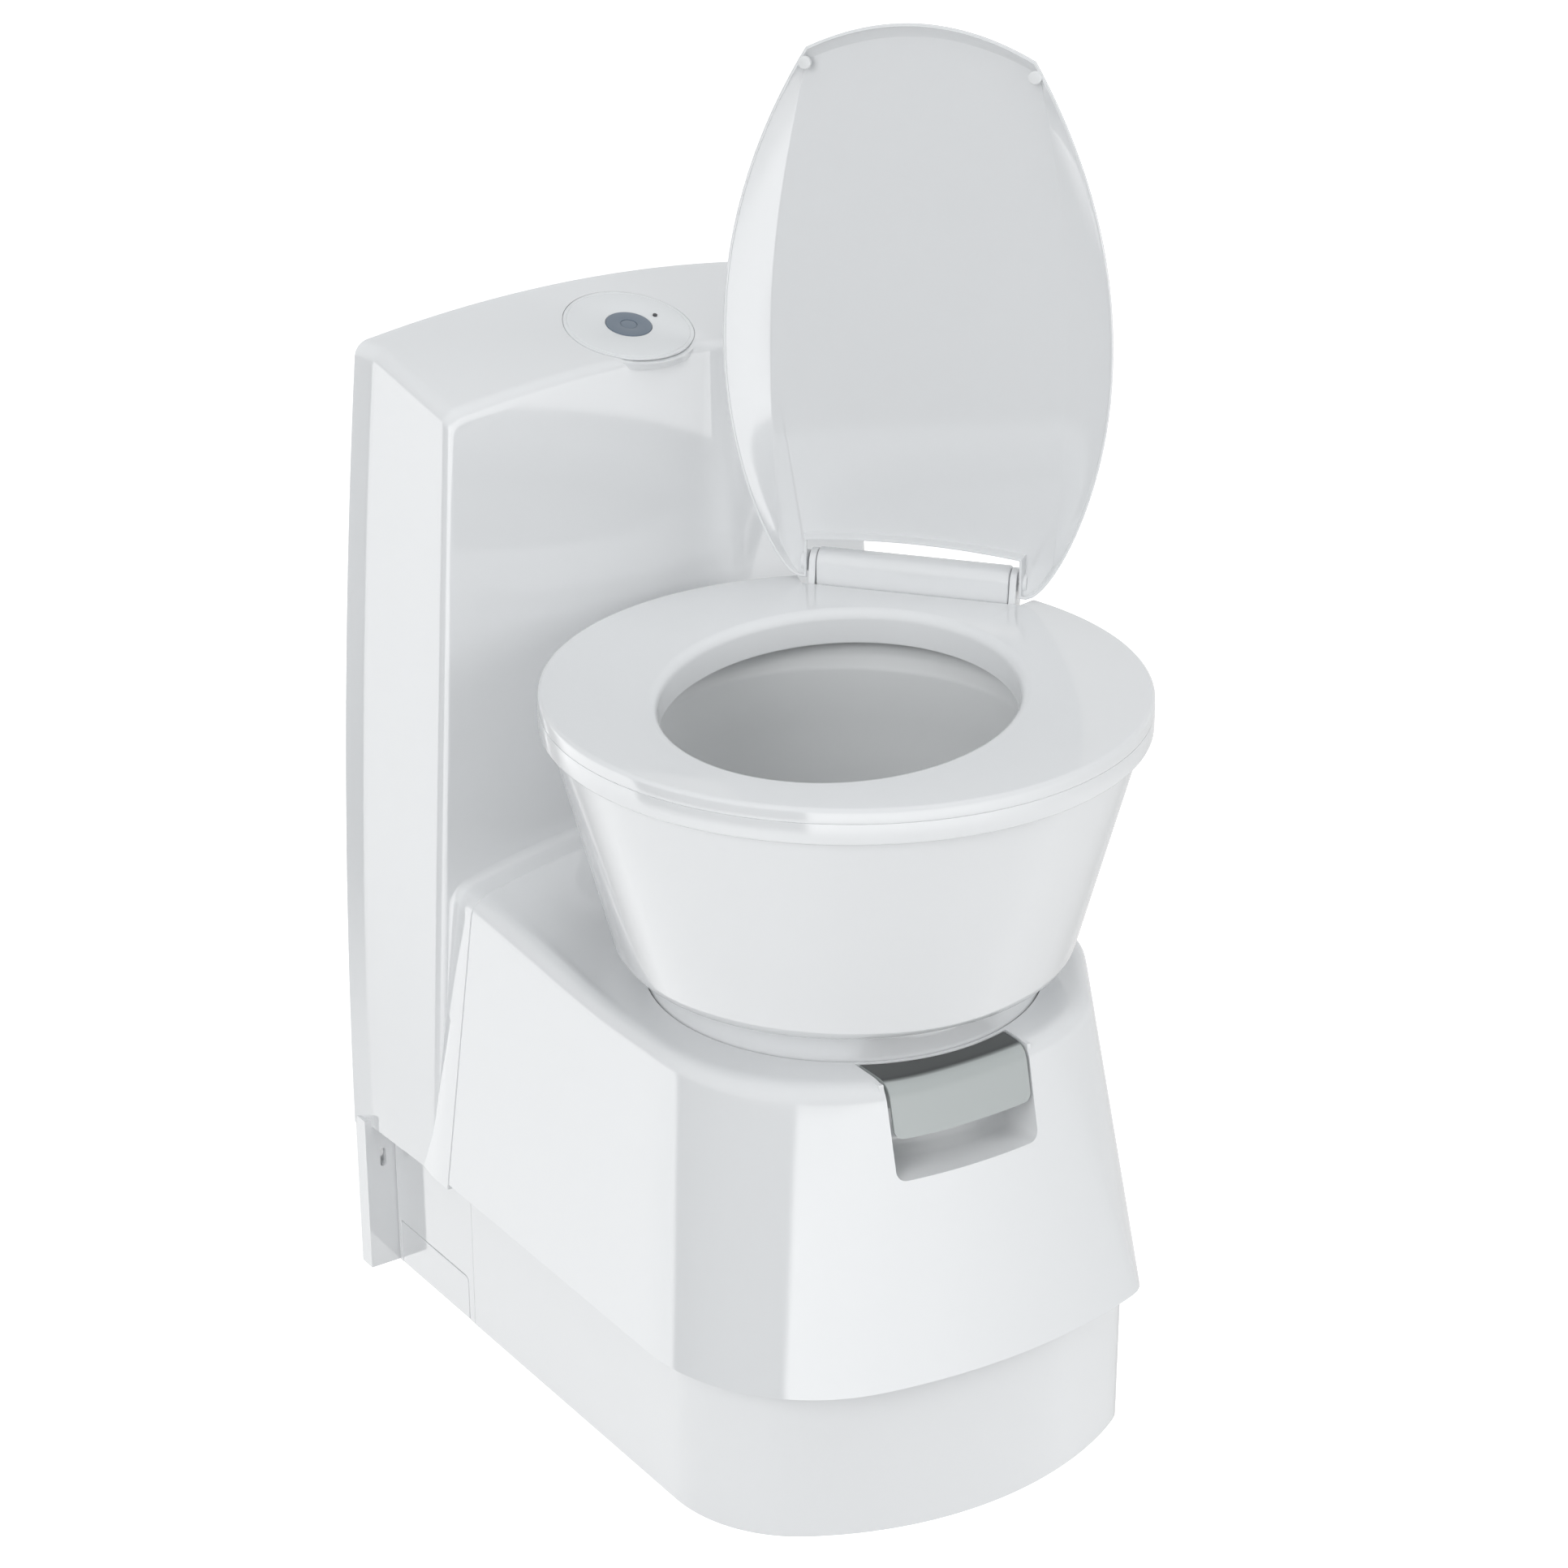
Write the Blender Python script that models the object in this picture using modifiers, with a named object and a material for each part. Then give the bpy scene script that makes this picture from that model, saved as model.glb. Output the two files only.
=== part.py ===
"""Cassette toilet with a swivelling bowl, a lever-worked waste valve and a roll-away waste cassette.

Frame: floor at z = 0, front at -Y, wall side at +Y, x = 0 is the centre plane.
"""
import math

import bmesh
import bpy
from mathutils import Matrix, Vector

# Clearances and walls that all pieces share
GAP = 0.0003
WALL = 0.003
OVERRUN = 0.02
MERGE = 0.00005
BOOLEAN_MERGE = 0.00001
ROUND_PROFILE_SHARE = 0.5
RING_STEPS = 36
SMALL_STEPS = 12

# Console: the tall rear housing against the wall
WALL_PLANE_Y = 0.2255
CONSOLE_FRONT_Y = 0.1222
CONSOLE_TOP_Z = 0.722
CONSOLE_BOTTOM_Z = 0.1178
CONSOLE_TOP_SLOPE = 0.265
CONSOLE_CROWN = 0.5
CONSOLE_BACK_NARROWING = 0.085
CONSOLE_BACK_NARROWING_FROM_Z = 0.1
CONSOLE_FRONT_HALF_WIDTH = 0.1975
CONSOLE_FLARE = 0.0111
CONSOLE_BACK_HALF_WIDTH = CONSOLE_FRONT_HALF_WIDTH + CONSOLE_FLARE
CONSOLE_FRONT_NARROWING = 0.0565
CONSOLE_CORNER_RADIUS = 0.012
CONSOLE_FRONT_EDGE_RADIUS = 0.006
COLLAR_WALL = 0.009
FLANGE_DEPTH = 0.015
FLANGE_INSET = 0.007
FLANGE_FOOT_WIDTH = 0.0242
FLANGE_SLOT_WIDTH = 0.005
FLANGE_SLOT_LENGTH = 0.016
FLANGE_SLOT_Z = 0.0905

# Hood: the front housing over the cassette
SEAM_Y = 0.100
HOOD_BOTTOM_Z = 0.1221
HOOD_BOTTOM_HALF_WIDTH = 0.200
HOOD_BOTTOM_DRAFT = 0.002
HOOD_BOTTOM_APEX_Y = -0.3023
HOOD_BOTTOM_CORNER = 0.1306
HOOD_BOTTOM_BULGE = 0.4138
DECK_Z = 0.321
DECK_HALF_WIDTH = 0.1664
DECK_DRAFT = 0.024
DECK_APEX_Y = -0.258
DECK_CORNER = 0.140
DECK_BULGE = 0.397
DECK_EDGE_ROUND = 0.012
SEAM_CROWN_Z = 0.3597
SEAM_CROWN = 0.78
DRAFT_Y = -0.15
DECK_RISE_RADIUS = 0.158

# Plinth and floor tray
PLINTH_HALF_WIDTH = 0.1808
PLINTH_DRAFT = 0.0099
PLINTH_APEX_Y = -0.2869
PLINTH_CORNER = 0.1005
PLINTH_BULGE = 0.2538
PLINTH_TOP_Z = 0.1335
PLINTH_SEAM = 0.0006
TRAY_THICKNESS = 0.004
RUNNER_X = 0.095
RUNNER_WIDTH = 0.012
RUNNER_TOP_Z = 0.030
RUNNER_FRONT_Y = -0.125
SIDE_COVER_HEIGHT = 0.035
SIDE_COVER_FRONT_Y = 0.108
SIDE_COVER_REAR_Y = 0.205

# Controls on the console
DISC_Y = 0.161
DISC_RADIUS = 0.0455
DISC_THICKNESS = 0.0022
BUTTON_RADIUS = 0.016
BUTTON_TRAVEL = 0.0015
LAMP_RADIUS = 0.0016
LAMP_X = 0.024
LAMP_ALONG = 0.0045
DISC_RECESS = 0.0015
CONTROL_BOSS_DEPTH = 0.0065
BUTTON_DEPTH = 0.010
BUTTON_PROUD = 0.0010

# Swivel, bowl and seat, all turned about the bowl axis
SWIVEL_Y = -0.100
BOWL_TURN_DEG = -50.4
NECK_RADIUS = 0.1335
RING_OPENING_RADIUS = 0.1345
COLLAR_LIP = 0.0023
COLLAR_OUTER_RADIUS = RING_OPENING_RADIUS + COLLAR_LIP
SWIVEL_DISC_TOP_Z = 0.2987
SWIVEL_DISC_THICKNESS = 0.004
SWIVEL_DISC_RADIUS = 0.150
DRAIN_RADIUS = 0.053
DRAIN_WALL = 0.003
BOWL_UNDER_Z = 0.333
BOWL_RIM_Z = 0.5036
BOWL_RIM_RADIUS = 0.190
BOWL_SIDE_SHARES = ((0.195, 0.006), (0.335, 0.076), (0.427, 0.167), (0.515, 0.264), (0.867, 0.694),
                    (0.947, 0.824), (0.947, 0.842), (0.991, 0.853))
INLAY_SHARES = ((1.16, 0.974), (1.05, 0.90), (1.0, 0.62), (0.83, 0.34), (0.42, 0.12), (0.0, 0.0))
INLAY_FLOOR_Z = 0.347
INLAY_LEDGE = 0.062
INLAY_HOLE_RADIUS = BOWL_RIM_RADIUS - INLAY_LEDGE
SEAT_OVERHANG = 0.0113
SEAT_RADIUS = BOWL_RIM_RADIUS + SEAT_OVERHANG
SEAT_PLAY = 0.0011
SEAT_BOTTOM_Z = BOWL_RIM_Z + SEAT_PLAY
SEAT_THICKNESS = 0.0243
SEAT_TOP_Z = SEAT_BOTTOM_Z + SEAT_THICKNESS
SEAT_EDGE_ROUND = 0.006
SEAT_HOLE_RADIUS = 0.119
SEAT_HOLE_ROUND = 0.009
SEAT_HOLE_FORWARD = 0.016
SEAT_STEPS = 40

# Hinge and lid
HINGE_INSET = 0.0203
HINGE_BACK = SEAT_RADIUS - HINGE_INSET
HINGE_LIFT = 0.012
HINGE_Z = SEAT_TOP_Z + HINGE_LIFT
HINGE_PIN_RADIUS = 0.003
HINGE_BLOCK_RADIUS = 0.0105
HINGE_BLOCK_HALF = 0.0685
BLOCK_FOOT_SHARE = 0.7
EAR_THICKNESS = 0.0048
EAR_RADIUS = 0.0095
LUG_RADIUS = 0.0075
LUG_THICKNESS = 0.005
LID_FORWARD = 0.009
LID_PLANE = HINGE_BACK - LID_FORWARD
LID_DROP = 0.0098
LID_BASE_Z = HINGE_Z - LID_DROP
LID_HEIGHT = 0.392
LID_LIP = 0.0022
LID_BASE_HALF = 0.081
LID_HALF_WIDTH = 0.1355
LID_TOP_HALF = 0.0775
LID_TOP_RISE = 0.020
LID_WIDEST_SHARE = 0.45
LID_SWELL_SHARE = 0.62
LID_TAPER_SHARE = 2.1
LID_FIELD_HALF = 0.102
LID_FIELD_SHARES = (0.086, 0.23)
LID_FIELD_MARGIN = 0.010
LID_DISH = 0.0075
LID_WALL = 0.0022
LID_NOTCH_HALF = 0.0756
LID_NOTCH_TOP = 0.0275
LID_NOTCH_ARCH = 0.0045
LID_FRAME_WIDTH = 0.0022
BUMPER_X = 0.0775
BUMPER_DROP = 0.030
BUMPER_UP = LID_HEIGHT - BUMPER_DROP
BUMPER_RADIUS = 0.0045
BUMPER_HEIGHT = 0.0027

# Valve lever in the hood's recess
RECESS_LEFT_X = -0.073
RECESS_RIGHT_X = 0.0385
RECESS_FLOOR_Z = 0.250
RECESS_CORNER = 0.007
RECESS_CORNER_STEPS = 4
RECESS_BACK_SHARE = 0.8
LEVER_SIDE_GAP = 0.0025
LEVER_BOTTOM_Z = 0.284
LEVER_WALL = 0.003
LEVER_CORNER = 0.006
LEVER_REAR_RADIUS = 0.1375
LEVER_EDGE_ROUND = 0.005
LEVER_TRAVEL = 0.055
TONGUE_THICKNESS = 0.0054
TONGUE_LEFT_X = -0.068
TONGUE_RIGHT_X = 0.030
TONGUE_REAR_Y = -0.157
STRIP_RIGHT_X = -0.057

# Rack and pinion drive from the lever to the blade
TOOTH_PITCH = 0.0055
SPARE_TEETH = 2.5
DRIVE_TEETH = 14
BLADE_TEETH = 24
TOOTH_HEIGHT = 0.0030
TOOTH_FLANK = math.radians(20)
TOOTH_PLAY = 0.0005
DRIVE_Y = -0.030
DOG_WIDTH = 0.003
DOG_LENGTH = 0.014
SHAFT_RADIUS = 0.0040

# Waste cassette
TANK_HALF_WIDTH = 0.150
TANK_FRONT_Y = -0.175
TANK_REAR_Y = 0.195
TANK_BOTTOM_Z = 0.0303
TANK_TOP_Z = 0.2547
TANK_CORNER = 0.025
TANK_WALL = 0.0025
MOUTH_RADIUS = 0.045
HOUSING_LEFT_X = -0.119
HOUSING_RIGHT_X = 0.064
HOUSING_FRONT_Y = -0.162
HOUSING_REAR_Y = 0.112
HOUSING_SKIN = 0.0035
BLADE_THICKNESS = 0.0048
BLADE_HALF_WIDTH = 0.051
BLADE_FRONT_Y = -0.148
BLADE_REAR_Y = 0.004
BLADE_ARM_WIDTH = 0.009
BLADE_BAR = 0.006
BLADE_PLAY = 0.00035
BLADE_TRAVEL = LEVER_TRAVEL * BLADE_TEETH / DRIVE_TEETH
OPENER_RADIUS = 0.012
OPENER_HEIGHT = 0.0110
OPENER_SLOT_DEPTH = 0.0050
OPENER_SLOT_PLAY = 0.0004
SEAL_DROP = 0.0028
SEAL_WALL = 0.006
CASSETTE_TRAVEL = 0.45
WHEEL_RADIUS = 0.020
WHEEL_WIDTH = 0.016
WHEEL_X = 0.134
WHEEL_Y = -0.150
AXLE_RADIUS = 0.003
LUG_WIDTH = 0.008
PULL_ROD_RADIUS = 0.0045
PULL_ROD_X = 0.134
PULL_REAR_Y = 0.188
PULL_FRONT_Y = -0.105
PULL_GUIDE_FRONT_Y = 0.130
PULL_GUIDE_REAR_Y = 0.170
PULL_TRAVEL = 0.22
SPOUT_X = 0.094
SPOUT_Y = 0.120
SPOUT_RADIUS = 0.017
SPOUT_REACH = 0.046
SPOUT_WALL = 0.002
SPOUT_BASE_HEIGHT = 0.008
CAP_RADIUS = 0.0195
CAP_LENGTH = 0.014
VENT_X = 0.100
VENT_Y = -0.030
VENT_RADIUS = 0.009
VENT_HEIGHT = 0.010
VENT_TRAVEL = 0.004

# Flush water pieces inside the console
VALVE_LOW = (0.048, 0.410)
VALVE_SIZE = (0.040, 0.034, 0.050)
HOSE_RADIUS = 0.005
HOSE_HOLE_SHARE = 2.5
PIPE_SHARE = 1.5
HOSE_BEND_SHARE = 2.4
HOSE_ROUTE_SHARES = (0.6, 0.3, 0.5, 0.4)
HOSE_X = 0.068
HOSE_Y = -0.040
UNIT_SIZE = (0.070, 0.044, 0.022)

TURN = math.radians(BOWL_TURN_DEG)
WHITE = (0.86, 0.87, 0.88)
SOFT_WHITE = (0.80, 0.81, 0.82)
GREY = (0.42, 0.45, 0.45)
DARK = (0.06, 0.06, 0.07)
STEEL = (0.62, 0.62, 0.64)
SLATE = (0.14, 0.17, 0.22)


def clear_scene():
    for item in list(bpy.data.objects):
        bpy.data.objects.remove(item, do_unlink=True)


def collection(name):
    group = bpy.data.collections.new(name)
    bpy.context.scene.collection.children.link(group)
    return group


clear_scene()
PARTS = collection("cassette_toilet")
CUTTERS = collection("cutters")


def material(name, colour, roughness, metallic):
    made = bpy.data.materials.new(name)
    made.use_nodes = True
    shader = made.node_tree.nodes["Principled BSDF"]
    shader.inputs["Base Color"].default_value = (*colour, 1.0)
    shader.inputs["Roughness"].default_value = roughness
    shader.inputs["Metallic"].default_value = metallic
    return made


def piece(name, mesh, frame, colour, roughness=0.25, metallic=0.0):
    """Turn a mesh into a named piece whose coordinates are those of its joint's frame."""
    made = bpy.data.objects.new(name, mesh)
    PARTS.objects.link(made)
    hang(made, frame)
    mesh.materials.clear()
    mesh.materials.append(material(name, colour, roughness, metallic))
    mesh.shade_smooth()
    mesh.set_sharp_from_angle(angle=math.radians(35))
    return made


def hang(item, frame):
    """Parent an item to a joint's empty, so that its coordinates are the ones it was drawn in."""
    if frame is not None:
        item.parent = frame
        item.location = -Vector(frame["drawn_from"])


def joint_frame(name, place, parent=None, turn=0.0, own=False):
    """An empty on a joint's axis; its pieces are drawn in its own or in its parent's coordinates."""
    frame = bpy.data.objects.new(name, None)
    PARTS.objects.link(frame)
    frame.parent = parent
    frame.location = Vector(place) - (Vector(parent["drawn_from"]) if parent else Vector())
    frame.rotation_euler[2] = turn
    frame["drawn_from"] = (0.0, 0.0, 0.0) if own else tuple(place)
    return frame


def cutter(mesh, frame):
    made = bpy.data.objects.new("cutter", mesh)
    CUTTERS.objects.link(made)
    made.display_type = "WIRE"
    made.hide_render = True
    hang(made, frame)
    return made


def combine(target, mesh, operation, frame=None):
    """Add, take away or intersect another closed shape given in the target's coordinates."""
    step = target.modifiers.new(operation.lower(), "BOOLEAN")
    step.operation = operation
    step.object = cutter(mesh, frame if frame is not None else target.parent)
    return target


def cut(target, mesh):
    return combine(target, mesh, "DIFFERENCE")


def join(target, mesh):
    return combine(target, mesh, "UNION")


def weld(made):
    """Close the hairline seams that a row of boolean steps can leave."""
    step = made.modifiers.new("weld", "WELD")
    step.merge_threshold = BOOLEAN_MERGE
    return made


def mesh_from(work, name="shape"):
    bmesh.ops.recalc_face_normals(work, faces=work.faces)
    mesh = bpy.data.meshes.new(name)
    work.to_mesh(mesh)
    work.free()
    return mesh


def box(low, high):
    work = bmesh.new()
    bmesh.ops.create_cube(work, size=1.0)
    low = Vector(low)
    high = Vector(high)
    size = high - low
    bmesh.ops.scale(work, vec=size, verts=work.verts)
    bmesh.ops.translate(work, vec=low + size / 2, verts=work.verts)
    return mesh_from(work)


def rod(radius, start, end, steps=SMALL_STEPS):
    """A closed cylinder from one point to another."""
    start = Vector(start)
    end = Vector(end)
    along = end - start
    work = bmesh.new()
    bmesh.ops.create_cone(work, cap_ends=True, segments=steps, radius1=radius, radius2=radius,
                          depth=along.length)
    turn = along.to_track_quat("Z", "Y").to_matrix().to_4x4()
    bmesh.ops.transform(work, matrix=Matrix.Translation((start + end) / 2) @ turn, verts=work.verts)
    return mesh_from(work)


def plate(outline, low, high, holes=()):
    """A flat plate from a plan outline, with any holes, between two heights."""
    curve = bpy.data.curves.new("outline", "CURVE")
    curve.dimensions = "2D"
    curve.fill_mode = "BOTH"
    curve.extrude = (high - low) / 2
    for ring in (outline, *holes):
        spline = curve.splines.new("POLY")
        spline.points.add(len(ring) - 1)
        for point, place in zip(spline.points, ring):
            point.co = (place[0], place[1], 0.0, 1.0)
        spline.use_cyclic_u = True
    return meshed(curve, Matrix.Translation((0, 0, (low + high) / 2)))


def meshed(curve, place=None):
    """Weld a curve object's evaluated form into a closed mesh."""
    item = bpy.data.objects.new("curve", curve)
    bpy.context.scene.collection.objects.link(item)
    bpy.context.view_layer.update()
    evaluated = item.evaluated_get(bpy.context.evaluated_depsgraph_get())
    work = bmesh.new()
    flat = bpy.data.meshes.new_from_object(evaluated)
    work.from_mesh(flat)
    bmesh.ops.remove_doubles(work, verts=work.verts, dist=MERGE)
    if place is not None:
        bmesh.ops.transform(work, matrix=place, verts=work.verts)
    bpy.data.objects.remove(item)
    bpy.data.meshes.remove(flat)
    return mesh_from(work)


def tube(points, radius):
    """A round tube along a route, with filled ends."""
    curve = bpy.data.curves.new("route", "CURVE")
    curve.dimensions = "3D"
    curve.bevel_depth = radius
    curve.bevel_resolution = 1
    curve.use_fill_caps = True
    spline = curve.splines.new("POLY")
    spline.points.add(len(points) - 1)
    for point, place in zip(spline.points, points):
        point.co = (*place, 1.0)
    return meshed(curve)


def turned(name, profile, frame, colour, steps=RING_STEPS, closed=True, **look):
    """A piece turned about its frame's Z axis; the profile runs down its outer side first."""
    count = len(profile)
    edges = [(i, (i + 1) % count) for i in range(count if closed else count - 1)]
    mesh = bpy.data.meshes.new(name)
    mesh.from_pydata([(r, 0, z) for r, z in profile], edges, [])
    made = piece(name, mesh, frame, colour, **look)
    screw = made.modifiers.new("turn", "SCREW")
    screw.steps = steps
    screw.render_steps = steps
    screw.use_merge_vertices = True
    screw.merge_threshold = MERGE
    return made


def lathe(profile, centre=(0.0, 0.0), steps=RING_STEPS):
    """The closed mesh of a turned profile, for cutting and joining."""
    work = bmesh.new()
    points = [work.verts.new((r, 0, z)) for r, z in profile]
    pairs = [(points[i], points[(i + 1) % len(points)]) for i in range(len(points))]
    lines = [work.edges.new(pair) for pair in pairs if max(pair[0].co.x, pair[1].co.x) > 0]
    bmesh.ops.spin(work, geom=points + lines, cent=(0, 0, 0), axis=(0, 0, 1),
                   angle=2 * math.pi, steps=steps, use_merge=True)
    bmesh.ops.remove_doubles(work, verts=work.verts, dist=MERGE)
    bmesh.ops.translate(work, vec=(centre[0], centre[1], 0), verts=work.verts)
    return mesh_from(work)


def loft(rows, closed_rows=True, cap=True):
    """Skin rows of points; each row is a ring, or a line when closed_rows is False."""
    work = bmesh.new()
    grid = [[work.verts.new(place) for place in row] for row in rows]
    across = len(rows[0])
    for lower, upper in zip(grid, grid[1:]):
        for i in range(across if closed_rows else across - 1):
            j = (i + 1) % across
            work.faces.new((lower[i], lower[j], upper[j], upper[i]))
    if cap:
        work.faces.new(grid[0])
        work.faces.new(list(reversed(grid[-1])))
    return mesh_from(work)


def arc(centre, radius, start_deg, end_deg, steps):
    """Points of an arc in the plane, both ends included."""
    span = end_deg - start_deg
    angles = [math.radians(start_deg + span * i / steps) for i in range(steps + 1)]
    return [(centre[0] + radius * math.cos(a), centre[1] + radius * math.sin(a)) for a in angles]


def rounded_rectangle(low, high, radius, steps=3):
    corners = [((high[0] - radius, high[1] - radius), 0), ((low[0] + radius, high[1] - radius), 90),
               ((low[0] + radius, low[1] + radius), 180), ((high[0] - radius, low[1] + radius), 270)]
    return [p for centre, start in corners for p in arc(centre, radius, start, start + 90, steps)]


def u_outline(half, draft, apex, corner, bulge, inset=0.0, rear=SEAM_Y, side_steps=1):
    """The U-shaped plan of the base: straight drafted sides, round corners and a bowed front.

    The points run from the rear left, round the front, to the rear right.
    """
    corner_steps = 7
    front_steps = 10
    half = half - inset
    apex = apex + inset
    corner = corner - inset
    bulge = bulge - inset
    shift = corner * math.hypot(1, draft) - (half - draft * DRAFT_Y)
    centre_y = apex + bulge
    a = 1 + draft * draft
    b = -2 * (shift * draft + centre_y)
    c = shift * shift + centre_y * centre_y - (bulge - corner) ** 2
    y = (-b - math.sqrt(max(b * b - 4 * a * c, 0))) / (2 * a)
    x = shift - draft * y
    side = math.degrees(math.atan2(-draft, -1)) % 360
    front = math.degrees(math.atan2(y - centre_y, x)) % 360
    bend = arc((x, y), corner, side, front, corner_steps)
    end = (-(half + draft * (rear - DRAFT_Y)), rear)
    shares = [i / side_steps for i in range(side_steps)]
    left = [(lerp(end[0], bend[0][0], t), lerp(end[1], bend[0][1], t)) for t in shares] + bend
    middle = arc((0, centre_y), bulge, front, 540 - front, front_steps)[1:-1]
    right = [(-p[0], p[1]) for p in reversed(left)]
    return left + middle + right


def lerp(a, b, t):
    return a + (b - a) * t


def console_half(y, z):
    """Half the console's width at a depth and a height."""
    front = CONSOLE_FRONT_HALF_WIDTH - CONSOLE_FRONT_NARROWING * (z - CONSOLE_BOTTOM_Z)
    above = max(0.0, z - CONSOLE_BACK_NARROWING_FROM_Z)
    back = CONSOLE_BACK_HALF_WIDTH - CONSOLE_BACK_NARROWING * above * above
    flange_y = WALL_PLANE_Y - FLANGE_DEPTH
    if y > flange_y:
        return lerp(back - FLANGE_INSET, back, min(1.0, (y - flange_y) / FLANGE_DEPTH))
    return lerp(front, back - FLANGE_INSET, (y - CONSOLE_FRONT_Y) / (flange_y - CONSOLE_FRONT_Y))


def console_top(x, y):
    return CONSOLE_TOP_Z - CONSOLE_TOP_SLOPE * (WALL_PLANE_Y - y) - CONSOLE_CROWN * x * x


def console_section(y, inset, bottom, side_steps=4, crown_steps=6):
    """A ring across the console: up the left side, over the crowned top and down the right side."""
    depth = min(y, WALL_PLANE_Y)
    shoulder = console_top(console_half(depth, CONSOLE_TOP_Z), depth) - inset
    half = console_half(depth, shoulder) - inset
    radius = CONSOLE_CORNER_RADIUS
    start = console_top(half - radius, depth) - inset - radius
    heights = [lerp(bottom, start, i / side_steps) for i in range(side_steps + 1)]
    left = [(-(console_half(depth, z) - inset), z) for z in heights[:-1]]
    corner = arc((-(half - radius), start), radius, 180, 90, 3)
    inner = half - radius
    crown = [lerp(-inner, inner, i / crown_steps) for i in range(1, crown_steps)]
    top = [(x, console_top(x, depth) - inset) for x in crown]
    right = [(-x, z) for x, z in reversed(left + corner)]
    return [(x, y, z) for x, z in left + corner + top + right]


def seam_half(z):
    """Half the width of hood and collar where they meet."""
    bottom = HOOD_BOTTOM_HALF_WIDTH + HOOD_BOTTOM_DRAFT * (SEAM_Y - DRAFT_Y)
    top = DECK_HALF_WIDTH + DECK_DRAFT * (SEAM_Y - DRAFT_Y)
    return lerp(bottom, top, (z - HOOD_BOTTOM_Z) / (seam_crown(top) - HOOD_BOTTOM_Z))


def seam_crown(x):
    return SEAM_CROWN_Z - SEAM_CROWN * x * x


def seam_section(y, inset, bottom, crown_steps=8):
    """The arch-shaped ring of the collar that meets the hood."""
    top = DECK_HALF_WIDTH + DECK_DRAFT * (SEAM_Y - DRAFT_Y)
    height = seam_crown(top)
    inner = top - DECK_EDGE_ROUND
    low = (seam_half(height - DECK_EDGE_ROUND), height - DECK_EDGE_ROUND)
    high = (inner, seam_crown(inner))
    bend = [quadratic(low, (top, height), high, i / 4) for i in range(5)]
    left = [(-(seam_half(bottom) - inset), bottom)] + [(-(x - inset), z - inset * i / 4)
                                                       for i, (x, z) in enumerate(bend)]
    crown = [lerp(-inner, inner, i / crown_steps) for i in range(1, crown_steps)]
    middle = [(x, seam_crown(x) - inset) for x in crown]
    right = [(-x, z) for x, z in reversed(left)]
    return [(x, y, z) for x, z in left + middle + right]


def quadratic(a, b, c, t):
    return tuple((1 - t) ** 2 * p + 2 * t * (1 - t) * q + t * t * r for p, q, r in zip(a, b, c))


def soften_front_edges(made):
    """Round the console's front edges with a weighted bevel."""
    mesh = made.data
    weights = mesh.attributes.new("bevel_weight_edge", "FLOAT", "EDGE")
    for edge in mesh.edges:
        ends = [mesh.vertices[i].co for i in edge.vertices]
        on_front = all(abs(p.y - CONSOLE_FRONT_Y) < MERGE for p in ends)
        on_bottom = all(abs(p.z - CONSOLE_BOTTOM_Z) < MERGE for p in ends)
        weights.data[edge.index].value = 1.0 if on_front and not on_bottom else 0.0
    bevel = made.modifiers.new("front edges", "BEVEL")
    bevel.limit_method = "WEIGHT"
    bevel.width = CONSOLE_FRONT_EDGE_RADIUS
    bevel.segments = 3


def console():
    """Open-backed rear housing with the arch-shaped collar and two wall flanges."""
    flange_y = WALL_PLANE_Y - FLANGE_DEPTH
    outer = [console_section(y, 0.0, CONSOLE_BOTTOM_Z) for y in (CONSOLE_FRONT_Y, flange_y, WALL_PLANE_Y)]
    made = piece("rear_console", loft(outer), None, WHITE)
    soften_front_edges(made)
    depths = (CONSOLE_FRONT_Y + WALL, flange_y, WALL_PLANE_Y + OVERRUN)
    cut(made, loft([console_section(y, WALL, CONSOLE_BOTTOM_Z - OVERRUN) for y in depths]))
    collar_end = CONSOLE_FRONT_Y + 2 * WALL
    join(made, loft([seam_section(y, 0.0, CONSOLE_BOTTOM_Z + GAP) for y in (SEAM_Y + GAP, collar_end)]))
    passage = (SEAM_Y - OVERRUN, CONSOLE_FRONT_Y + OVERRUN)
    cut(made, loft([seam_section(y, COLLAR_WALL, CONSOLE_BOTTOM_Z - OVERRUN) for y in passage]))
    for side in (-1, 1):
        join(made, flange_foot(side))
        cut(made, flange_slot(side))
    return made


def flange_foot(side):
    """The wall flange's lower stretch, which runs on to the floor."""
    rows = []
    for y in (WALL_PLANE_Y - FLANGE_DEPTH + GAP, WALL_PLANE_Y - GAP):
        outer = console_half(y, CONSOLE_BOTTOM_Z) - GAP
        inner = outer - FLANGE_FOOT_WIDTH
        top = CONSOLE_BOTTOM_Z + 2 * WALL
        rows.append([(side * x, y, z) for x, z in ((outer, 0.0), (outer, top), (inner, top), (inner, 0.0))])
    return loft(rows)


def flange_slot(side):
    """The long fixing hole in the foot, cut from the front to the wall."""
    middle = side * (CONSOLE_BACK_HALF_WIDTH - FLANGE_FOOT_WIDTH + FLANGE_SLOT_WIDTH)
    half = FLANGE_SLOT_WIDTH / 2
    reach = FLANGE_SLOT_LENGTH / 2
    low = (middle - half, FLANGE_SLOT_Z - reach)
    high = (middle + half, FLANGE_SLOT_Z + reach)
    outline = rounded_rectangle(low, high, half - GAP)
    mesh = plate(outline, -WALL_PLANE_Y - OVERRUN, FLANGE_DEPTH + OVERRUN - WALL_PLANE_Y)
    mesh.transform(Matrix.Rotation(math.pi / 2, 4, "X"))
    return mesh


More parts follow.
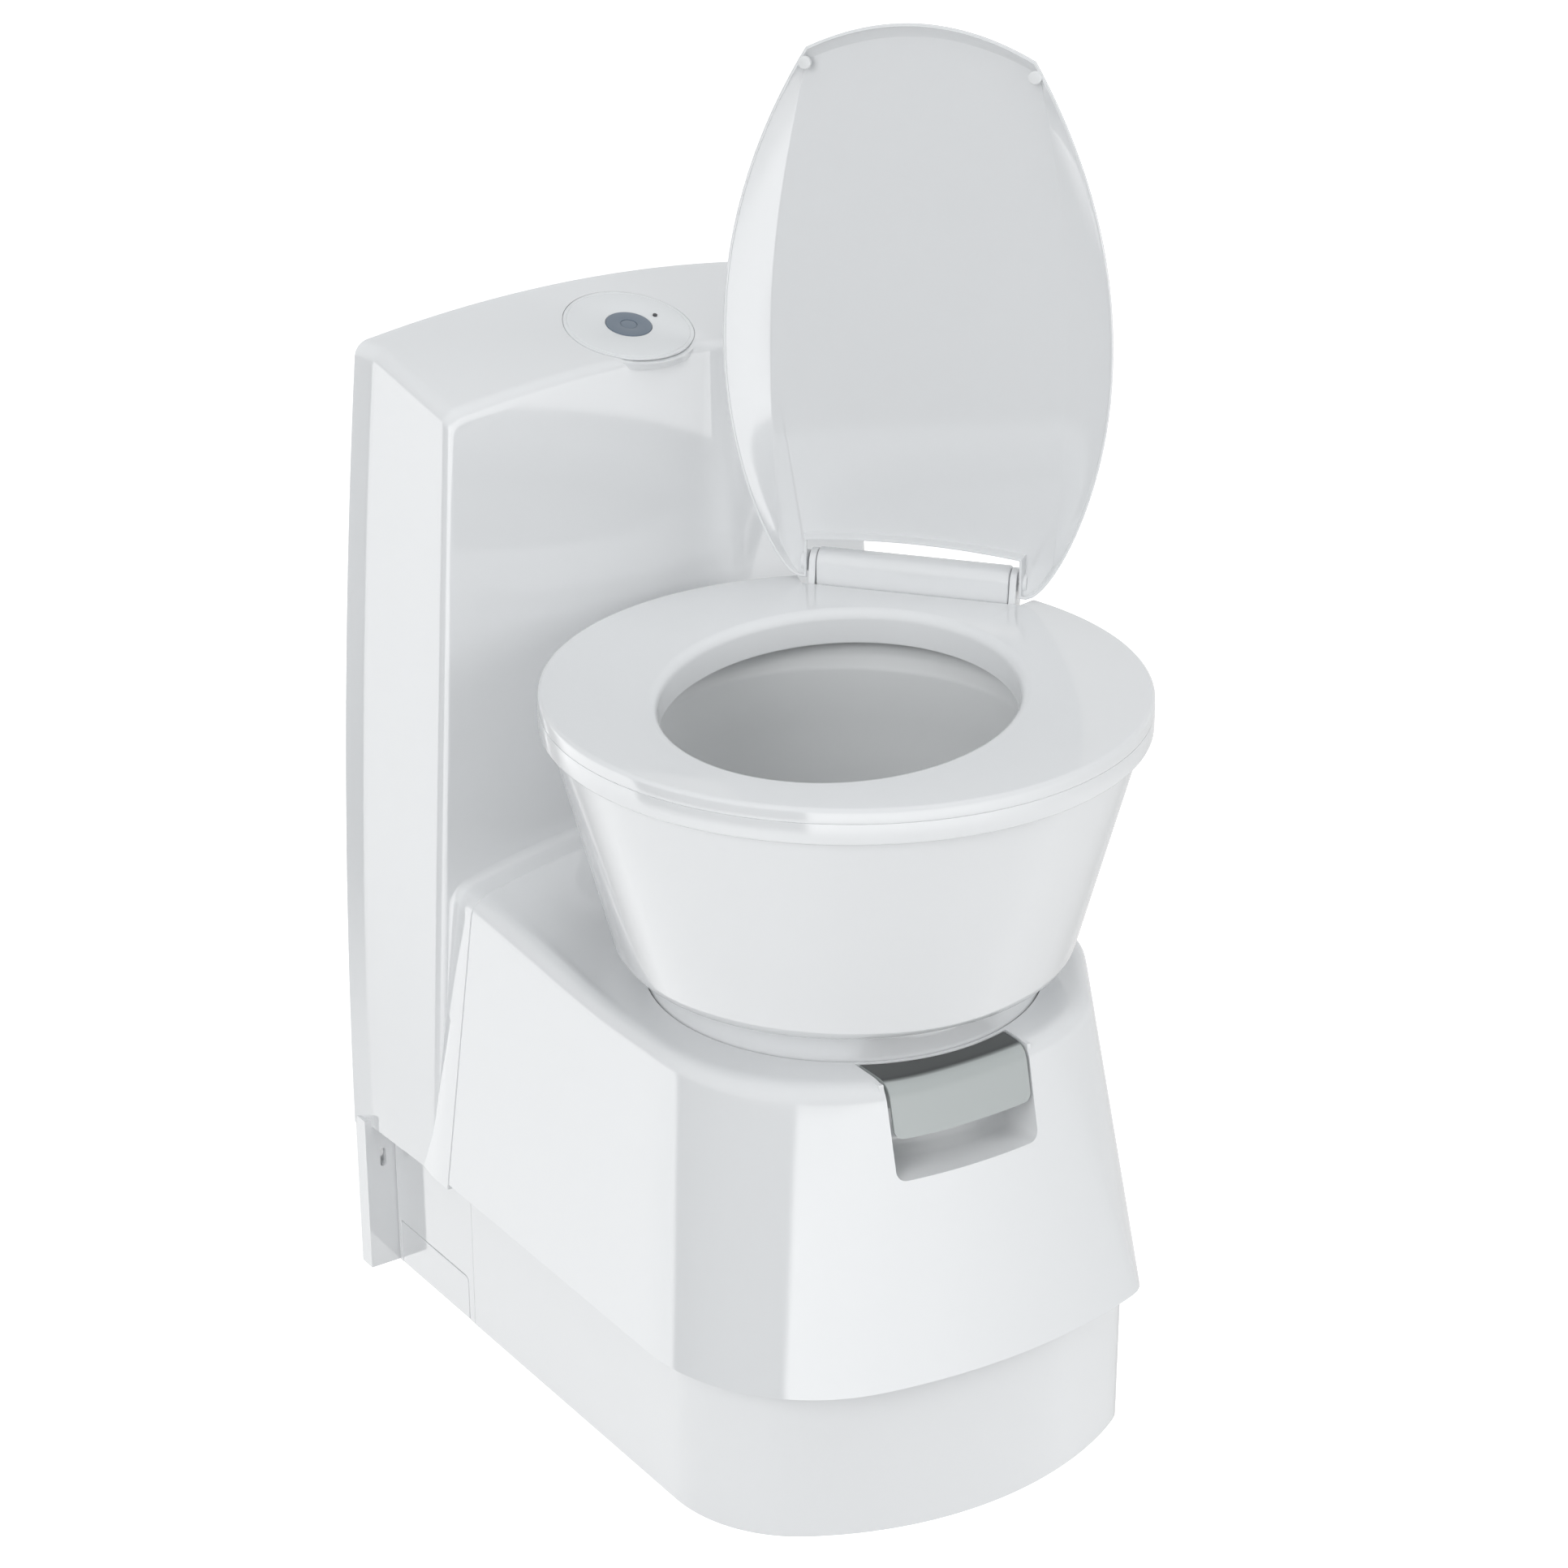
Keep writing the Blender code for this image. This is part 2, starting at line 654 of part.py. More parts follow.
def deck_height(x, y):
    """The deck is flat round the bowl and rises behind it to the crowned seam."""
    start = SWIVEL_Y + math.sqrt(max(0.0, DECK_RISE_RADIUS ** 2 - x * x))
    share = min(1.0, max(0.0, (y - start) / (SEAM_Y - start)))
    return lerp(DECK_Z, seam_crown(x), share)


def deck_outline(inset=0.0):
    return u_outline(DECK_HALF_WIDTH, DECK_DRAFT, DECK_APEX_Y, DECK_CORNER, DECK_BULGE, inset, side_steps=6)


def hood_outline(inset=0.0):
    return u_outline(HOOD_BOTTOM_HALF_WIDTH, HOOD_BOTTOM_DRAFT, HOOD_BOTTOM_APEX_Y,
                     HOOD_BOTTOM_CORNER, HOOD_BOTTOM_BULGE, inset, side_steps=6)


def plinth_outline(inset=0.0, rear=SEAM_Y):
    return u_outline(PLINTH_HALF_WIDTH, PLINTH_DRAFT, PLINTH_APEX_Y, PLINTH_CORNER,
                     PLINTH_BULGE, inset, rear)


def hood_column(inner, edge, foot, bend_steps=3, deck_steps=2, wall_steps=1):
    """Points from the bowl's opening over the deck, round its edge and down the wall."""
    angle = math.atan2(inner[1] - SWIVEL_Y, inner[0])
    ring = (RING_OPENING_RADIUS * math.cos(angle), SWIVEL_Y + RING_OPENING_RADIUS * math.sin(angle))
    column = []
    for i in range(deck_steps + 1):
        share = i / deck_steps
        x = lerp(ring[0], inner[0], share)
        y = lerp(ring[1], inner[1], share)
        column.append((x, y, deck_height(x, y)))
    if edge is None:
        return column
    corner = Vector((*edge, deck_height(*edge)))
    bottom = Vector((*foot, HOOD_BOTTOM_Z))
    down = corner + (bottom - corner).normalized() * DECK_EDGE_ROUND
    column += [quadratic(column[deck_steps], corner, down, i / bend_steps)
               for i in range(1, bend_steps + 1)]
    column += [tuple(down.lerp(bottom, i / wall_steps)) for i in range(1, wall_steps + 1)]
    return column


def hood_skin(rear_steps=8):
    """The hood's open outer skin, column by column round the bowl's opening."""
    columns = [hood_column(*places)
               for places in zip(deck_outline(DECK_EDGE_ROUND), deck_outline(), hood_outline())]
    end = columns[-1][3]
    for i in range(1, rear_steps):
        x = lerp(end[0], -end[0], i / rear_steps)
        columns.append(hood_column((x, SEAM_Y), None, None))
    work = bmesh.new()
    grid = [[work.verts.new(place) for place in column] for column in columns]
    for here, after in zip(grid, grid[1:] + grid[:1]):
        for i in range(min(len(here), len(after)) - 1):
            work.faces.new((here[i], here[i + 1], after[i + 1], after[i]))
    mesh = bpy.data.meshes.new("front_hood")
    work.to_mesh(mesh)
    work.free()
    return mesh


def front_arc(radius, left_x, right_x, steps=8):
    """Points of a circle about the bowl's axis, on its front side, between two widths."""
    xs = [lerp(left_x, right_x, i / steps) for i in range(steps + 1)]
    return [(x, SWIVEL_Y - math.sqrt(radius * radius - x * x)) for x in xs]


def recess_block(steps=8):
    """The recess's walls and floor as a solid block that ends inside the hood's wall."""
    middle = (RING_OPENING_RADIUS + COLLAR_OUTER_RADIUS) / 2
    low = RECESS_FLOOR_Z - WALL
    high = DECK_Z - WALL / 3
    rings = []
    for x, rear in front_arc(middle, RECESS_LEFT_X - WALL, RECESS_RIGHT_X + WALL, steps):
        front_low = front_y(x, low) + WALL / 3
        front_high = front_y(x, high) + WALL / 3
        rings.append([(x, rear, low), (x, front_low, low), (x, front_high, high), (x, rear, high)])
    return loft(rings)


def recess_cavity():
    """The space in front of the bowl's collar, with rounded lower corners."""
    front_y = HOOD_BOTTOM_APEX_Y - OVERRUN
    outline = front_arc(COLLAR_OUTER_RADIUS, RECESS_LEFT_X, RECESS_RIGHT_X)
    outline += [(RECESS_RIGHT_X, front_y), (RECESS_LEFT_X, front_y)]
    mesh = plate(outline, RECESS_FLOOR_Z, DECK_Z + OVERRUN)
    work = bmesh.new()
    work.from_mesh(mesh)
    edges = [e for e in work.edges
             if all(abs(v.co.z - RECESS_FLOOR_Z) < MERGE for v in e.verts)
             and (all(abs(v.co.x - RECESS_LEFT_X) < MERGE for v in e.verts)
                  or all(abs(v.co.x - RECESS_RIGHT_X) < MERGE for v in e.verts))]
    bmesh.ops.bevel(work, geom=edges, offset=RECESS_CORNER, segments=RECESS_CORNER_STEPS,
                    profile=ROUND_PROFILE_SHARE, affect="EDGES")
    return mesh_from(work)


def tongue_bottom():
    return tongue_top() - TONGUE_THICKNESS


def tongue_top():
    return SWIVEL_DISC_TOP_Z - SWIVEL_DISC_THICKNESS - GAP


def hood():
    """Front housing: a thin shell with a collar round the bowl's neck and a recess for the lever."""
    made = piece("front_hood", hood_skin(), None, WHITE)
    skin = made.modifiers.new("wall", "SOLIDIFY")
    skin.thickness = WALL
    skin.offset = -1
    skin.use_even_offset = True
    collar = [(COLLAR_OUTER_RADIUS, DECK_Z - WALL / 2), (COLLAR_OUTER_RADIUS, SWIVEL_DISC_TOP_Z + GAP),
              (RING_OPENING_RADIUS + GAP, SWIVEL_DISC_TOP_Z + GAP),
              (RING_OPENING_RADIUS + GAP, DECK_Z - WALL / 2)]
    join(made, lathe(collar, (0, SWIVEL_Y)))
    join(made, recess_block())
    cut(made, recess_cavity())
    slot_low = (TONGUE_LEFT_X - TOOTH_PLAY, SWIVEL_Y - COLLAR_OUTER_RADIUS - WALL,
                tongue_bottom() - TOOTH_PLAY)
    slot_high = (TONGUE_RIGHT_X + TOOTH_PLAY, SWIVEL_Y - RING_OPENING_RADIUS * RECESS_BACK_SHARE,
                 SWIVEL_DISC_TOP_Z)
    cut(made, box(slot_low, slot_high))
    seam = SEAM_Y - GAP / 3
    return cut(made, box((-WALL_PLANE_Y, seam, 0.0), (WALL_PLANE_Y, seam + OVERRUN, CONSOLE_TOP_Z)))


def front_plinth():
    """Set-back skirt with a flange that fits inside the hood."""
    share = (PLINTH_TOP_Z - HOOD_BOTTOM_Z) / (DECK_Z - HOOD_BOTTOM_Z)
    inset = WALL + 5 * GAP
    rings = []
    rear = SEAM_Y - PLINTH_SEAM
    outer = plinth_outline(0.0, rear)
    inner = plinth_outline(WALL, rear)
    low = u_outline(HOOD_BOTTOM_HALF_WIDTH, HOOD_BOTTOM_DRAFT, HOOD_BOTTOM_APEX_Y, HOOD_BOTTOM_CORNER,
                    HOOD_BOTTOM_BULGE, inset, rear)
    high = u_outline(DECK_HALF_WIDTH, DECK_DRAFT, DECK_APEX_Y, DECK_CORNER, DECK_BULGE, inset, rear)
    for out, inn, lo, hi in zip(outer, inner, low, high):
        rim = (lerp(lo[0], hi[0], share), lerp(lo[1], hi[1], share))
        top = PLINTH_TOP_Z + WALL
        rings.append([(*out, 0.0), (*out, PLINTH_TOP_Z), (*rim, PLINTH_TOP_Z), (*rim, top), (*inn, top),
                      (*inn, 0.0)])
    return piece("front_plinth", loft(rings), None, WHITE)


def plinth_half(y, inset=0.0):
    return PLINTH_HALF_WIDTH + PLINTH_DRAFT * (y - DRAFT_Y) - inset


def side_strip(side, front, rear, low, high, inset=0.0):
    """A stretch of the plinth's side wall."""
    rings = []
    for y in (front, rear):
        out = side * plinth_half(y, inset)
        inn = side * plinth_half(y, inset + WALL)
        rings.append([(out, y, low), (out, y, high), (inn, y, high), (inn, y, low)])
    return loft(rings)


def plinth_side(side, name):
    """Rear stretch of the plinth, with an opening for its knock-out cover."""
    rear = WALL_PLANE_Y - FLANGE_DEPTH - GAP
    top = PLINTH_TOP_Z + WALL
    made = piece(f"plinth_side_{name}", side_strip(side, SEAM_Y, rear, 0.0, top), None, WHITE)
    ledge_front = CONSOLE_FRONT_Y + 2 * WALL + GAP
    outer = min(console_half(y, PLINTH_TOP_Z) - WALL - GAP for y in (ledge_front, rear))
    xs = sorted((side * outer, side * (plinth_half(ledge_front) - WALL / 2)))
    join(made, box((xs[0], ledge_front, PLINTH_TOP_Z), (xs[1], rear - WALL, top)))
    xs = sorted((side * (plinth_half(0.0) - OVERRUN), side * (plinth_half(0.0) + OVERRUN)))
    low = (xs[0], SIDE_COVER_FRONT_Y - GAP, -OVERRUN)
    high = (xs[1], SIDE_COVER_REAR_Y + GAP, SIDE_COVER_HEIGHT + GAP)
    return cut(made, box(low, high))


def side_cover(side, name):
    mesh = side_strip(side, SIDE_COVER_FRONT_Y, SIDE_COVER_REAR_Y, GAP, SIDE_COVER_HEIGHT)
    return piece(f"side_cover_{name}", mesh, None, WHITE)


def floor_tray():
    """Base plate with two runners that the waste cassette slides on."""
    outline = plinth_outline(WALL + GAP, WALL_PLANE_Y - FLANGE_DEPTH - GAP)
    made = piece("floor_tray", plate(outline, 0.0, TRAY_THICKNESS), None, SOFT_WHITE)
    for side in (-1, 1):
        low = (side * RUNNER_X - RUNNER_WIDTH / 2, RUNNER_FRONT_Y, TRAY_THICKNESS / 2)
        high = (side * RUNNER_X + RUNNER_WIDTH / 2, TANK_REAR_Y, RUNNER_TOP_Z)
        join(made, box(low, high))
    return made


def swivel_disc():
    """Flat bearing under the bowl's neck, cut back behind the lever's recess."""
    top = SWIVEL_DISC_TOP_Z
    low = top - SWIVEL_DISC_THICKNESS
    hole = DRAIN_RADIUS + 2 * WALL / 3
    made = turned("swivel_bearing",
                  [(SWIVEL_DISC_RADIUS, top), (SWIVEL_DISC_RADIUS, low), (hole, low), (hole, top)],
                  SWIVEL_BASE, SOFT_WHITE)
    front = (RECESS_LEFT_X - 2 * WALL, -SWIVEL_DISC_RADIUS - OVERRUN, low - OVERRUN)
    back = (RECESS_RIGHT_X + 2 * WALL, -RING_OPENING_RADIUS * RECESS_BACK_SHARE, top + OVERRUN)
    notch = cutter(box(front, back), SWIVEL_BASE)
    keep = rod(NECK_RADIUS, (0, 0, low - 2 * OVERRUN), (0, 0, top + 2 * OVERRUN), RING_STEPS)
    combine(notch, keep, "DIFFERENCE", SWIVEL_BASE)
    step = made.modifiers.new("recess", "BOOLEAN")
    step.operation = "DIFFERENCE"
    step.object = notch
    for x, y, radius in ((drive_x(), DRIVE_Y - SWIVEL_Y, SHAFT_RADIUS + GAP),
                         (HOSE_X, HOSE_Y - SWIVEL_Y, HOSE_HOLE_SHARE * HOSE_RADIUS)):
        cut(made, rod(radius, (x, y, low - OVERRUN), (x, y, top + OVERRUN)))
    return made


def drive_x():
    """The drive pinion meshes with the left side of the lever's strip."""
    return TONGUE_LEFT_X - DRIVE_TEETH * TOOTH_PITCH / (2 * math.pi)


def bowl_shell():
    """Outer bowl: neck, rounded underside, flared cone and rim band, all one thin wall."""
    neck_low = SWIVEL_DISC_TOP_Z + GAP
    side = [(lerp(NECK_RADIUS, BOWL_RIM_RADIUS, across), lerp(BOWL_UNDER_Z, BOWL_RIM_Z, up))
            for across, up in reversed(BOWL_SIDE_SHARES)]
    outside = [(BOWL_RIM_RADIUS, BOWL_RIM_Z)] + side + [(NECK_RADIUS, BOWL_UNDER_Z)]
    inside = [(r - WALL, min(z + WALL, BOWL_RIM_Z)) for r, z in reversed(outside[:2] + outside[3::3])]
    neck = [(NECK_RADIUS, neck_low), (NECK_RADIUS - WALL, neck_low)]
    return turned("bowl_shell", outside + neck + inside, BOWL, WHITE)


def bowl_inlay():
    """Inner bowl: sloping rim, deep basin and the drain tube down to the waste valve."""
    tube_low = seal_top() + GAP
    rim = BOWL_RIM_RADIUS - WALL - GAP
    basin = [(lerp(DRAIN_RADIUS, INLAY_HOLE_RADIUS, across), lerp(INLAY_FLOOR_Z, BOWL_RIM_Z, up))
             for across, up in INLAY_SHARES]
    under = [(r, z - DRAIN_WALL) for r, z in basin]
    outside = [(rim, BOWL_RIM_Z - DRAIN_WALL)] + under + [(DRAIN_RADIUS, tube_low)]
    tube_top = INLAY_FLOOR_Z - 2 * DRAIN_WALL
    bore = DRAIN_RADIUS - DRAIN_WALL
    inside = [(bore, tube_low), (bore, tube_top)] + list(reversed(basin)) + [(rim, BOWL_RIM_Z)]
    return turned("bowl_inlay", outside + inside, BOWL, SOFT_WHITE)


def seal_top():
    return tongue_bottom() - SEAL_DROP


def seat():
    """Seat ring with an off-centre round hole, cut back for the hinge and carrying two pin ears."""
    edge = SEAT_EDGE_ROUND
    corner = arc((SEAT_RADIUS - edge, SEAT_TOP_Z - edge), edge, 90, 0, 3)
    base = SEAT_RADIUS - edge / 2
    profile = corner + [(SEAT_RADIUS, SEAT_BOTTOM_Z + edge / 2), (base, SEAT_BOTTOM_Z),
                        (0, SEAT_BOTTOM_Z), (0, SEAT_TOP_Z)]
    made = piece("seat", lathe(profile, steps=SEAT_STEPS), SEAT_HINGE, WHITE)
    cut(made, seat_hole())
    notch_front = HINGE_BACK - HINGE_BLOCK_RADIUS - 2 * TOOTH_PLAY
    half = LID_BASE_HALF + 2 * LID_WALL
    cut(made, box((-half, notch_front, SEAT_BOTTOM_Z - OVERRUN),
                  (half, SEAT_RADIUS + OVERRUN, SEAT_TOP_Z + OVERRUN)))
    inner = HINGE_BLOCK_HALF + 2 * GAP
    for side in (-1, 1):
        xs = sorted((side * inner, side * (inner + EAR_THICKNESS)))
        low = (xs[0], notch_front - WALL, SEAT_BOTTOM_Z + edge)
        join(made, box(low, (xs[1], HINGE_BACK, HINGE_Z)))
        join(made, rod(EAR_RADIUS, (xs[0], HINGE_BACK, HINGE_Z), (xs[1], HINGE_BACK, HINGE_Z)))
    pin = (-SEAT_RADIUS, HINGE_BACK, HINGE_Z), (SEAT_RADIUS, HINGE_BACK, HINGE_Z)
    return cut(made, rod(HINGE_PIN_RADIUS + GAP, *pin))


def seat_hole():
    """The hole's cutter: straight below and rounded out towards the seat's top."""
    round_up = SEAT_HOLE_ROUND
    low = SEAT_HOLE_RADIUS
    bend = arc((low + round_up, SEAT_TOP_Z - round_up), round_up, 180, 90, 3)
    profile = [(bend[-1][0], SEAT_TOP_Z + OVERRUN)] + list(reversed(bend))
    profile += [(low, SEAT_BOTTOM_Z - OVERRUN), (0, SEAT_BOTTOM_Z - OVERRUN), (0, SEAT_TOP_Z + OVERRUN)]
    return lathe(profile, (0, -SEAT_HOLE_FORWARD))


def hinge_block():
    """Rounded block on the rim that carries the hinge pin."""
    half = HINGE_BLOCK_HALF
    made = piece("hinge_block",
                 rod(HINGE_BLOCK_RADIUS, (-half, HINGE_BACK, HINGE_Z), (half, HINGE_BACK, HINGE_Z)),
                 BOWL, WHITE)
    low = (-half + WALL, HINGE_BACK - HINGE_BLOCK_RADIUS + GAP, BOWL_RIM_Z + GAP)
    join(made, box(low, (half - WALL, HINGE_BACK + HINGE_BLOCK_RADIUS * BLOCK_FOOT_SHARE, HINGE_Z)))
    pin = (-SEAT_RADIUS, HINGE_BACK, HINGE_Z), (SEAT_RADIUS, HINGE_BACK, HINGE_Z)
    return cut(made, rod(HINGE_PIN_RADIUS + GAP, *pin))


def hinge_pin():
    reach = LID_NOTCH_HALF + LUG_THICKNESS
    mesh = rod(HINGE_PIN_RADIUS, (-reach, HINGE_BACK, HINGE_Z), (reach, HINGE_BACK, HINGE_Z))
    return piece("hinge_pin", mesh, BOWL, STEEL, metallic=1.0)


def lid_half(up):
    """Half the lid's width at a share of its height above the base, a smooth barrel shape."""
    if up <= LID_WIDEST_SHARE:
        swell = math.sin(math.pi / 2 * up / LID_WIDEST_SHARE) ** LID_SWELL_SHARE
        return lerp(LID_BASE_HALF, LID_HALF_WIDTH, swell)
    beyond = (up - LID_WIDEST_SHARE) / (1 - LID_WIDEST_SHARE)
    return lerp(LID_HALF_WIDTH, LID_TOP_HALF, beyond ** LID_TAPER_SHARE)


def lid_field(steps=10, top_steps=6):
    """The flat field's outline, nearly straight-sided inside the lid's flanks."""
    shoulder = LID_HEIGHT - LID_TOP_RISE
    left = []
    for i in range(steps + 1):
        up = i / steps
        lower, upper = LID_FIELD_SHARES
        beyond = (up - LID_WIDEST_SHARE) / (1 - LID_WIDEST_SHARE)
        narrow = upper * beyond ** 2 if beyond > 0 else lower * beyond ** 2
        z = lerp(LID_LIP, shoulder - LID_FIELD_MARGIN, up)
        half = min(LID_FIELD_HALF * (1 - narrow), lid_half(z / shoulder) - 2 * LID_LIP)
        left.append((-half, z))
    half = -left[-1][0]
    top = [(x, LID_HEIGHT - LID_FIELD_MARGIN - LID_TOP_RISE * (x / half) ** 2)
           for x in (lerp(-half, half, i / top_steps) for i in range(1, top_steps))]
    return left + top + [(-x, z) for x, z in reversed(left)]


def lid_outline(inset, steps=10, top_steps=6):
    """The lid's outline, from the base's left corner up, over the bowed top and down the right side."""
    shoulder = LID_HEIGHT - LID_TOP_RISE
    left = []
    for i in range(steps + 1):
        up = i / steps
        z = lerp(inset, shoulder - inset, up)
        left.append((-(lid_half(up) - inset), z))
    half = LID_TOP_HALF - inset
    top = [(x, LID_HEIGHT - inset - LID_TOP_RISE * (x / half) ** 2)
           for x in (lerp(-half, half, i / top_steps) for i in range(1, top_steps))]
    return left + top + [(-x, z) for x, z in reversed(left)]


def lid():
    """Dished lid with a thin raised lip, sloping flanks, a framed notch and two pin lugs."""
    def row(outline, back):
        return [(x, LID_PLANE + back, LID_BASE_Z + z) for x, z in outline]
    lip = LID_LIP
    edge = lid_outline(0.0)
    within = lid_outline(lip / 2)
    rows = [row(lid_field(), LID_DISH), row(lid_outline(lip), lip / 2), row(within, 0.0),
            row(edge, lip / 2),
            row(edge, lip), row(lid_field(), LID_DISH + LID_WALL)]
    made = piece("lid", loft(rows), LID_HINGE, WHITE)
    frame = LID_FRAME_WIDTH
    half = LID_NOTCH_HALF
    back = LID_PLANE + LID_DISH + LID_WALL / 2
    join(made, plate_upright(notch_outline(half + frame, LID_NOTCH_TOP + frame, 0.0), LID_PLANE + lip,
                             back))
    for side in (-1, 1):
        xs = sorted((side * half, side * (half + LUG_THICKNESS)))
        join(made, rod(LUG_RADIUS, (xs[0], HINGE_BACK, HINGE_Z), (xs[1], HINGE_BACK, HINGE_Z)))
    cut(made, plate_upright(notch_outline(half, LID_NOTCH_TOP, -OVERRUN), LID_PLANE - OVERRUN,
                            back + OVERRUN))
    reach = half + LUG_THICKNESS + GAP
    return cut(made,
               rod(HINGE_PIN_RADIUS + GAP, (-reach, HINGE_BACK, HINGE_Z), (reach, HINGE_BACK, HINGE_Z)))


def notch_outline(half, top, bottom, steps=6):
    """The notch round the hinge block, with its gently arched top."""
    arch = [(x, top + LID_NOTCH_ARCH * (1 - (x / half) ** 2))
            for x in (lerp(half, -half, i / steps) for i in range(steps + 1))]
    return [(-half, bottom), (half, bottom)] + arch


def plate_upright(outline, front, back):
    """A plate that stands upright in the lid's plane, from a front to a back depth."""
    mesh = plate(outline, -back, -front)
    mesh.transform(Matrix.Translation((0, 0, LID_BASE_Z)) @ Matrix.Rotation(math.pi / 2, 4, "X"))
    return mesh


def lid_bumper(side, name):
    x = side * BUMPER_X
    z = LID_BASE_Z + BUMPER_UP
    mesh = rod(BUMPER_RADIUS, (x, LID_PLANE - GAP, z), (x, LID_PLANE - BUMPER_HEIGHT, z))
    return piece(f"lid_bumper_{name}", mesh, LID_HINGE, SOFT_WHITE, roughness=0.5)


def outline_y(outline, x):
    """Where a U-shaped outline's front crosses a width."""
    for a, b in zip(outline, outline[1:]):
        if a[0] <= x <= b[0] and a[0] < b[0]:
            return lerp(a[1], b[1], (x - a[0]) / (b[0] - a[0]))
    return outline[0][1]


def front_y(x, z):
    """The hood's front surface at a width and a height."""
    return lerp(outline_y(deck_outline(), x), outline_y(hood_outline(), x),
                (DECK_Z - z) / (DECK_Z - HOOD_BOTTOM_Z))


def lever_cap(columns=8, bend_steps=3):
    """The lever's open skin: top plate, rounded front edge and front plate that follow the hood."""
    left = RECESS_LEFT_X + LEVER_SIDE_GAP
    right = RECESS_RIGHT_X - LEVER_SIDE_GAP
    work = bmesh.new()
    grid = []
    for i in range(columns + 1):
        x = lerp(left, right, i / columns)
        rear = (x, SWIVEL_Y - math.sqrt(LEVER_REAR_RADIUS ** 2 - x * x), DECK_Z)
        edge = Vector((x, front_y(x, DECK_Z), DECK_Z))
        foot = Vector((x, front_y(x, LEVER_BOTTOM_Z), LEVER_BOTTOM_Z))
        start = edge + Vector((0, LEVER_EDGE_ROUND, 0))
        end = edge + (foot - edge).normalized() * LEVER_EDGE_ROUND
        path = [rear] + [quadratic(start, edge, end, k / bend_steps)
                         for k in range(bend_steps + 1)] + [tuple(foot)]
        grid.append([work.verts.new(place) for place in path])
    for here, after in zip(grid, grid[1:]):
        for k in range(len(here) - 1):
            work.faces.new((here[k], here[k + 1], after[k + 1], after[k]))
    mesh = bpy.data.meshes.new("valve_lever")
    work.to_mesh(mesh)
    work.free()
    return mesh


def rack_teeth(pitch_x, facing, centre_y, low_y, high_y):
    """A rack's toothed edge as points from low to high Y; facing is the side the teeth point to."""
    root = pitch_x - facing * (TOOTH_HEIGHT / 2 + TOOTH_PLAY / 2)
    tip = pitch_x + facing * (TOOTH_HEIGHT / 2 - TOOTH_PLAY / 2)
    half = TOOTH_PITCH / 4 - TOOTH_PLAY / 2
    slope = TOOTH_HEIGHT / 2 * math.tan(TOOTH_FLANK)
    first = math.ceil((low_y + TOOTH_PITCH / 2 - centre_y) / TOOTH_PITCH)
    last = math.floor((high_y - TOOTH_PITCH / 2 - centre_y) / TOOTH_PITCH)
    points = []
    for k in range(first, last + 1):
        y = centre_y + k * TOOTH_PITCH
        points += [(root, y - half - slope), (tip, y - half + slope), (tip, y + half - slope),
                   (root, y + half + slope)]
    return points


def pinion_outline(teeth, centre):
    """A toothed wheel's outline, with a gap towards +X."""
    pitch = pitch_radius(teeth)
    root = pitch - TOOTH_HEIGHT / 2 - TOOTH_PLAY / 2
    tip = pitch + TOOTH_HEIGHT / 2 - TOOTH_PLAY / 2
    half = TOOTH_PITCH / 4 - TOOTH_PLAY / 2
    slope = TOOTH_HEIGHT / 2 * math.tan(TOOTH_FLANK)
    points = []
    for k in range(teeth):
        middle = (k + 0.5) * 2 * math.pi / teeth
        for radius, offset in ((root, -half - slope), (tip, -half + slope), (tip, half - slope),
                               (root, half + slope)):
            angle = middle + offset / pitch
            points.append((centre[0] + radius * math.cos(angle), centre[1] + radius * math.sin(angle)))
    return points


def pitch_radius(teeth):
    return teeth * TOOTH_PITCH / (2 * math.pi)


def tongue_outline():
    """Plan of the lever's tongue: a wide front plate and the toothed strip beside the drain."""
    rear = DRIVE_Y + LEVER_TRAVEL + 3 * TOOTH_PITCH
    front = DRIVE_Y - 3 * TOOTH_PITCH
    teeth = rack_teeth(TONGUE_LEFT_X, -1, DRIVE_Y, front, rear)
    root = teeth[0][0]
    arc_front = front_arc(LEVER_REAR_RADIUS + LEVER_WALL / 2, root, TONGUE_RIGHT_X)
    corner = [(TONGUE_RIGHT_X, TONGUE_REAR_Y), (STRIP_RIGHT_X, TONGUE_REAR_Y), (STRIP_RIGHT_X, rear),
              (root, rear)]
    return arc_front + corner + list(reversed(teeth))


def valve_lever():
    """Pull lever: shell-like grip, rear web, and a tongue with rack teeth under the swivel bearing."""
    made = piece("valve_lever", lever_cap(), LEVER, GREY, roughness=0.4)
    skin = made.modifiers.new("wall", "SOLIDIFY")
    skin.thickness = LEVER_WALL
    skin.offset = -1
    skin.use_even_offset = True
    left = RECESS_LEFT_X + LEVER_SIDE_GAP
    right = RECESS_RIGHT_X - LEVER_SIDE_GAP
    window = rounded_rectangle((left - GAP, LEVER_BOTTOM_Z - GAP), (right + GAP, DECK_Z + OVERRUN),
                               LEVER_CORNER)
    mesh = plate(window, -CONSOLE_TOP_Z, CONSOLE_TOP_Z)
    mesh.transform(Matrix.Rotation(math.pi / 2, 4, "X"))
    combine(made, mesh, "INTERSECT")
    inner = front_arc(LEVER_REAR_RADIUS + GAP, left + LEVER_WALL, TONGUE_RIGHT_X)
    outer = front_arc(LEVER_REAR_RADIUS + LEVER_WALL, left + LEVER_WALL, TONGUE_RIGHT_X)
    join(made, plate(inner + list(reversed(outer)), tongue_bottom() + GAP, DECK_Z - LEVER_WALL / 2))
    return join(made, plate(tongue_outline(), tongue_bottom(), tongue_top()))


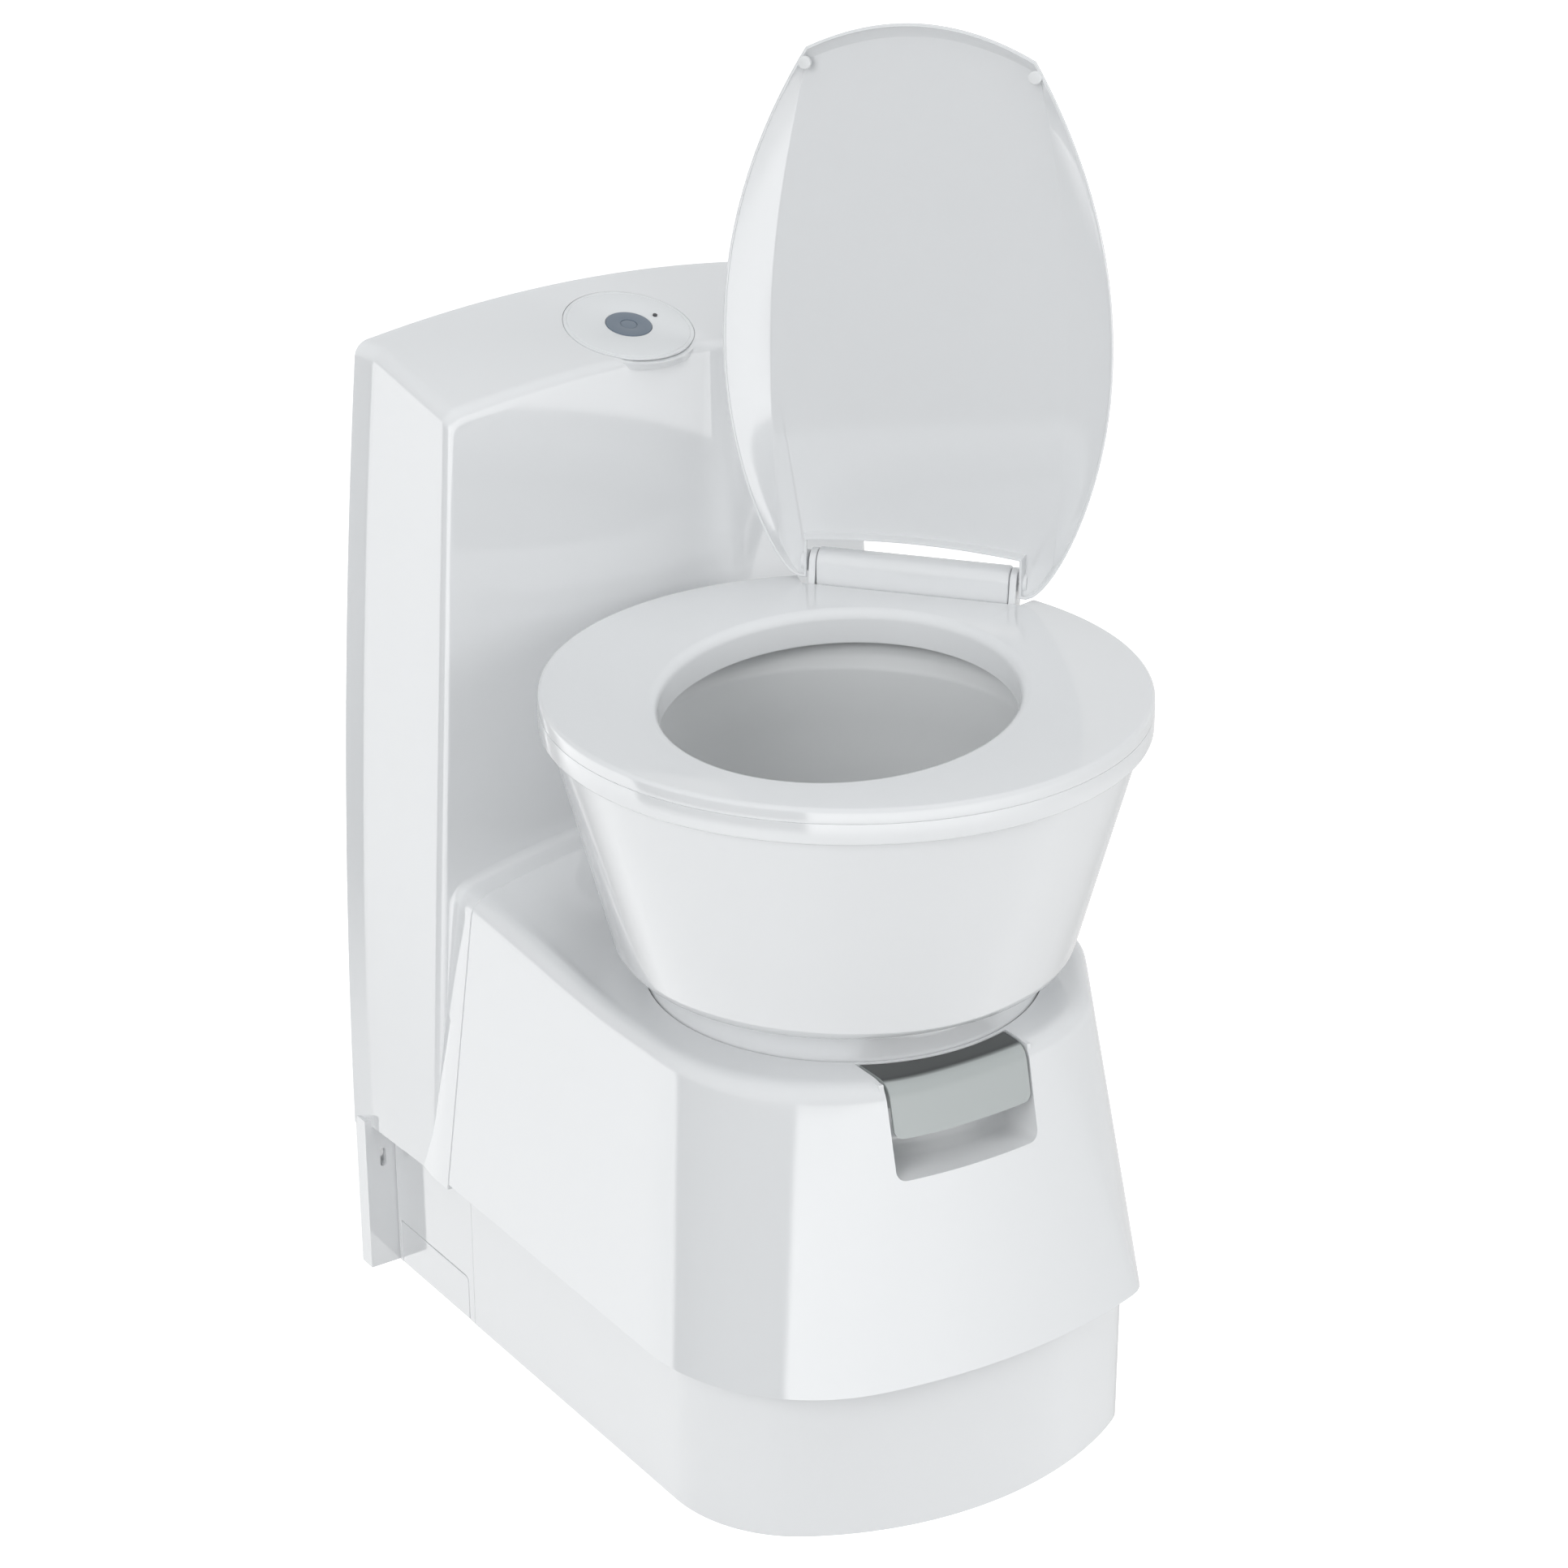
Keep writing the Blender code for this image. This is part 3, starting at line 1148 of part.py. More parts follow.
def lever_guide():
    """Channel under the swivel bearing that carries the lever's tongue."""
    middle = (TONGUE_REAR_Y + SWIVEL_Y - LEVER_REAR_RADIUS) / 2 + WALL
    half = 2 * WALL
    left = TONGUE_LEFT_X - TOOTH_PLAY
    right = TONGUE_RIGHT_X + TOOTH_PLAY
    low = tongue_bottom() - GAP - WALL
    made = piece("lever_guide",
                 box((left - WALL, middle - half, low), (right + WALL, middle + half, tongue_top())),
                 None, SOFT_WHITE)
    return cut(made, box((left, middle - half - OVERRUN, tongue_bottom() - GAP),
                         (right, middle + half + OVERRUN, tongue_top() + OVERRUN)))


def drive_pinion():
    """Pinion on the bearing plate, with a flat dog below that drops into the cassette's slot."""
    centre = (drive_x(), DRIVE_Y)
    made = piece("drive_pinion", plate(pinion_outline(DRIVE_TEETH, centre), tongue_bottom(), tongue_top()),
                 DRIVE, SOFT_WHITE)
    top = SWIVEL_DISC_TOP_Z + WALL
    join(made, rod(SHAFT_RADIUS, (*centre, tongue_bottom() + GAP), (*centre, top)))
    low = (centre[0] - DOG_WIDTH / 2, centre[1] - DOG_LENGTH / 2, dog_bottom())
    return join(made,
                box(low, (centre[0] + DOG_WIDTH / 2, centre[1] + DOG_LENGTH / 2, tongue_bottom() + GAP)))


def pinion_clip():
    """Spring clip that holds the pinion's shaft above the bearing plate."""
    low = SWIVEL_DISC_TOP_Z + GAP
    inner = SHAFT_RADIUS + GAP
    ring = [(2 * SHAFT_RADIUS, low + WALL / 2), (2 * SHAFT_RADIUS, low), (inner, low),
            (inner, low + WALL / 2)]
    return piece("pinion_clip", lathe(ring, (drive_x(), DRIVE_Y), SMALL_STEPS), DRIVE, STEEL, metallic=1.0)


def housing_bottom():
    return TANK_TOP_Z + GAP


def cavity_bottom():
    return housing_bottom() + HOUSING_SKIN


def cavity_top():
    return cavity_bottom() + BLADE_THICKNESS + 2 * BLADE_PLAY


def housing_top():
    return cavity_top() + HOUSING_SKIN


def opener_top():
    return housing_top() + GAP + OPENER_HEIGHT


def dog_bottom():
    return opener_top() - OPENER_SLOT_DEPTH + TOOTH_PLAY


def rounded_block(low, high, radius, bottom, top):
    return plate(rounded_rectangle(low, high, radius), bottom, top)


def cassette_tank():
    """Waste tank: a hollow with a mouth, wheel wells, axle lugs, handle guides and spout socket."""
    low = (-TANK_HALF_WIDTH, TANK_FRONT_Y)
    high = (TANK_HALF_WIDTH, TANK_REAR_Y)
    made = piece("cassette_tank", rounded_block(low, high, TANK_CORNER, TANK_BOTTOM_Z, TANK_TOP_Z),
                 CASSETTE, GREY)
    well_top = wheel_z() + WHEEL_RADIUS + WALL
    well_x = WHEEL_X - WHEEL_WIDTH / 2 - WALL
    for side in (-1, 1):
        xs = sorted((side * well_x, side * (TANK_HALF_WIDTH + OVERRUN)))
        well = (xs[0], TANK_FRONT_Y - OVERRUN, 0.0), (xs[1], WHEEL_Y + WHEEL_RADIUS + 2 * WALL, well_top)
        cut(made, box(*well))
        xs = sorted((side * (well_x - WALL / 2), side * (well_x - WALL / 2 - LUG_WIDTH)))
        half = 2 * AXLE_RADIUS
        lug_low = (xs[0], WHEEL_Y - half, wheel_z() - half)
        join(made, box(lug_low, (xs[1], WHEEL_Y + half, TANK_BOTTOM_Z + TANK_WALL / 2)))
        cut(made, axle_rod(side, AXLE_RADIUS + GAP, OVERRUN))
        rail_x = side * PULL_ROD_X
        guide_low = (rail_x - 2 * PULL_ROD_RADIUS, PULL_GUIDE_FRONT_Y, TANK_TOP_Z - TANK_WALL / 2)
        guide_high = (rail_x + 2 * PULL_ROD_RADIUS, PULL_GUIDE_REAR_Y,
                      pull_z() + PULL_ROD_RADIUS + WALL / 2)
        join(made, box(guide_low, guide_high))
        cut(made, rod(PULL_ROD_RADIUS + 2 * GAP, (rail_x, PULL_GUIDE_FRONT_Y - OVERRUN, pull_z()),
                      (rail_x, PULL_GUIDE_REAR_Y + OVERRUN, pull_z())))
    wall = TANK_WALL
    inner_low = (low[0] + wall, low[1] + wall)
    inner_high = (high[0] - wall, high[1] - wall)
    inside = cutter(rounded_block(inner_low, inner_high, TANK_CORNER - wall, TANK_BOTTOM_Z + wall,
                                  TANK_TOP_Z - wall),
                    CASSETTE)
    for side in (-1, 1):
        xs = sorted((side * (well_x - wall), side * (TANK_HALF_WIDTH + OVERRUN)))
        well = (xs[0], TANK_FRONT_Y - OVERRUN, 0.0), (xs[1], WHEEL_Y + WHEEL_RADIUS + 2 * WALL + wall,
                                                      well_top + wall)
        combine(inside, box(*well), "DIFFERENCE", CASSETTE)
    hollow = made.modifiers.new("hollow", "BOOLEAN")
    hollow.operation = "DIFFERENCE"
    hollow.object = inside
    join(made, lathe([(SPOUT_RADIUS + WALL, TANK_TOP_Z + SPOUT_BASE_HEIGHT),
                      (SPOUT_RADIUS + WALL, TANK_TOP_Z - wall / 2),
                      (0, TANK_TOP_Z - wall / 2), (0, TANK_TOP_Z + SPOUT_BASE_HEIGHT)], (SPOUT_X, SPOUT_Y)))
    cut(made, rod(SPOUT_RADIUS - WALL + GAP, (SPOUT_X, SPOUT_Y, TANK_TOP_Z - OVERRUN),
                  (SPOUT_X, SPOUT_Y, TANK_TOP_Z + OVERRUN), RING_STEPS))
    cut(made, rod(MOUTH_RADIUS, (0, SWIVEL_Y, TANK_TOP_Z - OVERRUN), (0, SWIVEL_Y, TANK_TOP_Z + OVERRUN),
                  RING_STEPS))
    cut(made, rod(VENT_RADIUS / 2 + GAP, (VENT_X, VENT_Y, TANK_TOP_Z - OVERRUN),
                  (VENT_X, VENT_Y, TANK_TOP_Z + OVERRUN)))
    return weld(made)


def wheel_z():
    return TRAY_THICKNESS + GAP + WHEEL_RADIUS


def pull_z():
    return TANK_TOP_Z + GAP + PULL_ROD_RADIUS


def axle_rod(side, radius, extra=0.0):
    well_x = WHEEL_X - WHEEL_WIDTH / 2 - WALL
    start = side * (well_x - WALL / 2 - LUG_WIDTH - extra)
    end = side * (WHEEL_X + WHEEL_WIDTH / 2 + WALL / 2)
    return rod(radius, (start, WHEEL_Y, wheel_z()), (end, WHEEL_Y, wheel_z()))


def wheel_axle(side, name):
    made = piece(f"wheel_axle_{name}", axle_rod(side, AXLE_RADIUS), CASSETTE, STEEL, metallic=1.0)
    face = WHEEL_X + WHEEL_WIDTH / 2 + GAP
    return join(made, rod(2 * AXLE_RADIUS, (side * face, WHEEL_Y, wheel_z()),
                          (side * (face + WALL / 2), WHEEL_Y, wheel_z())))


def wheel(side, name, frame):
    """A transport wheel with a rounded tread and recessed faces."""
    half = WHEEL_WIDTH / 2
    bore = AXLE_RADIUS + GAP
    hub = 2 * AXLE_RADIUS
    tread = WHEEL_RADIUS - WALL
    profile = [(tread, half), (WHEEL_RADIUS, half - WALL), (WHEEL_RADIUS, WALL - half), (tread, -half),
               (tread - WALL, -half), (tread - WALL, WALL - half), (hub, WALL - half), (hub, -half),
               (bore, -half), (bore, half), (hub, half), (hub, half - WALL), (tread - WALL, half - WALL),
               (tread - WALL, half)]
    mesh = lathe(profile, steps=RING_STEPS // 2)
    mesh.transform(Matrix.Translation((side * WHEEL_X, WHEEL_Y, wheel_z()))
                   @ Matrix.Rotation(math.pi / 2, 4, "Y"))
    return piece(f"wheel_{name}", mesh, frame, DARK, roughness=0.6)


def valve_housing():
    """Flat housing on the tank's top, hollow for the blade, with the mouth through it."""
    low = (HOUSING_LEFT_X, HOUSING_FRONT_Y)
    high = (HOUSING_RIGHT_X, HOUSING_REAR_Y)
    made = piece("valve_housing", rounded_block(low, high, 2 * WALL, housing_bottom(), housing_top()),
                 CASSETTE, SOFT_WHITE)
    skin = HOUSING_SKIN
    cut(made, box((low[0] + skin, low[1] + skin, cavity_bottom()),
                  (high[0] - skin, high[1] - skin, cavity_top())))
    middle = (0, SWIVEL_Y)
    cut(made, rod(MOUTH_RADIUS, (*middle, housing_bottom() - OVERRUN),
                  (*middle, housing_top() + OVERRUN), RING_STEPS))
    shaft = (drive_x(), DRIVE_Y)
    return cut(made,
               rod(SHAFT_RADIUS + GAP, (*shaft, cavity_top() - GAP), (*shaft, housing_top() + OVERRUN)))


def mouth_seal():
    """Lip seal round the mouth, just under the bowl's drain."""
    low = housing_top() + GAP
    inner = MOUTH_RADIUS + GAP
    top = seal_top()
    profile = [(inner + 2 * WALL, top), (inner + 2 * WALL, top - WALL), (inner + WALL, top - 2 * WALL),
               (inner + 3 * WALL, low + WALL), (inner + 3 * WALL, low), (inner, low), (inner, top - WALL),
               (inner + WALL, top)]
    return piece("mouth_seal", lathe(profile, (0, SWIVEL_Y)), CASSETTE, DARK, roughness=0.6)


def valve_blade():
    """Sliding blade with a window that holds the pinion and a rack along the window's far side."""
    reach = pitch_radius(BLADE_TEETH)
    tip = reach + TOOTH_HEIGHT / 2
    pitch_x = drive_x() - reach
    window_right = drive_x() + tip + 2 * TOOTH_PLAY
    front = DRIVE_Y - BLADE_TRAVEL - tip - 2 * TOOTH_PLAY
    rear = DRIVE_Y + tip + 2 * TOOTH_PLAY
    left = pitch_x - TOOTH_HEIGHT - BLADE_ARM_WIDTH
    low = cavity_bottom() + BLADE_PLAY
    high = low + BLADE_THICKNESS
    made = piece("valve_blade",
                 box((left, front - BLADE_BAR, low), (BLADE_HALF_WIDTH, BLADE_REAR_Y + BLADE_BAR, high)),
                 BLADE, STEEL, metallic=1.0)
    cut(made, box((window_right + BLADE_BAR, front - OVERRUN, low - OVERRUN),
                  (BLADE_HALF_WIDTH + OVERRUN, BLADE_FRONT_Y, high + OVERRUN)))
    teeth = rack_teeth(pitch_x, 1, DRIVE_Y, DRIVE_Y - BLADE_TRAVEL - SPARE_TEETH * TOOTH_PITCH, rear)
    root = teeth[0][0]
    window = [(root, front), (window_right, front), (window_right, rear), (root, rear)]
    window += list(reversed(teeth))
    return cut(made, plate(window, low - OVERRUN, high + OVERRUN))


def valve_opener():
    """Slotted head that the dog turns, on one shaft with the pinion that drives the blade."""
    centre = (drive_x(), DRIVE_Y)
    low = cavity_bottom() + BLADE_PLAY
    head_low = housing_top() + GAP
    made = piece("valve_opener",
                 rod(OPENER_RADIUS, (*centre, head_low), (*centre, opener_top()), RING_STEPS // 2),
                 OPENER, SOFT_WHITE)
    join(made, rod(SHAFT_RADIUS, (*centre, low + GAP), (*centre, head_low + GAP)))
    join(made, plate(pinion_outline(BLADE_TEETH, centre), low, low + BLADE_THICKNESS))
    half = DOG_WIDTH / 2 + OPENER_SLOT_PLAY
    return cut(made,
               box((centre[0] - half, DRIVE_Y - OPENER_RADIUS - OVERRUN, opener_top() - OPENER_SLOT_DEPTH),
                         (centre[0] + half, DRIVE_Y + OPENER_RADIUS + OVERRUN, opener_top() + OVERRUN)))


def pull_handle(bend_steps=5):
    """U-shaped telescopic handle lying on the tank, its legs in the moulded guides."""
    radius = 3 * PULL_ROD_RADIUS
    z = pull_z()
    x = PULL_ROD_X
    route = [(-x, PULL_FRONT_Y)] + arc((-x + radius, PULL_REAR_Y - radius), radius, 180, 90, bend_steps)
    route += arc((x - radius, PULL_REAR_Y - radius), radius, 90, 0, bend_steps) + [(x, PULL_FRONT_Y)]
    mesh = tube([(px, py, z) for px, py in route], PULL_ROD_RADIUS)
    return piece("pull_handle", mesh, PULL, DARK, roughness=0.5)


def spout_z():
    return TANK_TOP_Z + SPOUT_BASE_HEIGHT + SPOUT_RADIUS + 2 * WALL


def pour_spout():
    """Pour-out elbow that swings on its socket, with a straight outlet pipe."""
    low = TANK_TOP_Z + SPOUT_BASE_HEIGHT + GAP
    z = spout_z()
    centre = (SPOUT_X, SPOUT_Y)
    top = z + SPOUT_RADIUS
    made = piece("pour_spout", rod(SPOUT_RADIUS, (*centre, low), (*centre, top), RING_STEPS // 2), SPOUT,
                 DARK, roughness=0.5)
    outlet = SPOUT_RADIUS - SPOUT_WALL / 2
    end = (SPOUT_X, SPOUT_Y - SPOUT_REACH, z)
    join(made, rod(outlet, (*centre, z), end, RING_STEPS // 2))
    insert = SPOUT_RADIUS - WALL
    join(made, rod(insert, (*centre, TANK_TOP_Z + SPOUT_WALL), (*centre, low + GAP), RING_STEPS // 2))
    bore = insert - SPOUT_WALL
    cut(made, rod(bore, (*centre, TANK_TOP_Z - OVERRUN), (*centre, z), RING_STEPS // 2))
    return cut(made, rod(bore, (*centre, z), (end[0], end[1] - OVERRUN, z), RING_STEPS // 2))


def spout_cap():
    """Ribbed screw cap over the outlet pipe's end."""
    inner = SPOUT_RADIUS - SPOUT_WALL / 2 + GAP
    grip = CAP_LENGTH - SPOUT_WALL
    ribs = []
    count = SMALL_STEPS
    for k in range(2 * count):
        radius = CAP_RADIUS if k % 2 == 0 else CAP_RADIUS - SPOUT_WALL / 2
        angle = math.pi * k / count
        ribs.append((radius * math.cos(angle), radius * math.sin(angle)))
    mesh = plate(ribs, 0.0, CAP_LENGTH)
    face_y = SPOUT_Y - SPOUT_REACH + grip - GAP
    mesh.transform(Matrix.Translation((SPOUT_X, face_y, spout_z())) @ Matrix.Rotation(math.pi / 2, 4, "X"))
    made = piece("spout_cap", mesh, CAP, DARK, roughness=0.5)
    return cut(made, rod(inner, (SPOUT_X, face_y - grip, spout_z()),
                         (SPOUT_X, face_y + OVERRUN, spout_z()), RING_STEPS // 2))


def vent_button():
    low = TANK_TOP_Z + VENT_TRAVEL + TOOTH_PLAY
    centre = (VENT_X, VENT_Y)
    made = piece("vent_button", rod(VENT_RADIUS, (*centre, low), (*centre, low + VENT_HEIGHT),
                                    RING_STEPS // 2), VENT, DARK)
    return join(made, rod(VENT_RADIUS / 2, (*centre, TANK_TOP_Z - 2 * VENT_TRAVEL), (*centre, low + WALL)))


def control_disc():
    """Round fascia let into the console's top, with holes for the button and the lamp."""
    low = GAP - DISC_RECESS
    top = low + DISC_THICKNESS
    hole = BUTTON_RADIUS + GAP
    made = turned("control_disc", [(DISC_RADIUS, top), (DISC_RADIUS, low), (hole, low), (hole, top)],
                  CONTROLS, WHITE,
                  steps=RING_STEPS)
    place = (LAMP_X, LAMP_ALONG)
    return cut(made, rod(LAMP_RADIUS + GAP, (*place, low - OVERRUN), (*place, top + OVERRUN)))


def console_control_seat(made):
    """Thicken the console's top under the disc, then sink the disc's seat and the button's hole."""
    boss = rod(DISC_RADIUS + WALL, (0, 0, -CONTROL_BOSS_DEPTH), (0, 0, -DISC_RECESS), RING_STEPS // 2)
    combine(made, boss, "UNION", CONTROLS)
    seat_cut = rod(DISC_RADIUS + GAP, (0, 0, -DISC_RECESS), (0, 0, OVERRUN), RING_STEPS)
    combine(made, seat_cut, "DIFFERENCE", CONTROLS)
    hole = rod(LAMP_X + 2 * LAMP_RADIUS, (0, 0, -OVERRUN), (0, 0, OVERRUN), RING_STEPS // 2)
    combine(made, hole, "DIFFERENCE", CONTROLS)
    weld(made)


def flush_button():
    """Round flush button with a shallow ring in its face."""
    top = DISC_THICKNESS - DISC_RECESS + BUTTON_PROUD
    ring = BUTTON_RADIUS / 3
    groove = BUTTON_PROUD / 2
    profile = [(0, top), (ring, top), (ring, top - groove), (ring + groove, top - groove),
               (ring + groove, top),
               (BUTTON_RADIUS - groove, top), (BUTTON_RADIUS, top - groove),
               (BUTTON_RADIUS, top - BUTTON_DEPTH),
               (0, top - BUTTON_DEPTH)]
    return turned("flush_button", profile, BUTTON, SLATE, steps=RING_STEPS * 2 // 3, closed=False)


def status_lamp():
    low = GAP - DISC_RECESS
    centre = (LAMP_X, LAMP_ALONG)
    mesh = rod(LAMP_RADIUS, (*centre, low - WALL), (*centre, low + DISC_THICKNESS + GAP))
    return piece("status_lamp", mesh, CONTROLS, DARK)


def control_unit():
    """Electronics box under the disc, with a well for the button."""
    top = -CONTROL_BOSS_DEPTH - GAP
    width, depth, height = UNIT_SIZE
    made = piece("control_unit",
                 box((-width / 2, -depth / 2, top - height), (width / 2, depth / 2, top)), CONTROLS, DARK)
    well = DISC_THICKNESS - DISC_RECESS + BUTTON_PROUD - BUTTON_DEPTH - BUTTON_TRAVEL - TOOTH_PLAY
    return cut(made, rod(BUTTON_RADIUS + TOOTH_PLAY, (0, 0, well), (0, 0, OVERRUN), RING_STEPS))


def flush_valve():
    """Solenoid valve on the inside of the console's front wall, with its coil on top."""
    width, depth, height = VALVE_SIZE
    x, z = VALVE_LOW
    y = CONSOLE_FRONT_Y + WALL + GAP
    made = piece("flush_valve", box((x, y, z), (x + width, y + depth, z + height)), None, SOFT_WHITE)
    centre = (x + width / 2, y + depth / 2)
    coil = rod(depth / 3, (*centre, z + height - GAP), (*centre, z + 2 * height / 3 + height),
               RING_STEPS // 2)
    return join(made, coil)


def inlet_pipe():
    """Water inlet that runs from the valve to a threaded stub at the wall side."""
    width, depth, height = VALVE_SIZE
    x, z = VALVE_LOW
    start = CONSOLE_FRONT_Y + WALL + GAP + depth + GAP
    z += height / 2
    x += width / 2
    made = piece("inlet_pipe", rod(2 * HOSE_RADIUS, (x, start, z), (x, start + 3 * WALL, z), 6), None,
                 STEEL, metallic=1.0)
    return join(made, rod(PIPE_SHARE * HOSE_RADIUS, (x, start + WALL, z), (x, WALL_PLANE_Y - WALL, z)))


def flush_hose(steps=4):
    """Hose from the valve, under the deck and the bearing plate, up through the plate."""
    x = HOSE_X
    top = VALVE_LOW[1] - GAP
    back = CONSOLE_FRONT_Y + WALL + GAP + VALVE_SIZE[1] / 2
    under = SWIVEL_DISC_TOP_Z - SWIVEL_DISC_THICKNESS - HOSE_RADIUS - 2 * GAP
    deck = DECK_Z - WALL - 2 * HOSE_RADIUS
    bend = HOSE_BEND_SHARE * HOSE_RADIUS
    high_share, low_share, along_share, rise_share = HOSE_ROUTE_SHARES
    plate_edge = math.sqrt(SWIVEL_DISC_RADIUS ** 2 - x * x) + SWIVEL_Y
    knots = [(back, top), (back, lerp(deck, top, high_share)),
             (back - HOSE_RADIUS, lerp(deck, top, low_share)),
             (SEAM_Y, deck), (lerp(SEAM_Y, plate_edge, along_share), lerp(under, deck, rise_share)),
             (plate_edge + 2 * HOSE_RADIUS, under),
             (HOSE_Y + bend, under), (HOSE_Y, under + bend), (HOSE_Y, SWIVEL_DISC_TOP_Z + HOSE_RADIUS)]
    route = smooth(knots, steps)
    return piece("flush_hose", tube([(x, y, z) for y, z in route], HOSE_RADIUS), None, GREY, roughness=0.5)


def smooth(knots, steps):
    """A curve through hand-placed points."""
    ends = [knots[0]] + knots + [knots[-1]]
    route = []
    for a, b, c, d in zip(ends, ends[1:], ends[2:], ends[3:]):
        for i in range(steps):
            t = i / steps
            route.append(tuple(0.5 * (2 * q + (r - p) * t + (2 * p - 5 * q + 4 * r - s) * t * t
                                      + (3 * q - p - 3 * r + s) * t ** 3)
                                      for p, q, r, s in zip(a, b, c, d)))
    return route + [knots[-1]]


HINGE = (0.0, HINGE_BACK, HINGE_Z)
SWIVEL_BASE = joint_frame("swivel_base_frame", (0, SWIVEL_Y, 0), own=True)
BOWL = joint_frame("bowl_swivel_frame", (0, SWIVEL_Y, 0), turn=TURN, own=True)
SEAT_HINGE = joint_frame("seat_hinge_frame", HINGE, BOWL)
LID_HINGE = joint_frame("lid_hinge_frame", HINGE, BOWL)
LEVER = joint_frame("lever_frame", (0, SWIVEL_Y - LEVER_REAR_RADIUS, DECK_Z))
DRIVE = joint_frame("drive_frame", (drive_x(), DRIVE_Y, tongue_top()))
CASSETTE = joint_frame("cassette_frame", (0, TANK_REAR_Y, TANK_BOTTOM_Z))
BLADE = joint_frame("blade_frame", (0, SWIVEL_Y, cavity_bottom()), CASSETTE)
OPENER = joint_frame("opener_frame", (drive_x(), DRIVE_Y, housing_top()), CASSETTE)
PULL = joint_frame("pull_frame", (0, PULL_REAR_Y, pull_z()), CASSETTE)
SPOUT = joint_frame("spout_frame", (SPOUT_X, SPOUT_Y, TANK_TOP_Z), CASSETTE)
CAP = joint_frame("cap_frame", (SPOUT_X, SPOUT_Y - SPOUT_REACH, spout_z()), SPOUT)
VENT = joint_frame("vent_frame", (VENT_X, VENT_Y, TANK_TOP_Z), CASSETTE)
CONTROLS = joint_frame("control_frame", (0, DISC_Y, console_top(0, DISC_Y)), own=True)
CONTROLS.rotation_euler[0] = math.atan(CONSOLE_TOP_SLOPE)
BUTTON = joint_frame("button_frame", (0, 0, 0), CONTROLS, own=True)

console_control_seat(console())
hood()
front_plinth()
floor_tray()
for direction, word in ((-1, "left"), (1, "right")):
    plinth_side(direction, word)
    side_cover(direction, word)
    lid_bumper(direction, word)
    wheel_axle(direction, word)
    wheel(direction, word,
          joint_frame(f"wheel_frame_{word}", (direction * WHEEL_X, WHEEL_Y, wheel_z()), CASSETTE))
swivel_disc()
control_disc()
flush_button()
status_lamp()
control_unit()
flush_valve()
inlet_pipe()
flush_hose()
bowl_shell()
bowl_inlay()
hinge_block()
hinge_pin()
seat()
lid()
valve_lever()
lever_guide()
drive_pinion()
pinion_clip()
cassette_tank()
valve_housing()
mouth_seal()
valve_blade()
valve_opener()
pull_handle()
pour_spout()
spout_cap()
vent_button()
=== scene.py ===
import math

import bmesh
import bpy
import numpy as np
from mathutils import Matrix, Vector


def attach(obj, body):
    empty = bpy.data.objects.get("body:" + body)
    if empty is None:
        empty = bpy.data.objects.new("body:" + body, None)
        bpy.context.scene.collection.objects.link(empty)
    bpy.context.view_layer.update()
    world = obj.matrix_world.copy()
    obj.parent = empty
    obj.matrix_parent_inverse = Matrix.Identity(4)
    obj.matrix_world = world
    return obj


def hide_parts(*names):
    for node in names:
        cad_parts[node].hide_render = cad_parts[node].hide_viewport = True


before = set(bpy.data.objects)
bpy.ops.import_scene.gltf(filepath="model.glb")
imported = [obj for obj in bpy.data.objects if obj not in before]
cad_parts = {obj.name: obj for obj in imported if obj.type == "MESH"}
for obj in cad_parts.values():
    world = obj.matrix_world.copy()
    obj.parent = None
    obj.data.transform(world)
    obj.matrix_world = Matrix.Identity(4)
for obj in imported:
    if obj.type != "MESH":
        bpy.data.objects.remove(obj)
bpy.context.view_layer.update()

# Camera and studio: a long lens from the toilet's left front, looking down. Four soft boxes light it: the
# key at the left, a weak one in front, one at the right and one overhead, all inside a pale surround.
EYE = (-1.300, -1.939, 1.461)
LOOK_DOWN_DEG = 24.04
LOOK_ROUND_DEG = -34.23
LENS_MM = 85.79
SENSOR_MM = 36.0
FAR_CLIP = 100.0
LAMPS = (("key_box", (-2.6, -1.6, 1.7), (0.0, 0.0, 0.4), 1.8, 2.2, 43.0),
         ("front_box", (0.6, -3.2, 1.5), (0.0, -0.1, 0.4), 1.2, 2.0, 6.0),
         ("right_box", (2.6, -1.9, 1.3), (0.0, 0.0, 0.3), 1.2, 2.0, 27.0),
         ("top_box", (-0.2, -0.4, 3.0), (0.0, 0.0, 0.5), 2.4, 2.4, 14.0))
SKY_COLOUR = (0.90, 0.93, 0.95, 1.0)
SKY_STRENGTH = 0.46


def placed(name, data):
    """A new object for some data, linked to the scene."""
    made = bpy.data.objects.new(name, data)
    bpy.context.scene.collection.objects.link(made)
    return made


eye_data = bpy.data.cameras.new("studio_camera")
eye_data.lens = LENS_MM
eye_data.sensor_width = SENSOR_MM
eye_data.clip_end = FAR_CLIP
eye = placed("studio_camera", eye_data)
eye.location = EYE
eye.rotation_euler = (math.radians(90.0 - LOOK_DOWN_DEG), 0.0, math.radians(LOOK_ROUND_DEG))
bpy.context.scene.camera = eye
bpy.context.scene.view_settings.view_transform = "Standard"


def soft_box(name, place, aim, width, height, watts):
    """A rectangular lamp at a place, facing the point it aims at."""
    data = bpy.data.lights.new(name, "AREA")
    data.shape = "RECTANGLE"
    data.size = width
    data.size_y = height
    data.energy = watts
    lamp = placed(name, data)
    lamp.location = place
    lamp.rotation_euler = (Vector(aim) - Vector(place)).to_track_quat("-Z", "Y").to_euler()
    lamp.visible_glossy = False


for lamp_row in LAMPS:
    soft_box(*lamp_row)

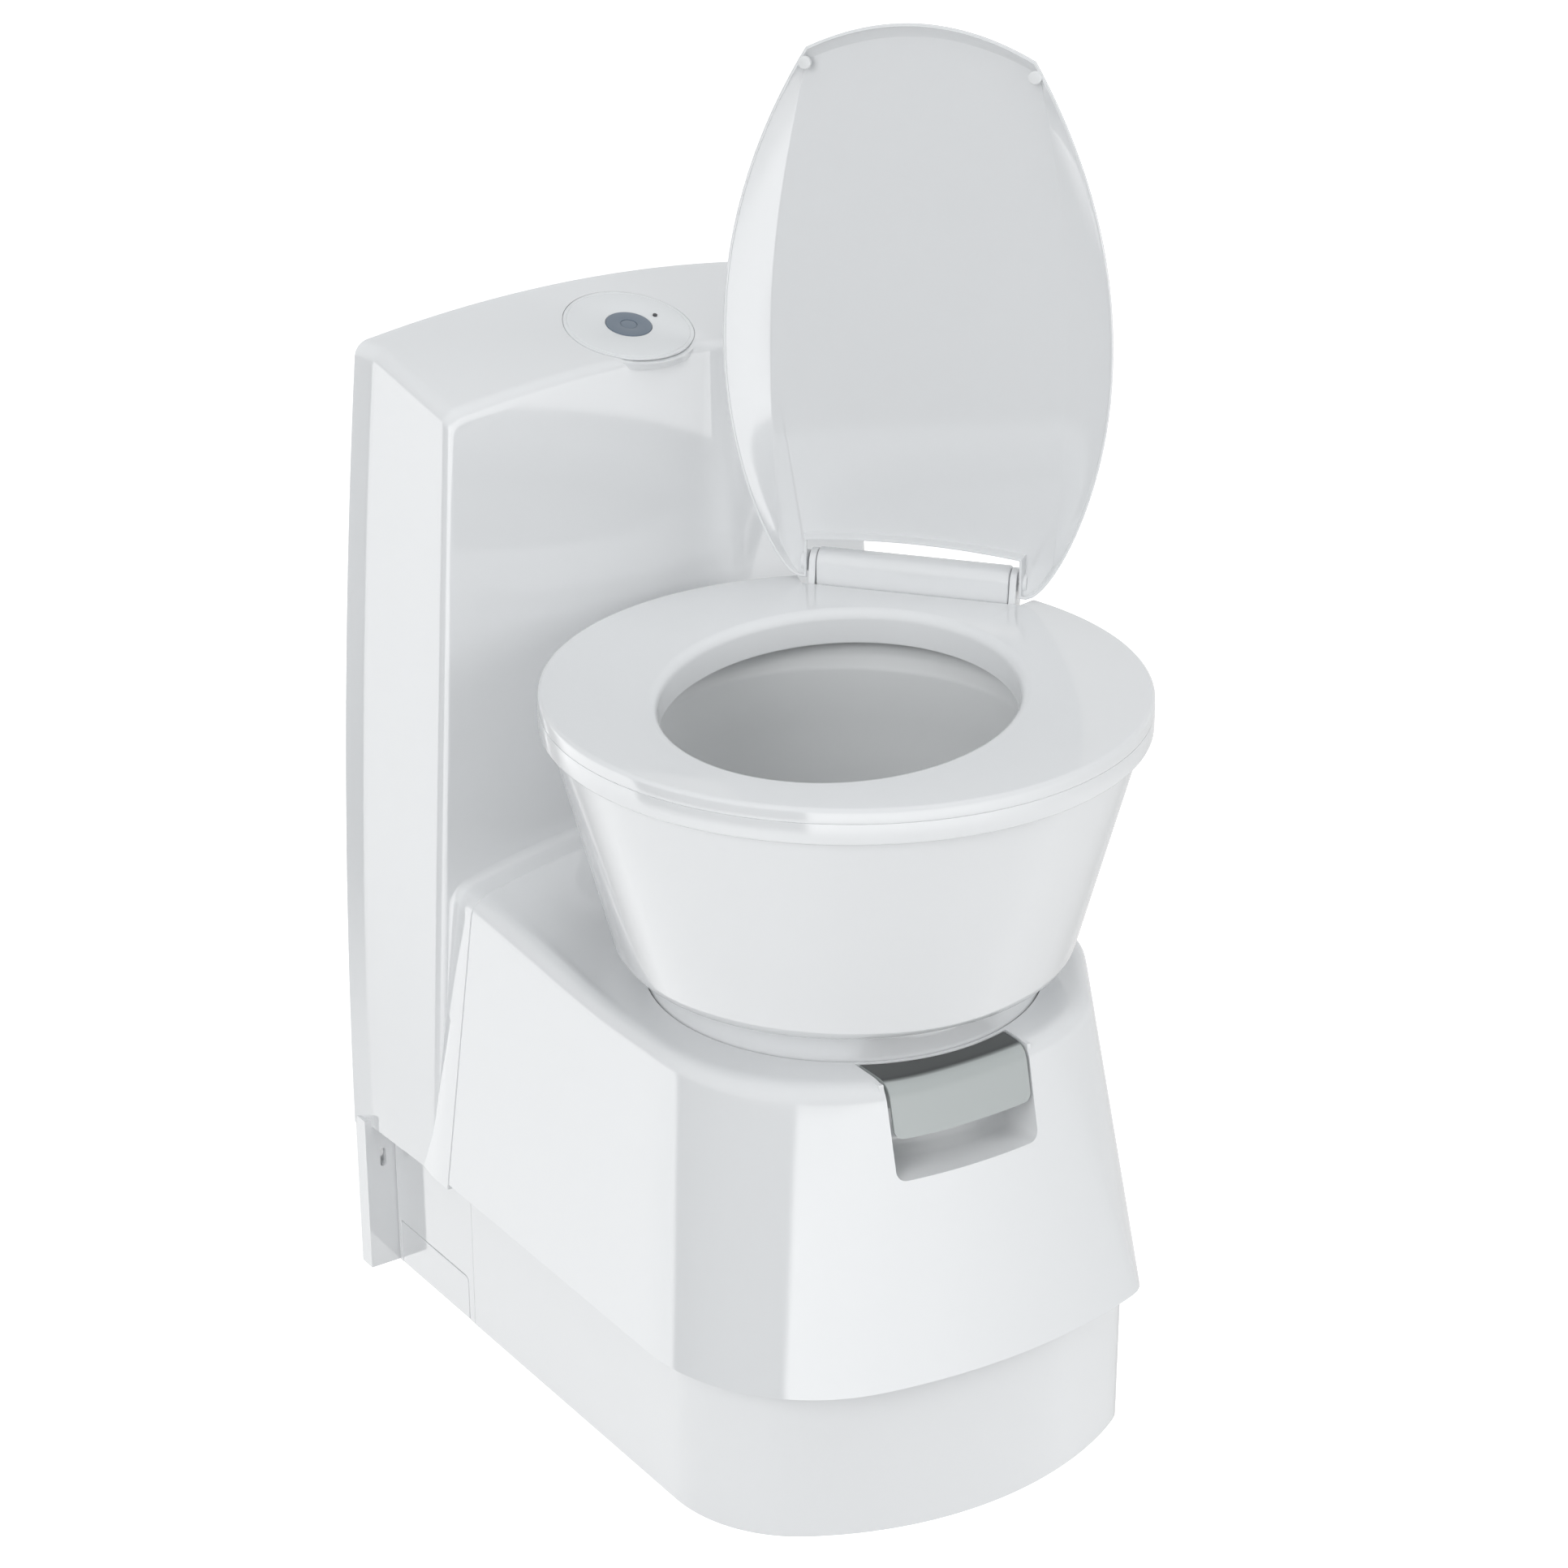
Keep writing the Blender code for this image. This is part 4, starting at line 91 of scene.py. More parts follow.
surround = bpy.data.worlds.new("pale_surround")
surround.use_nodes = True
bpy.context.scene.world = surround
sky = surround.node_tree
sky_light = sky.nodes["Background"]
sky_light.inputs["Color"].default_value = SKY_COLOUR
sky_light.inputs["Strength"].default_value = SKY_STRENGTH

# What the gloss mirrors: bright panels round the toilet with crisp edges and a darker gap between them,
# a bright floor and a plain ceiling. Panels and floor are (bearing in degrees, brightness) pairs; floor
# and ceiling fade in between two heights of the mirrored direction.
PANELS = ((-180, 0.20), (-140, 0.20), (-137, 3.5), (-75, 3.0), (-56, 2.4), (-30, 1.7), (0, 1.2),
          (30, 0.85), (100, 0.85), (110, 2.7), (152, 2.7), (155, 0.20), (180, 0.20))
FLOOR_SIDES = ((-180, 2.3), (-25, 2.3), (25, 0.85), (98, 0.85), (116, 2.3), (180, 2.3))
BRIGHTEST = 4.0
FLOOR_FADE = (-0.37, -0.45)
CEILING_FADE = (-0.01, 0.12)
CEILING_BRIGHT = 1.1


def node(tree, kind, inputs=(), **settings):
    """A new shader node of a kind, with values for some of its inputs and its own settings."""
    made = tree.nodes.new("ShaderNode" + kind)
    for name, value in dict(inputs).items():
        made.inputs[name].default_value = value
    for name, value in settings.items():
        setattr(made, name, value)
    return made


def wire(tree, *links):
    """Connect pairs of an output and the input that it feeds."""
    for out, into in links:
        tree.links.new(out, into)


def fade(low, high):
    """A map range node that runs from 0 to 1 between two values."""
    return node(sky, "MapRange", {"From Min": low, "From Max": high})


def bearing_ramp(stops):
    """A ramp over the full circle from bearings in degrees and brightnesses."""
    ramp = node(sky, "ValToRGB")
    steps = ramp.color_ramp.elements
    while len(steps) < len(stops):
        steps.new(1.0)
    for step, (degrees, bright) in zip(steps, stops):
        step.position = (degrees + 180) / 360
        step.color = (bright / BRIGHTEST, bright / BRIGHTEST, bright / BRIGHTEST, 1.0)
    sky.links.new(around.outputs["Result"], ramp.inputs["Fac"])
    return ramp


facing = node(sky, "TexCoord")
parts = node(sky, "SeparateXYZ")
bearing = node(sky, "Math", operation="ARCTAN2")
around = fade(-math.pi, math.pi)
panels, floor_sides = bearing_ramp(PANELS), bearing_ramp(FLOOR_SIDES)
dip, rise = fade(*FLOOR_FADE), fade(*CEILING_FADE)
seen = node(sky, "Background", {"Color": (1.0, 1.0, 1.0, 1.0)})
mirrored = node(sky, "Background", {"Strength": BRIGHTEST})
floor_seen = node(sky, "Background", {"Strength": BRIGHTEST})
ceiling_seen = node(sky, "Background", {"Strength": CEILING_BRIGHT})
rays = node(sky, "LightPath")
pick_floor, pick_ceiling, pick_gloss, pick_seen = [node(sky, "MixShader") for _ in range(4)]
wire(sky,
     (facing.outputs["Generated"], parts.inputs[0]),
     (parts.outputs["Y"], bearing.inputs[0]),
     (parts.outputs["X"], bearing.inputs[1]),
     (bearing.outputs[0], around.inputs["Value"]),
     (panels.outputs["Color"], mirrored.inputs["Color"]),
     (floor_sides.outputs["Color"], floor_seen.inputs["Color"]),
     (parts.outputs["Z"], dip.inputs["Value"]),
     (parts.outputs["Z"], rise.inputs["Value"]))
for pick, share, first, second in ((pick_floor, dip.outputs["Result"], mirrored, floor_seen),
                                   (pick_ceiling, rise.outputs["Result"], pick_floor, ceiling_seen),
                                   (pick_gloss, rays.outputs["Is Glossy Ray"], sky_light, pick_ceiling),
                                   (pick_seen, rays.outputs["Is Camera Ray"], pick_gloss, seen)):
    wire(sky, (share, pick.inputs[0]), (first.outputs[0], pick.inputs[1]),
         (second.outputs[0], pick.inputs[2]))
wire(sky, (pick_seen.outputs[0], sky.nodes["World Output"].inputs["Surface"]))

# Floor: a plain white studio floor. Its own light for the camera brings it up to paper white and
# leaves a faint shadow under the toilet.
FLOOR_HALF = 14.0
PAPER_TONE = (0.62, 0.62, 0.62, 1.0)
PAPER_ROUGHNESS = 0.9
PAPER_SHINE = 0.1
PAPER_GLOW = 0.85

floor_mesh = bpy.data.meshes.new("studio_floor")
floor_mesh.from_pydata([(-FLOOR_HALF, -FLOOR_HALF, 0), (FLOOR_HALF, -FLOOR_HALF, 0),
                        (FLOOR_HALF, FLOOR_HALF, 0), (-FLOOR_HALF, FLOOR_HALF, 0)], [], [(0, 1, 2, 3)])
studio_floor = placed("studio_floor", floor_mesh)
paper = bpy.data.materials.new("white_floor")
paper.use_nodes = True
paper_nodes = paper.node_tree
paper_base = paper_nodes.nodes["Principled BSDF"]
paper_base.inputs["Base Color"].default_value = PAPER_TONE
paper_base.inputs["Roughness"].default_value = PAPER_ROUGHNESS
paper_base.inputs["Specular IOR Level"].default_value = PAPER_SHINE
paper_glow = node(paper_nodes, "Emission")
paper_rays = node(paper_nodes, "LightPath")
paper_share = node(paper_nodes, "Math", {1: PAPER_GLOW}, operation="MULTIPLY")
paper_sum = node(paper_nodes, "AddShader")
wire(paper_nodes,
     (paper_rays.outputs["Is Camera Ray"], paper_share.inputs[0]),
     (paper_share.outputs[0], paper_glow.inputs["Strength"]),
     (paper_base.outputs[0], paper_sum.inputs[0]),
     (paper_glow.outputs[0], paper_sum.inputs[1]),
     (paper_sum.outputs[0], paper_nodes.nodes["Material Output"].inputs["Surface"]))
floor_mesh.materials.append(paper)
studio_floor.visible_glossy = False

# Bowl shell: the outer bowl is one thin injection-moulded wall of glossy white plastic: a short upright
# neck that turns in the hood, a rounded foot and a flared cone whose rim hides under the seat.
SWIVEL_Y = -0.100
BOWL_TURN = math.radians(-50.4)
WALL = 0.003
NECK_RADIUS = 0.1335
NECK_LOW_Z = 0.299
BOWL_UNDER_Z = 0.3441
BOWL_RIM_Z = 0.5036
BOWL_RIM_RADIUS = 0.1946
CONE_FOOT_RADIUS = 0.1537
RIM_ROUND = 0.001
FOOT_ROUND = 0.021
NECK_ROUND = 0.0012
INNER_FOOT_ROUND = 0.018
BOWL_STEPS = 160
WELD = 0.00001
MOST_OF_A_LEG = 0.49
SHARP_DEG = 32.0


def bend_corners(corners, radii, steps=6):
    """A profile through corner points, each rounded by a circle of its own radius that touches both of
    its legs; a radius too large for a leg shrinks to fit it."""
    points = []
    count = len(corners)
    for i in range(count):
        here = np.array(corners[i], float)
        radius = radii[i]
        if radius == 0 or i in (0, count - 1):
            points.append(here)
            continue
        back = np.array(corners[i - 1], float) - here
        ahead = np.array(corners[i + 1], float) - here
        back_length = np.linalg.norm(back)
        ahead_length = np.linalg.norm(ahead)
        back = back / back_length
        ahead = ahead / ahead_length
        half = math.acos(float(np.clip(back @ ahead, -1, 1))) / 2
        reach = min(radius / math.tan(half), back_length * MOST_OF_A_LEG, ahead_length * MOST_OF_A_LEG)
        radius = reach * math.tan(half)
        centre = here + (back + ahead) / np.linalg.norm(back + ahead) * radius / math.sin(half)
        start = here + back * reach - centre
        end = here + ahead * reach - centre
        turn = math.atan2(start[0] * end[1] - start[1] * end[0], float(start @ end))
        for angle in np.linspace(0, turn, steps + 1):
            spin = np.array([[math.cos(angle), -math.sin(angle)], [math.sin(angle), math.cos(angle)]])
            points.append(centre + spin @ start)
    return np.array(points)


def level(outline, height):
    """A flat outline given a third coordinate, the same for every point."""
    return np.column_stack([outline, np.full(len(outline), height)])


def turn_profile(profile, steps=BOWL_STEPS):
    """Grid of a profile of radii and heights turned about Z: x = r cos a, y = r sin a."""
    angle = np.linspace(0, 2 * math.pi, steps, endpoint=False)[:, None]
    radius = profile[None, :, 0]
    return np.stack([radius * np.cos(angle), radius * np.sin(angle),
                     np.broadcast_to(profile[None, :, 1], (steps, len(profile)))], axis=2)


def on_bowl(points):
    """Bowl coordinates, with the axis at the origin, turned and moved to the bowl's place."""
    x, y, z = np.moveaxis(points, -1, 0)
    cos, sin = math.cos(BOWL_TURN), math.sin(BOWL_TURN)
    return np.stack([x * cos - y * sin, x * sin + y * cos + SWIVEL_Y, z], axis=-1)


def grid_faces(rows, columns, around_rows, around_columns):
    """Quads between neighbouring rows and columns of a grid, which may close on itself either way."""
    i = np.arange(rows if around_rows else rows - 1)[:, None]
    j = np.arange(columns if around_columns else columns - 1)[None, :]
    after_i = (i + 1) % rows
    after_j = (j + 1) % columns
    quads = np.stack([i * columns + j, i * columns + after_j, after_i * columns + after_j,
                      after_i * columns + j], axis=-1)
    return quads.reshape(-1, 4)


STACK = (False, True, True)
RING = (True, True, False)


def closed_mesh(name, sheets):
    """A merged mesh from grids of points. Each sheet is (grid, kind). A kind says whether the grid closes
    along its rows, closes along its columns and is capped at both row ends: a stack of outlines with two
    caps, or a ring closed both ways. Every sheet ends as a closed skin whose faces point outwards."""
    places = []
    faces = []
    start = 0
    for grid, (around_rows, around_columns, capped) in sheets:
        rows, columns = grid.shape[:2]
        places.append(grid.reshape(-1, 3))
        faces += (grid_faces(rows, columns, around_rows, around_columns) + start).tolist()
        if capped:
            faces.append(list(range(start, start + columns)))
            last = start + (rows - 1) * columns
            faces.append(list(range(last + columns - 1, last - 1, -1)))
        start += rows * columns
    mesh = bpy.data.meshes.new(name)
    mesh.from_pydata(np.concatenate(places).tolist(), [], faces)
    work = bmesh.new()
    work.from_mesh(mesh)
    bmesh.ops.remove_doubles(work, verts=work.verts, dist=WELD)
    bmesh.ops.recalc_face_normals(work, faces=work.faces)
    work.to_mesh(mesh)
    work.free()
    return mesh


def finished(name, meshes, body, finish, slot, stands_for, sharp_deg=SHARP_DEG):
    """One object from closed meshes, smooth but for its sharp edges."""
    work = bmesh.new()
    for mesh in meshes:
        work.from_mesh(mesh)
    bmesh.ops.recalc_face_normals(work, faces=work.faces)
    whole = bpy.data.meshes.new(name)
    work.to_mesh(whole)
    work.free()
    whole.shade_smooth()
    whole.set_sharp_from_angle(angle=math.radians(sharp_deg))
    whole.materials.clear()
    whole.materials.append(finish)
    made = placed(name, whole)
    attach(made, body)
    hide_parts(*stands_for)


def surface(name, sheets, body, finish, slot, stands_for, sharp_deg=SHARP_DEG):
    """One object straight from its sheets of points."""
    finished(name, [closed_mesh(name, sheets)], body, finish, slot, stands_for, sharp_deg)


CLOUD_SCALE = 9.0
CLOUD_DETAIL = 3.0
GLOSS_SPREAD = 0.12
GRAIN_SCALE = 1400.0


def plastic(name, colour, roughness, ripple=0.00002, ripple_scale=60.0, speck=0.010, shine=0.5, grain=0.0):
    """Moulded plastic: a faint cloudiness in the colour, uneven gloss, and the low ripple or fine grain
    that the mould leaves in the skin."""
    made = bpy.data.materials.new(name)
    made.use_nodes = True
    tree = made.node_tree
    shader = tree.nodes["Principled BSDF"]
    place = node(tree, "TexCoord").outputs["Object"]
    cloud = node(tree, "TexNoise", {"Scale": CLOUD_SCALE, "Detail": CLOUD_DETAIL})
    tint = node(tree, "MapRange", {"To Min": 1.0 - speck, "To Max": 1.0 + speck})
    shade = node(tree, "VectorMath", {0: colour}, operation="SCALE")
    gloss = node(tree, "MapRange", {"To Min": roughness * (1 - GLOSS_SPREAD),
                                    "To Max": roughness * (1 + GLOSS_SPREAD)})
    skin = node(tree, "TexNoise", {"Scale": ripple_scale, "Detail": 2.0})
    fine = node(tree, "TexNoise", {"Scale": GRAIN_SCALE, "Detail": 1.0})
    raise_skin = node(tree, "Bump", {"Strength": 1.0, "Distance": ripple})
    raise_grain = node(tree, "Bump", {"Strength": 1.0, "Distance": grain})
    wire(tree,
         *[(place, noise.inputs["Vector"]) for noise in (cloud, skin, fine)],
         (cloud.outputs["Fac"], tint.inputs["Value"]),
         (tint.outputs["Result"], shade.inputs["Scale"]),
         (shade.outputs["Vector"], shader.inputs["Base Color"]),
         (cloud.outputs["Fac"], gloss.inputs["Value"]),
         (gloss.outputs["Result"], shader.inputs["Roughness"]),
         (skin.outputs["Fac"], raise_skin.inputs["Height"]),
         (fine.outputs["Fac"], raise_grain.inputs["Height"]),
         (raise_skin.outputs["Normal"], raise_grain.inputs["Normal"]),
         (raise_grain.outputs["Normal"], shader.inputs["Normal"]))
    shader.inputs["Specular IOR Level"].default_value = shine
    return made


white_gloss = plastic("white_gloss", (0.80, 0.81, 0.82), 0.07, shine=0.75)
WHITE = (white_gloss, "white_shell")

outer = bend_corners(
    [(BOWL_RIM_RADIUS - WALL, BOWL_RIM_Z), (BOWL_RIM_RADIUS, BOWL_RIM_Z),
     (CONE_FOOT_RADIUS, BOWL_UNDER_Z), (NECK_RADIUS, BOWL_UNDER_Z), (NECK_RADIUS, NECK_LOW_Z)],
    [0, RIM_ROUND, FOOT_ROUND, NECK_ROUND, 0])
inner = bend_corners(
    [(NECK_RADIUS - WALL, NECK_LOW_Z), (NECK_RADIUS - WALL, BOWL_UNDER_Z + WALL),
     (CONE_FOOT_RADIUS - WALL, BOWL_UNDER_Z + WALL), (BOWL_RIM_RADIUS - WALL, BOWL_RIM_Z)],
    [0, 0, INNER_FOOT_ROUND, 0])
shell_profile = np.concatenate([outer, inner[:-1]])
surface("bowl_outer_shell", [(on_bowl(turn_profile(shell_profile)), RING)], "bowl", *WHITE,
        ["bowl_shell"])

# Bowl inlay: the inner bowl is a second moulding, a little less glossy than the shell, dropped into the
# shell;
# its colour is painted greyer than the shell's as painted shade for the shade inside the bowl. Its rim
# slopes in under the seat, the basin narrows to a round drain, and the drain tube ends over the waste
# valve.
DRAIN_RADIUS = 0.053
DRAIN_WALL = 0.003
DRAIN_LOW_Z = 0.2865
BASIN_FLOOR_Z = 0.347
BASIN_GAP = 0.0004
BASIN_WALL = ((0.1400, 0.4995), (0.1305, 0.486), (0.1270, 0.440), (0.1150, 0.3960), (0.0845, 0.3640))
DRAIN_LIP_Z = 0.3410
BASIN_ROUNDS = (0, 0.02, 0.008, 0.10, 0.06, 0.08, 0.004, 0.002, 0)

# Painted shade: the inlay's greyer colour stands in for the shade inside the bowl.
bowl_plastic = plastic("bowl_plastic", (0.70, 0.71, 0.715), 0.10)

basin = bend_corners(
    [(BOWL_RIM_RADIUS - WALL - BASIN_GAP, BOWL_RIM_Z), *BASIN_WALL, (DRAIN_RADIUS, BASIN_FLOOR_Z),
     (DRAIN_RADIUS - DRAIN_WALL, DRAIN_LIP_Z), (DRAIN_RADIUS - DRAIN_WALL, DRAIN_LOW_Z)],
    BASIN_ROUNDS, steps=8)
under = basin[::-1] + np.array([0.0, -DRAIN_WALL])
under = under[under[:, 0] > DRAIN_RADIUS + DRAIN_WALL / 3]
inlay_profile = np.concatenate([basin, [(DRAIN_RADIUS, DRAIN_LOW_Z)], [(DRAIN_RADIUS, under[0, 1])], under])
surface("bowl_inner_basin", [(on_bowl(turn_profile(inlay_profile)), RING)], "bowl", bowl_plastic,
        "bowl_plastic", ["bowl_inlay"])

# Seat: one thick glossy ring with an oval hole that sits forward of its middle. Its rear is cut straight
# for the hinge block, and two thin ears reach back to the pin.
SEAT_RADIUS = 0.2013
SEAT_LOW_Z = 0.5047
SEAT_TOP_Z = 0.529
SEAM_LINE_Z = 0.5195
SEAT_HOLE_HALF_X = 0.1158
SEAT_HOLE_HALF_Y = 0.1440
SEAT_HOLE_FORWARD = 0.0135
SEAT_CUT_Y = 0.1695
SEAT_CUT_HALF = 0.0854
HINGE_BACK = 0.181
HINGE_Z = 0.541
EAR_INNER_X = 0.0691
EAR_OUTER_X = 0.0739
EAR_RADIUS = 0.0095
EAR_FOOT_RISE = 0.006
EAR_FRONT = 0.003
EAR_BACK = 0.0025
SLAB_EDGE = 0.0006
SEAT_DEPTH = 0.015
SEAM_HALF = 0.0002
SEAM_DEPTH = 0.0005
SEAT_TOP_DRAW = 0.0004
SEAT_LOW_ROUND = 0.0020
SEAM_ROUND = 0.0001
SEAT_TOP_ROUND = 0.0032
SEAT_HOLE_ROUND = 0.0105
SEAT_HOLE_LOW_ROUND = 0.0015
SEAT_CUT_BLEND = 0.0012
NEAR_CORNER = 0.03
LEAST_LEAN = 0.2
TINY = 1e-9


def eased(share):
    """Smooth step from 0 to 1: 3 s^2 - 2 s^3, held at both ends."""
    share = np.clip(share, 0.0, 1.0)
    return share * share * (3 - 2 * share)


def seat_grid():
    """Grid round the bowl's axis. Each section starts on the hole's ellipse,
    (x / a)^2 + ((y + f) / b)^2 = 1, met along the ray, and ends on the outer circle or, behind, on the
    straight cut. Its rounded corners keep their real size."""
    corner = math.acos(SEAT_CUT_HALF / SEAT_RADIUS)
    near = np.concatenate([np.linspace(corner - NEAR_CORNER, corner + NEAR_CORNER, 40),
                           np.linspace(math.pi - corner - NEAR_CORNER, math.pi - corner + NEAR_CORNER, 40)])
    angle = np.unique(np.concatenate([np.linspace(0, 2 * math.pi, 220, endpoint=False), near]))
    ray = np.stack([np.cos(angle), np.sin(angle)], axis=1)
    bent = (ray[:, 0] / SEAT_HOLE_HALF_X) ** 2 + (ray[:, 1] / SEAT_HOLE_HALF_Y) ** 2
    along = -ray[:, 1] * SEAT_HOLE_FORWARD / SEAT_HOLE_HALF_Y ** 2
    hole = (along + np.sqrt(along ** 2 + bent * (1 - (SEAT_HOLE_FORWARD / SEAT_HOLE_HALF_Y) ** 2))) / bent
    straight = SEAT_CUT_Y / np.maximum(ray[:, 1], LEAST_LEAN)
    beside = (np.abs(ray[:, 0]) * SEAT_RADIUS - SEAT_CUT_HALF) / SEAT_CUT_BLEND + 0.5
    behind = (1 - eased(beside)) * (ray[:, 1] > 0)
    rim = SEAT_RADIUS + (straight - SEAT_RADIUS) * behind
    low_line, high_line = SEAM_LINE_Z - SEAM_HALF, SEAM_LINE_Z + SEAM_HALF
    outside = bend_corners(
        [(SEAT_DEPTH, SEAT_LOW_Z), (0.0, SEAT_LOW_Z), (0.0, low_line), (SEAM_DEPTH, low_line),
         (SEAM_DEPTH, high_line), (0.0, high_line), (SEAT_TOP_DRAW, SEAT_TOP_Z), (SEAT_DEPTH, SEAT_TOP_Z)],
        [0, SEAT_LOW_ROUND, *[SEAM_ROUND] * 4, SEAT_TOP_ROUND, 0], steps=6)
    inside = bend_corners(
        [(SEAT_DEPTH, SEAT_TOP_Z), (0.0, SEAT_TOP_Z), (0.0, SEAT_LOW_Z), (SEAT_DEPTH, SEAT_LOW_Z)],
        [0, SEAT_HOLE_ROUND, SEAT_HOLE_LOW_ROUND, 0], steps=9)
    radial = np.concatenate([rim[:, None] - outside[None, :-1, 0], hole[:, None] + inside[None, 1:, 0]],
                            axis=1)
    height = np.concatenate([outside[:-1, 1], inside[1:, 1]])
    return np.stack([radial * ray[:, :1], radial * ray[:, 1:], np.broadcast_to(height, radial.shape)],
                    axis=2)


def offset_ring(ring, distance):
    """A closed outline moved inwards by a distance along the mean of its neighbouring edge normals."""
    before = ring - np.roll(ring, 1, axis=0)
    after = np.roll(ring, -1, axis=0) - ring
    before = before / np.maximum(np.linalg.norm(before, axis=1, keepdims=True), TINY)
    after = after / np.maximum(np.linalg.norm(after, axis=1, keepdims=True), TINY)
    along = before + after
    along = along / np.maximum(np.linalg.norm(along, axis=1, keepdims=True), TINY)
    inwards = np.stack([-along[:, 1], along[:, 0]], axis=1)
    area = np.sum(ring[:, 0] * np.roll(ring[:, 1], -1) - np.roll(ring[:, 0], -1) * ring[:, 1])
    miter = np.maximum(np.sum(along * after, axis=1, keepdims=True), 0.5)
    return ring + inwards * (math.copysign(distance, area) / miter)


def rounded_slab(outline, low, high, edge, steps=3):
    """Grid of an outline carried from low to high, with its two end edges rounded by quarter circles."""
    turn = np.linspace(0, math.pi / 2, steps + 1)
    insets = edge * (1 - np.sin(turn))
    depths = edge * (1 - np.cos(turn))
    inset = np.concatenate([insets, insets[::-1]])
    depth = np.concatenate([low + depths, high - depths[::-1]])
    return np.stack([level(offset_ring(outline, i), d) for i, d in zip(inset, depth)])


def round_outline(centre, radius, steps=40):
    angle = np.linspace(0, 2 * math.pi, steps, endpoint=False)
    return np.stack([centre[0] + radius * np.cos(angle), centre[1] + radius * np.sin(angle)], axis=1)


def across_bowl(grid):
    """A slab drawn as (y, z, x) in bowl coordinates, put in its place."""
    return on_bowl(np.stack([grid[..., 2], grid[..., 0], grid[..., 1]], axis=-1))


ear_arc = np.linspace(math.radians(162), math.radians(-28), 16)
ear_outline = np.concatenate([
    [(SEAT_CUT_Y - EAR_FRONT, SEAT_LOW_Z + EAR_FOOT_RISE)],
    np.stack([HINGE_BACK + EAR_RADIUS * np.cos(ear_arc), HINGE_Z + EAR_RADIUS * np.sin(ear_arc)], axis=1),
    [(HINGE_BACK + EAR_BACK, SEAT_LOW_Z + EAR_FOOT_RISE)]])
ears = [(across_bowl(rounded_slab(ear_outline, side_low, side_high, SLAB_EDGE)), STACK)
        for side_low, side_high in ((-EAR_OUTER_X, -EAR_INNER_X), (EAR_INNER_X, EAR_OUTER_X))]
surface("seat_ring", [(on_bowl(seat_grid()), RING)] + ears, "seat", *WHITE, ["seat"])

# Hinge block: a rounded bar moulded behind the rim. A steel pin runs through it, the seat's ears and the
# lid's lugs; only the pin's ends show.
BLOCK_HALF = 0.0685
BLOCK_RADIUS = 0.0105
BLOCK_EDGE = 0.0016
BLOCK_GAP = 0.0003
BLOCK_BACK = 0.0073
BLOCK_WAIST = 0.006

block_arc = np.linspace(math.radians(180), 0, 20)
block_outline = np.concatenate([
    [(HINGE_BACK - BLOCK_RADIUS + BLOCK_GAP, BOWL_RIM_Z + BLOCK_GAP)],
    np.stack([HINGE_BACK + BLOCK_RADIUS * np.cos(block_arc), HINGE_Z + BLOCK_RADIUS * np.sin(block_arc)],
             axis=1),
    [(HINGE_BACK + BLOCK_BACK, HINGE_Z - BLOCK_WAIST), (HINGE_BACK + BLOCK_BACK, BOWL_RIM_Z + BLOCK_GAP)]])
block_grid = across_bowl(rounded_slab(block_outline, -BLOCK_HALF, BLOCK_HALF, BLOCK_EDGE))
surface("hinge_bar", [(block_grid, STACK)], "bowl", *WHITE, ["hinge_block"])

# Lid: a thin dished panel. A narrow lip runs round its edge and round the hinge notch, flanks slope from
# the lip down to a flat field, and two lugs hold it on the pin.
LID_PLANE = 0.172
LID_LOW_Z = 0.5312
LID_HEIGHT = 0.392
LID_TOP_RISE = 0.020
LID_FOOT_HALF = 0.081
LID_WIDEST_HALF = 0.1355
LID_TOP_HALF = 0.0775
LID_WIDEST_SHARE = 0.45
LID_FIELD_HALF = 0.102
LID_DISH = 0.0075
LID_SKIN = 0.0022
NOTCH_HALF = 0.0756
NOTCH_TOP = 0.0275
NOTCH_ARCH = 0.0045
NOTCH_FRAME = 0.0030
NOTCH_FADE = 0.012
SWELL_POWER = 0.62
TAPER_POWER = 2.1
ROW_POWER = 1.25
FIELD_TAPERS = (0.23, 0.086)
FIELD_MARGIN = 0.010
FLANK_LEAST = 0.0044
FLANK_STEP = 0.0002
FIELD_RISE = 0.022
LIP_INSET = 0.0022
LIP_ROUND = ((0.0020, 0.0009), (0.0018, 0.0002), (0.0013, 0.0), (0.0006, 0.0), (0.0001, 0.0004),
             (0.0, 0.0012), (0.0001, 0.0021), (0.0006, 0.0030))
FLANK_ROWS = ((1.0, 0.0, 1.0), (0.955, 0.000054, 0.93), (0.52, 0.000576, 0.50), (0.08, 0.001196, 0.06))
BACK_INSET = 0.0010
BACK_LOW = 0.0032
LUG_RADIUS = 0.0075
LUG_OUTER_X = 0.0806
LID_SHARP_DEG = 24.0


def lid_half(up):
    """Half the lid's width at a share of its height: a sine swell below the widest line, a taper above."""
    swell = np.sin(math.pi / 2 * np.clip(up / LID_WIDEST_SHARE, 0, 1)) ** SWELL_POWER
    beyond = np.clip((up - LID_WIDEST_SHARE) / (1 - LID_WIDEST_SHARE), 0, 1)
    return np.where(up <= LID_WIDEST_SHARE, LID_FOOT_HALF + (LID_WIDEST_HALF - LID_FOOT_HALF) * swell,
                    LID_WIDEST_HALF + (LID_TOP_HALF - LID_WIDEST_HALF) * beyond ** TAPER_POWER)


